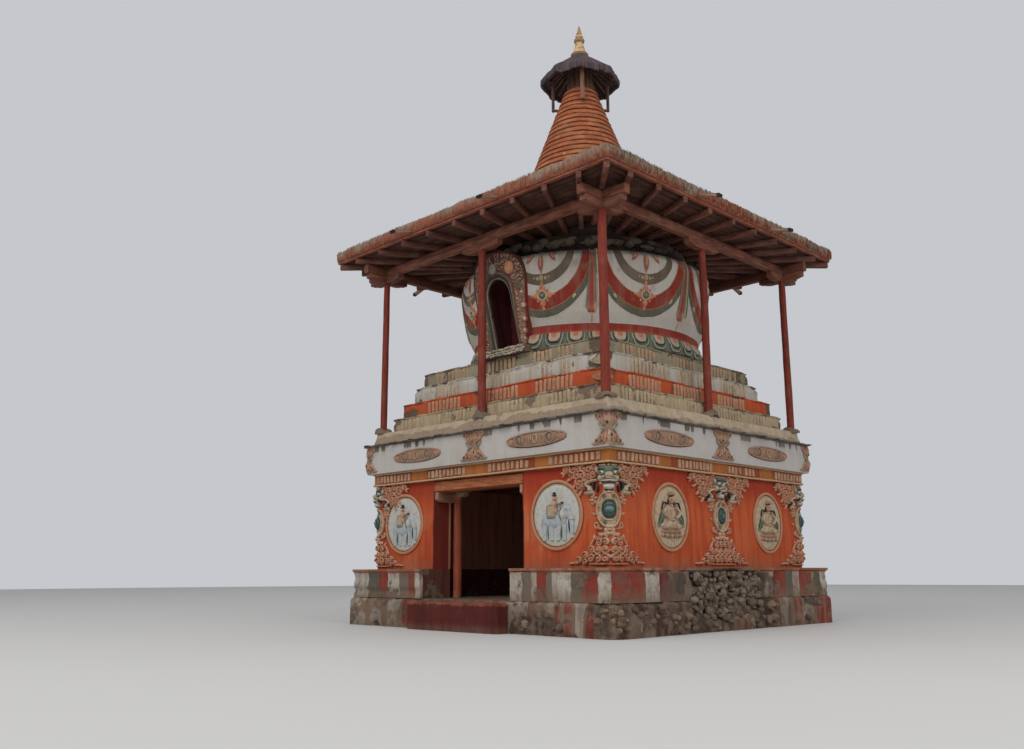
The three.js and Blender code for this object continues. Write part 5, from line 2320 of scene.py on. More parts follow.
    def tassel(self) -> list[Surface]:
        """A ribbon that widens downwards to a slanting tip, olive cords along it and a small orange end.

        Returns:
            The reliefs about the tassel's line, at their heights on the dome.
        """
        t = np.linspace(0.0, 1.0, 15)
        z = self.rim - 0.02 - 1.2 * t
        ribbon = swept(vectors(-0.035 - 0.035 * t, z), 0.07 + 0.11 * t ** 1.5, 0.018 + 0.01 * t)
        tip = leaf(-0.13, 6.26, 0.13, 0.11, -65.0, 0.0, 0.026)
        shapes = hued(Hue.RED, ribbon, tip, leaf(-0.02, 6.26, 0.12, 0.09, -100.0, 0.0, 0.026))
        for shift, spread, hue, width in ((-0.085, -0.09, Hue.GREEN, 0.022), (0.012, 0.02, Hue.GREEN, 0.02),
                                          (0.045, 0.05, Hue.CREAM, 0.034), (0.075, 0.075, Hue.GREEN, 0.026)):
            line = vectors(shift + spread * t ** 1.5, z + 0.02)
            shapes += hued(hue, swept(line, width, 0.024))
        shapes += hued(Hue.PEACH, leaf(0.02, 6.34, 0.2, 0.06, -100.0, 15.0, 0.034),
                       leaf(-0.05, 6.17, 0.24, 0.03, -92.0, 0.0, 0.014))
        return shapes


@dataclass
class Niche:
    """Leaning arched frame of the dome's niche, its lining and the sill."""

    foot: float = 5.56
    middle: float = 0.05
    inner_half: float = 0.31
    inner_spring: float = 6.66
    inner_top: float = 7.0
    outer_foot: float = 0.62
    outer_half: float = 0.765
    outer_spring: float = 6.92
    outer_top: float = 7.58
    face_y: float = -2.614
    lean: float = 0.165
    bow: float = 0.14
    back_y: float = -2.14
    slant: float = 0.09

    def arch(self, t: Array, foot_half: float, half: float, spring: float, top: float,
             power: float = 1.0) -> Array:
        """Points along an arch, t from 0 at the left foot to 1 at the right one.

        A third of the way is the straight left leg, a third the half ellipse and a third the right leg.

        Args:
            t: share of the way.
            foot_half, half: half widths at the foot and at the spring of the arch.
            spring, top: heights.
            power: less than 1 makes the arch's shoulders fuller.

        Returns:
            Points as (x, z).
        """
        left, middle, right = (np.clip(t * 3.0 - k, 0.0, 1.0) for k in range(3))
        angle = np.pi * (1.0 - middle)
        over_x, over_z = powered(np.cos(angle), power), powered(np.sin(angle), power)
        legs = [t < 1 / 3, t > 2 / 3]
        x = np.select(legs, [-foot_half + (foot_half - half) * left, half + (foot_half - half) * right],
                      half * over_x)
        z = np.select(legs, [self.foot + (spring - self.foot) * left,
                             spring + (self.foot - spring) * right], spring + (top - spring) * over_z)
        return vectors(x, z)

    def inner(self, t: Array, grow: float = 0.0) -> Array:
        """Edge of the opening, or a line outside it by the given distance."""
        flat = self.arch(t, self.inner_half + grow, self.inner_half + grow, self.inner_spring,
                         self.inner_top + grow)
        return flat + self.shift(flat)

    def outer(self, t: Array) -> Array:
        """Outer edge of the frame."""
        return self.arch(t, self.outer_foot, self.outer_half, self.outer_spring, self.outer_top, 0.8)

    def lifted(self, flat: Array, out: Numbers) -> Array:
        """World points of (x, z) on the leaning face, which bows back at its sides, a distance out of it."""
        x, z = axes(flat)
        return upright(flat, self.face_y - self.lean * (z - self.foot) + self.bow * (x / 0.75) ** 2 - out)

    def build(self) -> None:
        """Makes the frame, its bumps, the lining and the sill."""
        t = np.linspace(0.0, 1.0, 121)
        share = [0.0, 0.0, 0.02, 0.05, 0.08, 0.1, 0.14, 0.18, 0.23, 0.27, 0.31, 0.5, 0.74, 0.93, 0.95,
                 0.975, 1.0, 1.0]
        out = [-0.3, 0.0, 0.014, 0.02, 0.012, 0.0, 0.03, 0.046, 0.044, 0.026, 0.0, 0.01, 0.006, 0.0, 0.02,
               0.024, 0.0, -0.3]
        share, out = np.array(share), np.array(out)
        inner, outer = self.inner(t)[:, None], self.outer(t)[:, None]
        flat = inner + (outer - inner) * share[None, :, None]
        points = self.lifted(flat, out)
        points[..., 1] += 0.01 * rough(points, 0.2, 3, 181)
        zone = 0.1 + 0.9 * share
        zone[0] = 0.0
        body = Surface(points, fields={"zone": zone})
        wash = NicheWash("niche_plaster", srgb(118, 84, 66), srgb(84, 58, 48), bare=0.8)
        Piece("niche_frame_moulded", [body], [wash], "niche_plaster", ("niche_frame",))
        Piece("niche_frame_reliefs", self.bumps(), NICHE_TINTS, "cream_plaster")
        self.lining()
        self.sill()

    def bumps(self) -> list[Surface]:
        """Small beads in rows with a few big pale ones, and discs over the arch.

        Returns:
            The beads and discs in their places.
        """
        rng = np.random.default_rng(191)
        made = []
        weights = (0.62, 0.05, 0.08, 0.17, 0.08)
        for share in (0.36, 0.45, 0.54, 0.63, 0.72, 0.81, 0.89):
            count = 74
            t = np.linspace(0.012, 0.988, count) + rng.uniform(-0.004, 0.004, count)
            share = share + rng.uniform(-0.02, 0.02, (count, 1))
            flat = self.inner(t) + (self.outer(t) - self.inner(t)) * share
            high = flat[:, 1] > 6.9
            pick = np.where(high & (rng.random(count) < 0.7), 0, rng.choice(5, count, p=weights))
            for k in range(5):
                spots = flat[pick == k]
                size = rng.uniform(0.03, 0.06, (len(spots), 1, 1, 1)) * (1.2 if k == 1 else 1.0)
                shape = boss(1.0, 1.0, 0.5, 7, 3).points * size
                plan = spots[:, None, None, :] + shape[..., [0, 2]]
                made.append(Surface(self.lifted(plan, shape[..., 1] + 0.004), finish=k))
        discs = ((0.0, 7.21, 0.105, 4), (0.44, 7.18, 0.115, 5), (0.6, 6.8, 0.065, 2),
                 (-0.47, 6.95, 0.08, 2), (0.665, 6.38, 0.05, 1), (0.655, 6.1, 0.042, 1),
                 (0.63, 5.86, 0.042, 1), (-0.54, 6.3, 0.06, 3), (-0.52, 5.8, 0.05, 1))
        for x, z, radius, tint in discs:
            rim = 2 if tint == 4 else 3
            for shape, paint in ((knob(x, z, 2 * radius, 2.4 * radius, 0.045, 18, 6, 0.5), tint),
                                 (ring(x, z, radius, 1.2 * radius, 0.022, 0.04, 20), rim)):
                plan = shape.points[..., [0, 2]]
                made.append(Surface(self.lifted(plan, shape.points[..., 1] + 0.01), shape.loop, paint))
        return made

    def lining(self) -> None:
        """Dark red lining of the recess: a thin arched shell with folds, its back and its floor."""
        t = np.linspace(0.0, 1.0, 121)
        inner, wider = self.inner(t), self.inner(t, 0.03)
        shell = np.stack([self.lifted(inner, -0.01), upright(inner, self.back_y),
                          upright(wider, self.back_y), self.lifted(wider, -0.01)], axis=1)
        folds = 0.02 * np.sin(t * TURN * 9.0)
        plate = np.stack([upright(wider, self.back_y + folds), upright(wider, self.back_y + 0.05)])
        low, high = self.foot - 0.03, self.foot + 0.012
        half = self.inner_half + 0.03
        line = np.array([(-half, low), (half, low), (half, high), (-half, high)])
        line = line + self.shift(line)
        floor = np.stack([upright(line, y) for y in (-2.6, -2.3, self.back_y)])
        dark = Plaster("niche_dark_red", srgb(84, 30, 32), srgb(56, 22, 26), srgb(60, 34, 34), bare=0.8)
        Piece("niche_lining", [Surface(shell), Surface(plate), Surface(floor)], [dark], "dark_red_plaster")

    def sill(self) -> None:
        """Sill block, and over its front a worn row of small white petals with dark gaps."""
        x = np.linspace(-0.7, 0.72, 61)
        section = np.array([(-2.45, 5.416), (-2.72, 5.416), (-2.735, 5.43), (-2.735, 5.535), (-2.71, 5.56),
                            (-2.45, 5.56)])
        points = vectors(x[:, None], section[:, 0], section[:, 1])
        points[..., 1] -= 0.01 * rough(points, 0.12, 3, 195)
        block = Plaster("sill_plaster", srgb(112, 92, 76), srgb(84, 68, 56), bare=0.66)
        Piece("niche_sill_block", [Surface(points)], [block], "cream_plaster", ("niche_sill",))
        rng = np.random.default_rng(197)
        made = []
        for level, count, lag in ((5.53, 15, 0.0), (5.478, 16, 0.5), (5.43, 15, 0.2)):
            for k in range(count):
                spot = -0.66 + 1.34 * (k + lag) / count + rng.uniform(-0.012, 0.012)
                shape = leaf(spot, level, 0.115, 0.05, -14.0 + rng.uniform(-12.0, 12.0), 50.0, 0.032, 6)
                shape.points[..., 1] = -2.728 - shape.points[..., 1]
                made.append(shape.tinted(4 if rng.random() < 0.75 else 1))
        Piece("niche_sill_petals", made, NICHE_TINTS, "cream_plaster")

    def shift(self, flat: Array) -> Array:
        """How far the opening lies right of the frame's middle; it grows towards the foot."""
        aside = self.middle + self.slant * np.maximum(self.inner_spring - flat[..., 1], 0.0)
        return vectors(aside, 0.0)


@dataclass(frozen=True)
class NicheWash(Plaster):
    """Paint of the niche frame by the field "zone": 0 in the reveal, then outwards from the opening."""

    def paint(self, sheet: Sheet) -> Paint:
        """Dark red reveal, grey-white edge, thin green roll with a grey line, brown field, dark red rim;
        darker towards the top as painted shade under the roof.

        Args:
            sheet: node tree of the material.

        Returns:
            The colour at each place.
        """
        zone = sheet.number("zone") + sheet.cloud(0.05, 3.0) * 0.02 - 0.01
        steps = [(0.0, srgb(74, 30, 30)), (0.082, srgb(138, 124, 112)), (0.15, srgb(44, 50, 42)),
                 (0.185, srgb(66, 78, 62)), (0.265, srgb(112, 104, 92)), (0.312, srgb(112, 74, 60)),
                 (0.937, srgb(112, 36, 30))]
        # Painted shade: the frame darkens towards its top, under the collar and the roof.
        return sheet.blend(sheet.z.eased(6.6, 7.3) * 0.45, sheet.ramp(zone, steps, True), srgb(62, 40, 36))


@dataclass
class Collar:
    """Drum between the dome and the roof, and the lumpy ring under the rafters."""

    radius: float = 2.3
    foot: float = 7.44
    top: float = 7.9

    def build(self) -> None:
        """Makes the drum and its square core, both painted dark as painted shade, and two rows of greyish
        lumps, which run into each other.
        """
        drum = turned([(self.radius - 0.1, self.foot), (self.radius - 0.1, 7.7), (self.radius - 0.02, 7.74),
                       (self.radius, 7.82), (self.radius - 0.01, self.top)], 0.04, 200,
                      lambda points, angle: swell(points, 201, 1.6))
        core = course(SquarePath(1.95, 0.02), [(0.0, 7.88), (0.0, 8.03)], 0.15)
        rng = np.random.default_rng(203)
        count = 96
        lump = boss(1.0, 1.0, 1.0, 12, 5, 0.8).points
        size = vectors(rng.uniform(0.2, 0.46, count), rng.uniform(0.05, 0.11, count),
                       rng.uniform(0.09, 0.19, count))
        azimuth = np.arange(count) * 360.0 / count + rng.uniform(-3.0, 3.0, count)
        lumps = Surface(lump * size[:, None, None, :], finish=1)
        path = RoundPath(((self.radius - 0.04, 7.5), (self.radius - 0.03, 8.0)))
        up = rng.choice([7.76, 7.83], count) + rng.uniform(-0.03, 0.02, count)
        ring_of_lumps = path.bent(lumps, azimuth, up)
        ring_of_lumps.points += 0.022 * rough(ring_of_lumps.points, 0.1, 4, 205)[..., None]
        # Painted shade: the drum and the square core are painted dark brown for the shade under the roof.
        dark = Plaster("collar_shade_plaster", srgb(66, 52, 46), srgb(48, 38, 34), bare=0.66)
        pale = Plaster("collar_lumps", srgb(132, 120, 108), srgb(84, 72, 64), srgb(72, 60, 54), streak=0.6,
                       stained=0.8, bare=0.58, patch_size=0.2)
        Piece("dome_collar_drum", [drum, core, ring_of_lumps], [dark, pale], "dome_plaster", ("dome_collar",))


@dataclass
class CanopyFrame:
    """Posts, beams, rafters and boards that carry the roof."""

    post_line: float = 3.2
    post_foot: float = 4.06
    post_top: float = 7.62
    beam_foot: float = 7.7
    beam_top: float = 7.9
    beam_end: float = 3.8
    rafter_tip: float = 3.995
    rafter_inner: float = 1.965
    rafter_top: float = 8.03
    eave_top: float = 8.076
    ceiling: float = 8.042
    deck_half: float = 3.92
    spacing: float = 0.82
    red: Timber = Timber("post_red", srgb(142, 58, 42), srgb(98, 40, 30), srgb(140, 88, 68), 0.28)
    brown_red: Timber = Timber("beam_red", srgb(144, 90, 68), srgb(90, 54, 44), srgb(138, 108, 88), 0.42)
    shade: Timber = Timber("rafter_red", srgb(132, 82, 66), srgb(78, 50, 42), srgb(128, 100, 84), 0.45)
    board: Timber = Timber("ceiling_board", srgb(108, 70, 58), srgb(62, 42, 36), srgb(112, 88, 74), 0.4)
    eave: Timber = Timber("eave_board_red", srgb(168, 92, 66), srgb(112, 64, 50), srgb(150, 120, 100), 0.55)

    def build(self) -> None:
        """Makes the whole frame."""
        self.posts()
        self.beams()
        for side in Side:
            self.rafters(side)
        self.deck()

    def posts(self) -> None:
        """Eight posts; a corner one carries two crossing bolsters, a middle one a single bolster."""
        names = {(-1, -1): ("front_left", 0.92), (1, -1): ("front_right", 1.12), (1, 1): ("back_right", 0.98),
                 (-1, 1): ("back_left", 0.98), (0, -1): ("front_middle", 1.06), (1, 0): ("right_middle", 1.0),
                 (0, 1): ("back_middle", 1.0), (-1, 0): ("left_middle", 1.0)}
        for seed, ((a, b), (name, stout)) in enumerate(names.items()):
            x, y = a * self.post_line, b * self.post_line
            z = np.linspace(self.post_foot, self.post_top, 17)
            sway = 0.02 * value_noise(vectors(z, seed, 0.0), 1.6, 210 + seed)
            line = vectors(x + sway, y - sway * 0.6, z)
            surfaces = [rod(line, stout * np.linspace(0.082, 0.074, 17), seed + 40, 14)]
            arm = bracket(1.06, 0.165, 0.15, 0.1, seed, 0.45).tinted(1)
            if b:
                surfaces.append(arm.moved(x, y, self.beam_foot - 0.001))
            if a:
                surfaces.append(Side.RIGHT.turned(arm).moved(x, y, self.beam_foot - 0.002))
            Piece(f"post_{name}_peeled", surfaces, [self.red, self.brown_red], "red_timber",
                  (f"post_{name}",))

    def beams(self) -> None:
        """Perimeter beams, half-lapped at the corners so that both ends stand out."""
        for side in Side:
            crossing = side in (Side.LEFT, Side.RIGHT)
            z = 0.5 * (self.beam_foot + self.beam_top) - 0.004 * crossing
            beam = timber((-self.beam_end, -self.post_line, z), (self.beam_end, -self.post_line, z), 0.152,
                          0.198 - 0.006 * crossing, 50 + side.value, 0.01, 40)
            Piece(f"beam_{side.name.lower()}_hewn", [side.turned(beam)], [self.brown_red], "red_timber",
                  (f"beam_{side.name.lower()}",))

    def rafters(self, side: Side) -> None:
        """Fanned rafters, one hip rafter and the thin eave board of one side.

        Args:
            side: the side of the building.
        """
        z = 0.5 * (self.beam_top + self.rafter_top)
        surfaces = []
        for k in range(-4, 5):
            x = k * self.spacing * self.rafter_tip / 3.925
            tip = np.array([x, -self.rafter_tip + 0.004, z])
            root = np.array([x * self.rafter_inner / self.rafter_tip, -self.rafter_inner, z])
            surfaces.append(timber(root, tip, 0.1, 0.125, 60 + 11 * side.value + k, 0.012, 12))
        hip = self.rafter_tip - 0.03
        inner = self.rafter_inner + 0.03
        surfaces.append(timber((inner, -inner, z), (hip, -hip, z), 0.105, 0.13, 95 + side.value, 0.01, 14))
        up = 0.5 * (self.rafter_top + self.eave_top)
        start, end = (-3.922, -3.9675, up), (4.008, -3.9675, up)
        thickness = self.eave_top - self.rafter_top
        surfaces.append(timber(start, end, 0.082, thickness, 99 + side.value, 0.01, 50, 1))
        Piece(f"rafters_{side.name.lower()}_hewn", [side.turned(shape) for shape in surfaces],
              [self.shade, self.eave], "dark_red_timber", (f"rafters_{side.name.lower()}",))

    def deck(self) -> None:
        """Ceiling boards along each side over the rafters, and the deck that lies on them."""
        surfaces = []
        widths = np.random.default_rng(221).uniform(0.1, 0.19, 40)
        for side in Side:
            reach = self.rafter_inner + 0.02
            k = 0
            while reach + widths[k] < self.deck_half:
                middle = reach + 0.5 * widths[k]
                up = self.ceiling - 0.004 * (k % 3)
                start, end = (-middle, -middle, up), (middle, -middle, up)
                seed = 300 + 40 * side.value + k
                board = timber(start, end, widths[k] - 0.014, 0.024, seed, 0.004, 14)
                surfaces.append(side.turned(board))
                reach += widths[k]
                k += 1
        Piece("ceiling_boards", surfaces, [self.board], "dark_red_timber")
        path = SquarePath(self.deck_half, 0.01)
        body = course(path, [(0.0, 8.05), (0.0, 8.078)], 0.3, None, 1.5)
        earth = Plaster("deck_earth", srgb(70, 50, 42), srgb(50, 36, 30), bare=0.7)
        Piece("roof_deck_boards", [body], [earth], "dark_red_timber", ("roof_deck",))


@dataclass
class RoofCovering:
    """Brushwood and mud covering of the roof, with a rolled edge and wooden spouts."""

    half: float = 4.05
    foot: float = 8.075
    edge: float = 8.335
    ridge_half: float = 1.95
    ridge: float = 8.56
    roll: Pairs = ((-0.07, 0.0), (-0.015, 0.01), (0.015, 0.05), (0.03, 0.11), (0.028, 0.17), (0.0, 0.22),
                   (-0.06, 0.248), (-0.2, 0.268))

    def relief(self, points: Array) -> Array:
        """Upright lobes of packed stalks with narrow grooves on them."""
        lobes = rough(points * (1.0, 1.0, 0.25), 0.34, 3, 231)
        grooves = value_noise(points * (1.0, 1.0, 0.08), 0.06, 233)
        return 0.042 * lobes + 0.012 * grooves + swell(points, 235, 0.7)

    def build(self) -> None:
        """Makes the rolled edge, the roof's top, the stalks of the edge and the spouts."""
        path = SquarePath(self.half, 0.1)
        brush = Brushwood("brushwood")
        outer = [(out, self.foot + up) for out, up in self.roll]
        edge = course(path, outer, 0.03, self.relief, 0.5)
        top = course(path, [(-0.14, self.foot + 0.1), (-0.15, self.foot + 0.235), (-0.42, self.foot + 0.275),
                            (self.ridge_half - self.half, self.ridge)], 0.09, self.relief, 2.3)
        for body, seed in ((edge, 241), (top, 243)):
            height = 0.036 * rough(body.points * (1.0, 1.0, 0.0), 0.7, 4, 241)
            body.points[..., 2] += height * ease(body.points[..., 2], self.foot + 0.08, self.foot + 0.2)
            tone = 0.5 + 0.5 * value_noise(body.points * (1.0, 1.0, 0.2), 0.07, seed)
            body.fields["tone"] = np.clip(tone, 0.0, 1.0)
        Piece("roof_mud", [top], [brush], "mud", ("roof_covering",))
        Piece("roof_edge_roll", [edge], [brush], "mud")
        self.stalks(path, brush)
        self.spouts()

    def stalks(self, path: SquarePath, brush: Finish) -> None:
        """Upright stalks pressed into the edge, a few bent off it: thin three-sided rods in two stretches.

        Args:
            path: the square that it follows.
            brush: finish of the covering.
        """
        rng = np.random.default_rng(251)
        count = 7000
        s = rng.uniform(0.0, 8.0 * self.half, count)
        up = rng.uniform(self.foot + 0.04, self.edge - 0.03, count)
        outs, heights = zip(*self.roll)
        out = np.interp(up - self.foot, heights, outs)
        out = out + self.relief(path.at(s, up, out))
        turn = np.arange(3) * TURN / 3
        row = np.array([[-0.5], [0.0], [0.5]])
        radius = rng.uniform(0.005, 0.011, (count, 1, 1)) * np.array([[0.5], [1.0], [0.6]])
        length = rng.uniform(0.04, 0.13, (count, 1, 1))
        lean = rng.normal(0.0, 0.16, (count, 1, 1))
        away = rng.normal(0.0, 0.1, (count, 1, 1))
        drop = ease(up, self.edge - 0.1, self.edge)[:, None, None]
        x = radius * np.cos(turn) + lean * length * row
        y = out[:, None, None] + radius * np.sin(turn) + (away - 0.7 * drop) * length * row
        z = length * row * (1.0 - 0.3 * drop)
        tone = rng.random((count, 1, 1))
        made = path.bent(Surface(vectors(x, y, z), fields={"tone": tone}), s, up)
        made.points[..., :2] = np.clip(made.points[..., :2], -4.13, 4.13)
        Piece("roof_edge_stalks", [made], [brush], "mud")

    def spouts(self) -> None:
        """Hollowed wooden channels, two on each side, tilted a little downwards to their ends, which are
        painted dark as painted shade.
        """
        section = np.array([(-0.044, 0.062), (-0.04, 0.0), (0.04, 0.0), (0.044, 0.062), (0.028, 0.062),
                            (0.024, 0.02), (-0.024, 0.02), (-0.028, 0.062)])
        channel = (0, np.linspace(-0.2, 0.43, 12)[:, None], 1.0)
        # Painted shade: the last stretch of each channel is painted near black for the shade in its hollow
        # end.
        dark_end = (1, np.linspace(0.425, 0.5, 4)[:, None], 1.06)
        surfaces = []
        for side, x, (finish, run, grow) in product(Side, (-1.32, 1.32), (channel, dark_end)):
            across, up = axes(grow * section)
            points = vectors(across + x, -self.half - run, 8.095 - 0.3 * run + up)
            points[..., 2] += 0.006 * rough(points, 0.2, 2, 261 + side.value)
            fields = {"run": run + x, "girth": 0.04 * np.arange(8), "tone": 0.3}
            surfaces.append(side.turned(Surface(points, finish=finish, fields=fields)))
        wood = Timber("spout_timber", srgb(172, 132, 112), srgb(118, 88, 74), srgb(170, 148, 128), 0.4)
        shaded_end_paint = Timber("spout_end_shade", srgb(56, 50, 48), srgb(34, 30, 30), srgb(60, 54, 50), 0.3)
        Piece("roof_spouts", surfaces, [wood, shaded_end_paint], "weathered_timber")


@dataclass
class Spire:
    """Square harmika, the ringed spire, its neck, the umbrella with its struts, and the finial."""

    foot: float = 8.75
    top: float = 12.3
    foot_radius: float = 1.69
    head_radius: float = 0.36
    rings: int = 26
    umbrella_radius: float = 0.955
    new_strut: Timber = Timber("new_strut_timber", srgb(158, 112, 90), srgb(112, 76, 62),
                               srgb(136, 100, 82), 0.3)
    old_strut: Timber = Timber("old_strut_timber", srgb(104, 78, 70), srgb(64, 48, 46),
                               srgb(120, 94, 78), 0.4)

    def build(self) -> None:
        """Makes everything above the roof."""
        block = course(SquarePath(1.93, 0.03), [(0.0, 8.53), (0.0, 8.72), (-0.02, 8.75)], 0.06,
                       partial(swell, seed=271, strength=1.0), 0.9)
        white = Plaster("harmika_plaster", srgb(170, 162, 150), srgb(140, 126, 110), bare=0.6)
        Piece("harmika_block", [block], [white], "dome_plaster", ("harmika",))
        body = turned([(self.foot_radius, self.foot), (self.head_radius, self.top)], 0.0195, 168,
                      self.ring_relief)
        body.fields["joint"] = self.joint(body.points)
        wash = RingWash("terracotta", srgb(160, 90, 58), srgb(134, 72, 48), srgb(128, 104, 84), streak=0.5,
                        stained=0.65, bare=0.72, grain=0.006)
        Piece("spire_rings", [body], [wash], "terracotta", ("spire",))
        self.neck()
        self.umbrella()
        self.finial()

    def phase(self, points: Array) -> Array:
        """Ring number of a height, wavering round the cone."""
        wander = 0.022 * rough(points * (1.0, 1.0, 0.3), 0.7, 3, 281)
        return (points[..., 2] + wander - self.foot) / (self.top - self.foot) * self.rings

    def ring_relief(self, points: Array, angle: Array) -> Array:
        """Each ring is a rounded roll that starts wide and draws back to the next one."""
        share = self.phase(points) % 1.0
        roll = 0.03 * np.sin(np.pi * np.clip(share * 1.08, 0.0, 1.0)) ** 0.5 + 0.016 * (1.0 - share)
        return roll - 0.022 + 0.012 * rough(points, 0.12, 3, 285)

    def joint(self, points: Array) -> Array:
        """1 in the groove between two rings, 0 elsewhere."""
        share = self.phase(points) % 1.0
        return 1.0 - ease(np.minimum(share, 1.0 - share), 0.04, 0.16)

    def neck(self) -> None:
        """Upright boards round the neck under the umbrella."""
        share = np.linspace(0.0, 1.0, 9)
        surfaces = []
        for k in range(14):
            radius = 0.262 * (1.0 + 0.018 * math.sin(5.0 * k) - 0.04 * share)
            surfaces.append(rod(polar(radius, k * TURN / 14, 12.27 + 0.77 * share), 0.062, 90 + k, 8))
        core = turned([(0.24, 12.27), (0.22, 13.03)], 0.2, 24).marked(tone=0.8)
        wood = Timber("neck_timber", srgb(124, 96, 76), srgb(76, 56, 46), srgb(110, 88, 72), 0.3)
        Piece("spire_neck_boards", [*surfaces, core], [wood], "weathered_timber", ("spire_neck",))

    def umbrella(self) -> None:
        """Eight-sided umbrella of radial boards, its ragged rim, and the four hanging struts."""
        r = self.umbrella_radius
        profile = [(0.3, 13.025), (r - 0.07, 12.6), (r - 0.06, 12.5), (r - 0.02, 12.49), (r, 12.5),
                   (r + 0.012, 12.56), (r + 0.008, 12.625), (r - 0.02, 12.665), (0.25, 13.2), (0.21, 13.25)]
        body = turned(profile, 0.035, 240, self.octagon)
        azimuth = np.arctan2(body.points[..., 0], -body.points[..., 1])
        board = np.floor(azimuth / TURN * 40.0 + 0.01)
        tone = hashed(vectors(board, board, board), 295)
        rim = ease(np.linalg.norm(body.points[..., :2], axis=-1), 0.6, 0.85)
        body.points[..., 2] += rim * (0.045 * (tone - 0.5) + 0.02 * rough(body.points, 0.3, 3, 297))
        body.fields["tone"] = tone
        body.fields["run"] = np.linalg.norm(body.points[..., :2], axis=-1)
        body.fields["girth"] = azimuth * 0.8
        dark = Timber("dark_timber", srgb(96, 82, 84), srgb(56, 46, 48), srgb(124, 106, 100), 0.45)
        Piece("umbrella_boards", [body], [dark], "dark_timber", ("umbrella",))
        ribs = []
        for k in range(24):
            angle = (k + 0.5) * TURN / 24
            start, end = polar(0.33, angle, 12.965), polar(r - 0.13, angle, 12.595)
            ribs.append(timber(start, end, 0.045, 0.04, 400 + k, 0.006, 6))
        pale = Timber("rib_timber", srgb(160, 122, 106), srgb(104, 76, 68))
        Piece("umbrella_ribs", ribs, [pale], "dark_timber")
        corners = (("front_right", 45), ("back_right", 135), ("back_left", 225), ("front_left", 315))
        for name, azimuth_deg in corners:
            angle = math.radians(azimuth_deg)
            size, wood = (0.082, self.new_strut) if name == "front_right" else (0.058, self.old_strut)
            foot, head = (polar(0.655, angle, up) for up in (11.828, 12.735))
            start, end = (polar(reach, angle, 11.857) for reach in (0.5, 0.683))
            hanger = timber(foot, head, size, size, 430 + azimuth_deg, 0.004, 12)
            arm = timber(start, end, 0.056, 0.056, 440 + azimuth_deg, 0.003, 6)
            Piece(f"strut_{name}_hewn", [hanger, arm], [wood], "dark_timber", (f"strut_{name}",))

    def octagon(self, points: Array, angle: Array) -> Array:
        """Change of radius from the circle to an octagon with corners on the axes, and grooves.

        Args:
            points: points of the surface.
            angle: their angles about the axis.

        Returns:
            How far each point moves outwards, in metres.
        """
        r = np.linalg.norm(points[..., :2], axis=-1)
        eighth = TURN / 8.0
        flat = math.cos(eighth / 2.0) / np.cos(angle % eighth - eighth / 2.0)
        board = (angle / TURN * 40.0 + 0.01) % 1.0
        groove = 0.014 * (1.0 - ease(np.minimum(board, 1.0 - board), 0.03, 0.12))
        outer = ease(r, 0.3, 0.6)
        return r * (flat - 1.0) * outer - groove * outer

    def finial(self) -> None:
        """Turned finial of a foot plate, a bell, rings and a point."""
        profile = [(0.195, 13.24), (0.212, 13.265), (0.214, 13.315), (0.19, 13.33), (0.16, 13.345),
                   (0.164, 13.375), (0.15, 13.4), (0.138, 13.45), (0.12, 13.52), (0.1, 13.585),
                   (0.084, 13.625), (0.086, 13.635), (0.12, 13.65), (0.128, 13.68), (0.126, 13.715),
                   (0.11, 13.735), (0.07, 13.745), (0.068, 13.765), (0.09, 13.78), (0.092, 13.815),
                   (0.076, 13.83), (0.056, 13.838), (0.058, 13.855), (0.066, 13.87), (0.062, 13.895),
                   (0.042, 13.985), (0.022, 14.0), (0.03, 14.015), (0.024, 14.045), (0.008, 14.1)]
        body = turned(profile, 0.01, 48, lambda points, angle: 0.003 * rough(points, 0.06, 3, 301))
        Piece("gilded_finial", [body], [Gilding("gilding")], "gilding", ("finial",))


@dataclass(frozen=True)
class RingWash(Plaster):
    """Orange rings with dark joints from the field "joint" and pale chips."""

    def paint(self, sheet: Sheet) -> Paint:
        """Colour by joint, with lighter brush marks.

        Args:
            sheet: node tree of the material.

        Returns:
            The colour at each place.
        """
        joint = sheet.number("joint")
        light = sheet.runs(0.3, 6.0, 2.2)
        colour = sheet.blend(light.eased(0.4, 0.65) * 0.6, self.coat, srgb(196, 128, 84))
        colour = sheet.blend(joint.eased(0.25, 0.8) * 0.92, colour, srgb(84, 38, 26))
        chip = sheet.pebbles(0.3)
        near = sheet.cloud(0.8, 1.0)
        return sheet.blend((chip < 0.1) * (near > 0.56), colour, srgb(206, 182, 150))


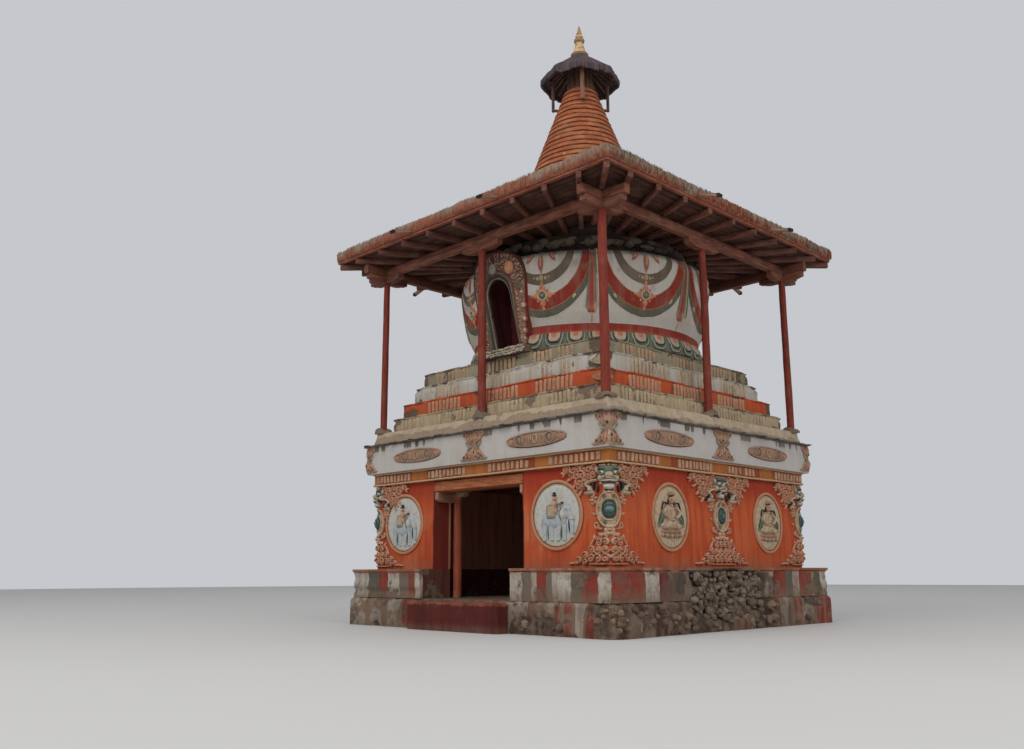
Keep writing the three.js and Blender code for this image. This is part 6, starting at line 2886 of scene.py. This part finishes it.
@dataclass
class WallOrnaments:
    """Corner and middle ornaments of the orange walls, and the medallions with seated figures."""

    half: float = 3.25

    def build(self) -> None:
        """Makes the ornaments and the medallions."""
        path = SquarePath(self.half, 0.04)
        shapes = self.beast_mask() + self.wings() + self.wheel() + self.scroll_foot()
        corners = (2.0 * np.arange(4) + 1.0) * self.half
        middles = 2.0 * np.arange(1, 4) * self.half + 0.12
        Piece("corner_ornaments", placed(path, shapes, corners, 0.0, 0.004), CARVED, "cream_plaster")
        Piece("middle_ornaments", placed(path, shapes, middles, 0.0, 0.004), CARVED, "cream_plaster")
        front = np.array([-2.32, 2.04, 4.0 * self.half - 2.04, 4.0 * self.half + 2.32])
        right = 2.0 * self.half + np.array([-1.52, 1.88, 4.0 * self.half - 1.88, 4.0 * self.half + 1.52])
        elephant = self.medallion(0.6, Hue.FIELD) + self.elephant()
        seated = self.medallion(0.54, Hue.CREAM) + self.seated()
        Piece("front_medallions", placed(path, elephant, front, 2.07, 0.004), CARVED, "cream_plaster")
        Piece("side_medallions", placed(path, seated, right, 2.05, 0.004), CARVED, "cream_plaster")

    def beast_mask(self) -> list[Surface]:
        """A guardian mask of animal form: dark brows and brow bone, round eyes, snout, teeth and jaw.

        Returns:
            The reliefs about the ornament's middle line, at their heights on the wall.
        """
        shapes = hued(Hue.GREEN, knob(0.0, 2.745, 0.4, 0.25, 0.08, 22, 6, 0.5),
                      knob(0.0, 2.66, 0.3, 0.24, 0.075, 18))
        shapes += hued(Hue.CREAM,
                       *pair(knob(0.145, 2.655, 0.13, 0.13, 0.095, 12),
                             leaf(0.195, 2.735, 0.13, 0.07, 70.0, 20.0, 0.09),
                             leaf(0.03, 2.838, 0.15, 0.03, 8.0, -50.0, 0.115)))
        shapes += hued(Hue.WHITE, *pair(knob(0.09, 2.748, 0.11, 0.07, 0.12, 14, 5, 0.6)))
        shapes += hued(Hue.DARK, *pair(knob(0.086, 2.745, 0.05, 0.048, 0.14, 10, 4, 0.6)))
        shapes += hued(Hue.TEAL, *pair(leaf(0.015, 2.785, 0.19, 0.048, 38.0, -75.0, 0.135, 10)))
        shapes += hued(Hue.CREAM, knob(0.0, 2.705, 0.07, 0.13, 0.145, 12, 5),
                       knob(0.0, 2.65, 0.23, 0.085, 0.12, 16), *pair(knob(0.042, 2.668, 0.06, 0.05, 0.15)))
        shapes += hued(Hue.DARK, *pair(knob(0.022, 2.655, 0.022, 0.018, 0.16, 8, 3)),
                       knob(0.0, 2.588, 0.25, 0.09, 0.115, 20, 5, 0.4))
        shapes += hued(Hue.WHITE, knob(0.0, 2.602, 0.205, 0.04, 0.142, 18, 4, 0.3),
                       *pair(leaf(0.09, 2.59, 0.055, 0.022, -92.0, 0.0, 0.142, 6)))
        shapes += hued(Hue.RED, knob(0.0, 2.57, 0.17, 0.022, 0.136, 12, 4))
        shapes += hued(Hue.FIELD, knob(0.0, 2.512, 0.17, 0.12, 0.1, 14, 5, 0.7))
        shapes += hued(Hue.GREEN, *pair(leaf(0.03, 2.5, 0.07, 0.03, -70.0, 0.0, 0.105, 6)))
        return shapes + hued(Hue.CREAM, *[leaf(0.042 * k, 2.852, 0.045, 0.03, 90.0 - 9.0 * k, 0.0, 0.09, 6)
                                          for k in range(-3, 4)])

    def wings(self) -> list[Surface]:
        """Scrolling leaves at both sides of the mask, pale claws below its cheeks and flower knots.

        Returns:
            The reliefs about the ornament's middle line, at their heights on the wall.
        """
        rows = ((2.845, (0.29, 0.41, 0.53, 0.65, 0.76, 0.87, 0.96), 0.066),
                (2.735, (0.31, 0.44, 0.56, 0.68, 0.79), 0.068), (2.625, (0.4, 0.53, 0.65), 0.064),
                (2.525, (0.55, 0.64), 0.05))
        peach = []
        for level, (z, places, size) in enumerate(rows):
            for k, x in enumerate(places):
                turn = 1.3 if (k + level) % 2 else -1.3
                peach += [curl(x, z, size, 200.0 - 50.0 * k, turn, 0.08, 0.5, 15),
                          knob(x, z, 0.045, 0.045, 0.09, 7, 3)]
                peach.append(leaf(x + 0.02, z - 0.05, 0.09, 0.04, -60.0 + 40.0 * (k % 3), 25.0, 0.06, 6))
        tips = ((0.95, 2.8, -5.0), (0.82, 2.7, -30.0), (0.72, 2.59, -50.0), (0.6, 2.48, -70.0))
        peach += [leaf(x, z, 0.14, 0.06, heading, 20.0, 0.06, 7) for x, z, heading in tips]
        t = np.linspace(0.0, 1.0, 17)
        elbow = 0.24 * np.sin(0.5 * np.pi * np.clip(t * 1.4, 0.0, 1.0)) - 0.1 * ease(t, 0.6, 1.0)
        arm = vectors(0.22 + elbow, 2.63 - 0.15 * t ** 1.5)
        pale = [swept(arm, 0.04 + 0.022 * t, 0.105, 9), knob(0.375, 2.47, 0.13, 0.085, 0.115, 12)]
        pale += [leaf(0.33 + 0.035 * k, 2.455, 0.085, 0.03, -120.0 + 18.0 * k, 0.0, 0.115, 6)
                 for k in range(4)]
        peach += rosette(0.33, 2.285, 0.06, 5, 0.075, 0.06)
        peach += [leaf(0.26, 2.4, 0.13, 0.05, -30.0, -60.0, 0.07),
                  leaf(0.1, 2.45, 0.12, 0.05, -140.0, 30.0, 0.07)]
        shadows = (leaf(0.3, 2.6, 0.15, 0.05, -70.0, -30.0, 0.07),
                   leaf(0.22, 2.53, 0.12, 0.05, -80.0, 0.0, 0.06),
                   leaf(0.44, 2.56, 0.13, 0.035, -80.0, -30.0, 0.1), knob(0.47, 2.42, 0.08, 0.06, 0.05, 8))
        centre = knob(0.33, 2.285, 0.06, 0.06, 0.08, 8)
        groups = ((Hue.PEACH, peach), (Hue.CREAM, pale), (Hue.DARK, shadows), (Hue.CREAM, [centre]))
        return [made for hue, shapes in groups for made in hued(hue, *pair(*shapes))]

    def wheel(self) -> list[Surface]:
        """Ring with green, tan and cream fields round a teal boss in rings, and a flower knot beneath.

        Returns:
            The reliefs about the ornament's middle line, at their heights on the wall.
        """
        z = 2.12
        shapes = hued(Hue.TAN, knob(0.0, z, 0.49, 0.6, 0.03, 30, 5, 0.3))
        shapes += hued(Hue.CREAM, ring(0.0, z, 0.24, 0.295, 0.034, 0.055),
                       ring(0.0, z, 0.15, 0.185, 0.024, 0.052))
        hues = (Hue.TAN, Hue.GREEN, Hue.GREEN, Hue.TAN, Hue.CREAM, Hue.GREEN, Hue.CREAM, Hue.PEACH)
        for k, hue in enumerate(hues):
            angle = math.radians(22.5 + 45.0 * k)
            spot = (0.195 * math.cos(angle), z + 0.238 * math.sin(angle))
            shapes += hued(hue, knob(*spot, 0.11, 0.13, 0.042, 10, 4, 0.5))
        shapes += hued(Hue.TEAL, knob(0.0, z, 0.215, 0.26, 0.085, 22, 8, 0.6))
        shapes += hued(Hue.DARK, ring(0.0, z, 0.118, 0.145, 0.032, 0.048, 30),
                       ring(0.0, z, 0.058, 0.072, 0.018, 0.088, 18))
        # Painted highlight: a light teal knob in the middle of the boss.
        shapes += hued(Hue.JADE, knob(0.0, z, 0.115, 0.14, 0.105, 14))
        flower = rosette(0.0, 1.775, 0.065, 6, 0.085, 0.05)
        shapes += hued(Hue.CREAM, *flower, *pair(leaf(0.05, 1.72, 0.2, 0.06, -25.0, 60.0, 0.045)))
        shapes += hued(Hue.PEACH, knob(0.0, 1.775, 0.07, 0.07, 0.075, 10),
                       *pair(curl(0.26, 1.86, 0.065, 180.0, 1.3, 0.055, 0.5, 14),
                             curl(0.2, 1.66, 0.055, 0.0, -1.3, 0.055, 0.5, 14),
                             leaf(0.27, 2.05, 0.13, 0.05, -10.0, 60.0),
                             leaf(0.14, 1.79, 0.15, 0.05, 0.0, 60.0, 0.045),
                             leaf(0.3, 1.66, 0.26, 0.05, -50.0, -10.0, 0.05)))
        shapes += hued(Hue.GREEN, *pair(leaf(0.03, 1.68, 0.17, 0.06, -60.0, 40.0, 0.045)))
        return shapes

    def scroll_foot(self) -> list[Surface]:
        """Packed spirals over the plinth, smaller ones and worn lumps that run out along the wall.

        Returns:
            The reliefs about the ornament's middle line, at their heights on the wall.
        """
        spirals = [(0.07, 1.575, 0.066, 0.0, 1.4), (0.2, 1.56, 0.066, 180.0, -1.5),
                   (0.08, 1.45, 0.074, 180.0, 1.4), (0.23, 1.44, 0.076, 0.0, -1.5),
                   (0.37, 1.445, 0.066, 0.0, 1.5), (0.08, 1.305, 0.078, 180.0, -1.5),
                   (0.235, 1.3, 0.078, 0.0, 1.4), (0.385, 1.3, 0.072, 180.0, -1.4),
                   (0.52, 1.35, 0.066, 0.0, 1.4), (0.53, 1.235, 0.052, 180.0, -1.3),
                   (0.66, 1.27, 0.055, 0.0, 1.3)]
        peach = [curl(x, z, size, start, turns, 0.08, 0.56, 18) for x, z, size, start, turns in spirals]
        peach += [knob(x, z, 0.9 * size, 0.9 * size, 0.085, 9, 4) for x, z, size, *_ in spirals]
        peach += [leaf(0.05, 1.64, 0.13, 0.07, 70.0, 20.0, 0.06),
                  leaf(0.28, 1.6, 0.12, 0.06, 50.0, 40.0, 0.06)]
        lumps = [knob(x, z, w, h, 0.05, 10, 4, 0.7) for x, z, w, h in (
            (0.72, 1.225, 0.15, 0.07), (0.85, 1.215, 0.13, 0.05), (0.22, 1.2, 0.56, 0.045))]
        return hued(Hue.PEACH, *pair(*peach), *pair(*lumps))

    def medallion(self, half: float, field: Hue) -> list[Surface]:
        """Oval medallion: a soft broad rim, a dark line as painted shadow of the recess, a second thin rim
        and the flat field.

        Args:
            half: half width of the rim.
            field: colour of the field.

        Returns:
            The reliefs about the medallion's middle.
        """
        high = 0.6
        shapes = hued(Hue.RIM, ring(0.0, 0.0, half, high, 0.062, 0.036, 60))
        # Painted shadow: a dark ring inside the rim stands for the shadow of the recessed field.
        shapes += hued(Hue.DARK, ring(0.0, 0.0, half - 0.036, high - 0.036, 0.012, 0.018, 60))
        shapes += hued(Hue.TAN, ring(0.0, 0.0, half - 0.052, high - 0.052, 0.024, 0.018, 60))
        return shapes + hued(field, knob(0.0, 0.0, 2.0 * half - 0.08, 2.0 * high - 0.08, 0.014, 48, 6, 0.22))

    def elephant(self) -> list[Surface]:
        """A pale elephant walking to the right, with a saddle cloth and a small rider.

        Returns:
            The reliefs about the medallion's middle.
        """
        t = np.linspace(0.0, 1.0, 15)
        legs = [swept(strip(t, (x, -0.16), (x + lean, -0.3), (x + lean, -0.45)), 0.115 - 0.025 * t, 0.04, 8)
                for x, lean in ((-0.27, -0.02), (-0.13, 0.02), (0.07, -0.02), (0.19, 0.01))]
        trunk = swept(strip(t, (0.3, 0.02), (0.375, -0.1), (0.385, -0.26), (0.37, -0.36), (0.42, -0.41)),
                      0.125 - 0.075 * t, 0.062, 8)
        pale = [knob(-0.03, -0.08, 0.56, 0.3, 0.06, 18, 6, 0.6),
                knob(-0.2, -0.06, 0.27, 0.3, 0.062, 14, 6, 0.6),
                knob(0.25, 0.05, 0.22, 0.25, 0.072, 14, 6, 0.7), trunk, *legs,
                leaf(-0.33, -0.02, 0.24, 0.03, -105.0, 20.0, 0.03)]
        shapes = hued(Hue.ROBE, *pale)
        shapes += hued(Hue.WHITE, leaf(0.185, 0.13, 0.24, 0.15, -98.0, 18.0, 0.088),
                       leaf(0.33, -0.06, 0.12, 0.026, -35.0, 50.0, 0.085),
                       *[knob(x, -0.44, 0.1, 0.04, 0.05, 8) for x in (-0.29, -0.11, 0.05, 0.2)])
        lines = (leaf(0.125, 0.12, 0.26, 0.016, -95.0, 24.0, 0.09),
                 leaf(-0.205, -0.2, 0.24, 0.014, -88.0, 0.0, 0.044),
                 leaf(0.13, -0.2, 0.24, 0.014, -92.0, 0.0, 0.044),
                 leaf(0.31, -0.04, 0.33, 0.014, -88.0, 8.0, 0.066))
        shapes += hued(Hue.TEAL, *lines, knob(0.285, 0.075, 0.03, 0.02, 0.092, 8, 3))
        shapes += hued(Hue.GREEN, tablet(0.25, 0.25, 0.078).moved(-0.09, 0.0, 0.055))
        shapes += hued(Hue.TAN, tablet(0.2, 0.2, 0.086).moved(-0.08, 0.0, 0.068))
        shapes += hued(Hue.SKIN, knob(-0.03, 0.19, 0.15, 0.15, 0.095, 12),
                       knob(-0.02, 0.29, 0.075, 0.095, 0.095, 12),
                       leaf(0.02, 0.21, 0.16, 0.04, -20.0, 50.0, 0.11),
                       leaf(0.0, 0.14, 0.14, 0.055, -70.0, 0.0, 0.1))
        return shapes + hued(Hue.DARK, knob(-0.025, 0.345, 0.075, 0.05, 0.1, 10),
                             knob(-0.025, 0.385, 0.035, 0.05, 0.09, 8), knob(0.16, 0.21, 0.04, 0.04, 0.08, 8))

    def seated(self) -> list[Surface]:
        """A seated figure with a leaf crown, looped scarves and crossed knees on a petal seat.

        Returns:
            The reliefs about the medallion's middle.
        """
        t = np.linspace(0.0, 1.0, 21)
        loop = vectors(0.11 + 0.17 * t ** 0.6, 0.225 + 0.055 * np.sin(np.pi * t) - 0.1 * t * t)
        arm = vectors(0.12 + 0.11 * np.sin(np.pi * t), 0.175 - 0.2 * t)
        shapes = hued(Hue.GREEN, *pair(leaf(0.14, 0.12, 0.4, 0.17, -42.0, -26.0, 0.036, 11),
                                       leaf(0.16, 0.0, 0.32, 0.12, -20.0, -36.0, 0.03, 11)))
        shapes += hued(Hue.DARK, *pair(swept(loop, 0.018, 0.05),
                                       leaf(0.28, 0.1, 0.26, 0.016, -58.0, -16.0, 0.045),
                                       leaf(0.2, 0.0, 0.24, 0.014, -36.0, -30.0, 0.042)))
        shapes += hued(Hue.CLAY, *pair(leaf(0.1, 0.215, 0.15, 0.06, -26.0, -44.0, 0.075)))
        shapes += hued(Hue.CREAM, knob(0.0, 0.075, 0.29, 0.26, 0.075, 16, 6),
                       *pair(swept(arm, 0.06, 0.085), knob(0.185, -0.165, 0.3, 0.13, 0.085, 14, 6)),
                       knob(0.0, -0.13, 0.34, 0.17, 0.075, 14, 6))
        shapes += hued(Hue.TAN,
                       *pair(*[leaf(0.05 + 0.07 * k, -0.115, 0.14, 0.016, -42.0 + 12.0 * k, -30.0, 0.092, 7)
                               for k in range(3)]), *pair(leaf(0.03, 0.17, 0.17, 0.018, -50.0, -60.0, 0.088)))
        shapes += hued(Hue.SKIN, knob(0.0, 0.3, 0.135, 0.165, 0.1, 18, 7),
                       knob(0.0, 0.205, 0.07, 0.07, 0.08, 10), knob(0.0, 0.29, 0.024, 0.05, 0.113, 8, 4),
                       knob(0.0, -0.055, 0.15, 0.07, 0.105, 12), knob(0.0, 0.13, 0.13, 0.09, 0.08, 12),
                       *pair(knob(0.074, 0.292, 0.024, 0.06, 0.06, 8, 3)))
        shapes += hued(Hue.DARK, *pair(leaf(0.016, 0.32, 0.036, 0.008, 12.0, -24.0, 0.11, 6),
                                       leaf(0.018, 0.3, 0.028, 0.009, -8.0, 16.0, 0.107, 6),
                                       leaf(0.062, 0.34, 0.15, 0.036, -72.0, -16.0, 0.055)),
                       knob(0.0, 0.378, 0.12, 0.045, 0.082, 12))
        shapes += hued(Hue.RED, knob(0.0, 0.258, 0.032, 0.01, 0.106, 8, 3))
        shapes += hued(Hue.TAN,
                       *[leaf(0.03 * k, 0.38, 0.08 - 0.012 * abs(k), 0.026, 90.0 - 12.0 * k, 0.0, 0.09, 6)
                         for k in range(-2, 3)])
        shapes += hued(Hue.CLAY, knob(0.0, -0.265, 0.66, 0.09, 0.055, 20, 5, 0.6))
        for k in range(-4, 5):
            shapes += hued(Hue.GREEN if k % 2 else Hue.PEACH,
                leaf(0.07 * k, -0.285, 0.115 - 0.006 * abs(k), 0.072, -90.0 + 4.0 * k, 0.0, 0.06, 7))
        return shapes


@dataclass
class Studio:
    """Plain floor, soft light and the camera at the photograph's viewing angle."""

    eye: tuple[float, float, float] = (13.574, -15.839, 1.0787)
    ahead: tuple[float, float, float] = (-0.69422, 0.69007, 0.20461)
    roll: float = -0.216
    focal: float = 943.63
    frame_width: float = 1024.0
    sensor: float = 36.0

    def build(self) -> None:
        """Sets the floor, lights, sky and camera."""
        self.floor()
        self.lights()
        self.camera()

    def floor(self) -> None:
        """A round pale floor just under the building."""
        angle = np.arange(96) * TURN / 96
        rows = np.array([(5.0, -0.03), (60.0, -0.03), (60.0, -0.002), (20.0, -0.002), (5.0, -0.002)])
        points = vectors(rows[:, 0:1] * np.cos(angle), rows[:, 0:1] * np.sin(angle), rows[:, 1:2])
        corners, quads, fans = faces_of(Surface(points))
        mesh = bpy.data.meshes.new("studio_floor")
        Piece.fill(mesh, corners, quads, fans)
        mesh.materials.append(Ground("studio_floor").material())
        floor = bpy.data.objects.new("studio_floor", mesh)
        bpy.context.scene.collection.objects.link(floor)

    def lights(self) -> None:
        """A pale sky all round and two broad lamps, high on the left and lower on the right."""
        scene = bpy.context.scene
        scene.view_settings.view_transform = "Standard"
        world = bpy.data.worlds.new("studio_sky")
        world.use_nodes = True
        backdrop = world.node_tree.nodes["Background"]
        backdrop.inputs["Color"].default_value = (0.78, 0.8, 0.84, 1.0)
        backdrop.inputs["Strength"].default_value = 0.72
        scene.world = world
        for name, spot, size, power in (("key_lamp", (4.0, -22.0, 20.0), 14.0, 2300.0),
                                        ("fill_lamp", (22.0, -6.0, 12.0), 12.0, 1050.0)):
            lamp = bpy.data.lights.new(name, "AREA")
            lamp.energy = power
            lamp.size = size
            item = bpy.data.objects.new(name, lamp)
            aim = Vector((0.0, 0.0, 5.0)) - Vector(spot)
            item.matrix_world = Matrix.Translation(spot) @ aim.to_track_quat("-Z", "Y").to_matrix().to_4x4()
            scene.collection.objects.link(item)

    def camera(self) -> None:
        """Camera from its fitted place, direction, roll and focal length in pixels."""
        ahead = Vector(self.ahead).normalized()
        right = ahead.cross(Vector((0.0, 0.0, 1.0))).normalized()
        above = right.cross(ahead)
        angle = math.radians(self.roll)
        across = math.cos(angle) * right + math.sin(angle) * above
        upward = -math.sin(angle) * right + math.cos(angle) * above
        turn = Matrix((across, upward, -ahead)).transposed().to_4x4()
        data = bpy.data.cameras.new("photo_camera")
        data.sensor_width = self.sensor
        data.lens = self.focal / self.frame_width * self.sensor
        data.clip_end = 200.0
        item = bpy.data.objects.new("photo_camera", data)
        item.matrix_world = Matrix.Translation(self.eye) @ turn
        bpy.context.scene.collection.objects.link(item)
        bpy.context.scene.camera = item


def main() -> None:
    """Builds the studio and every sub-assembly in order."""
    logging.basicConfig(level=logging.INFO, format="%(message)s")
    assemblies = [Studio(), LowerBase(), Plinth(), ChamberWalls(), WallOrnaments(), OchreBand(), Frieze(),
                  SlateCourse(), MudLedge(), *tiers(), LotusRing(), Dome(), Niche(), Collar(), CanopyFrame(),
                  RoofCovering(), Spire()]
    for assembly in assemblies:
        log.info("building %s", type(assembly).__name__)
        assembly.build()
    bpy.context.view_layer.update()


if __name__ == "__main__":
    main()
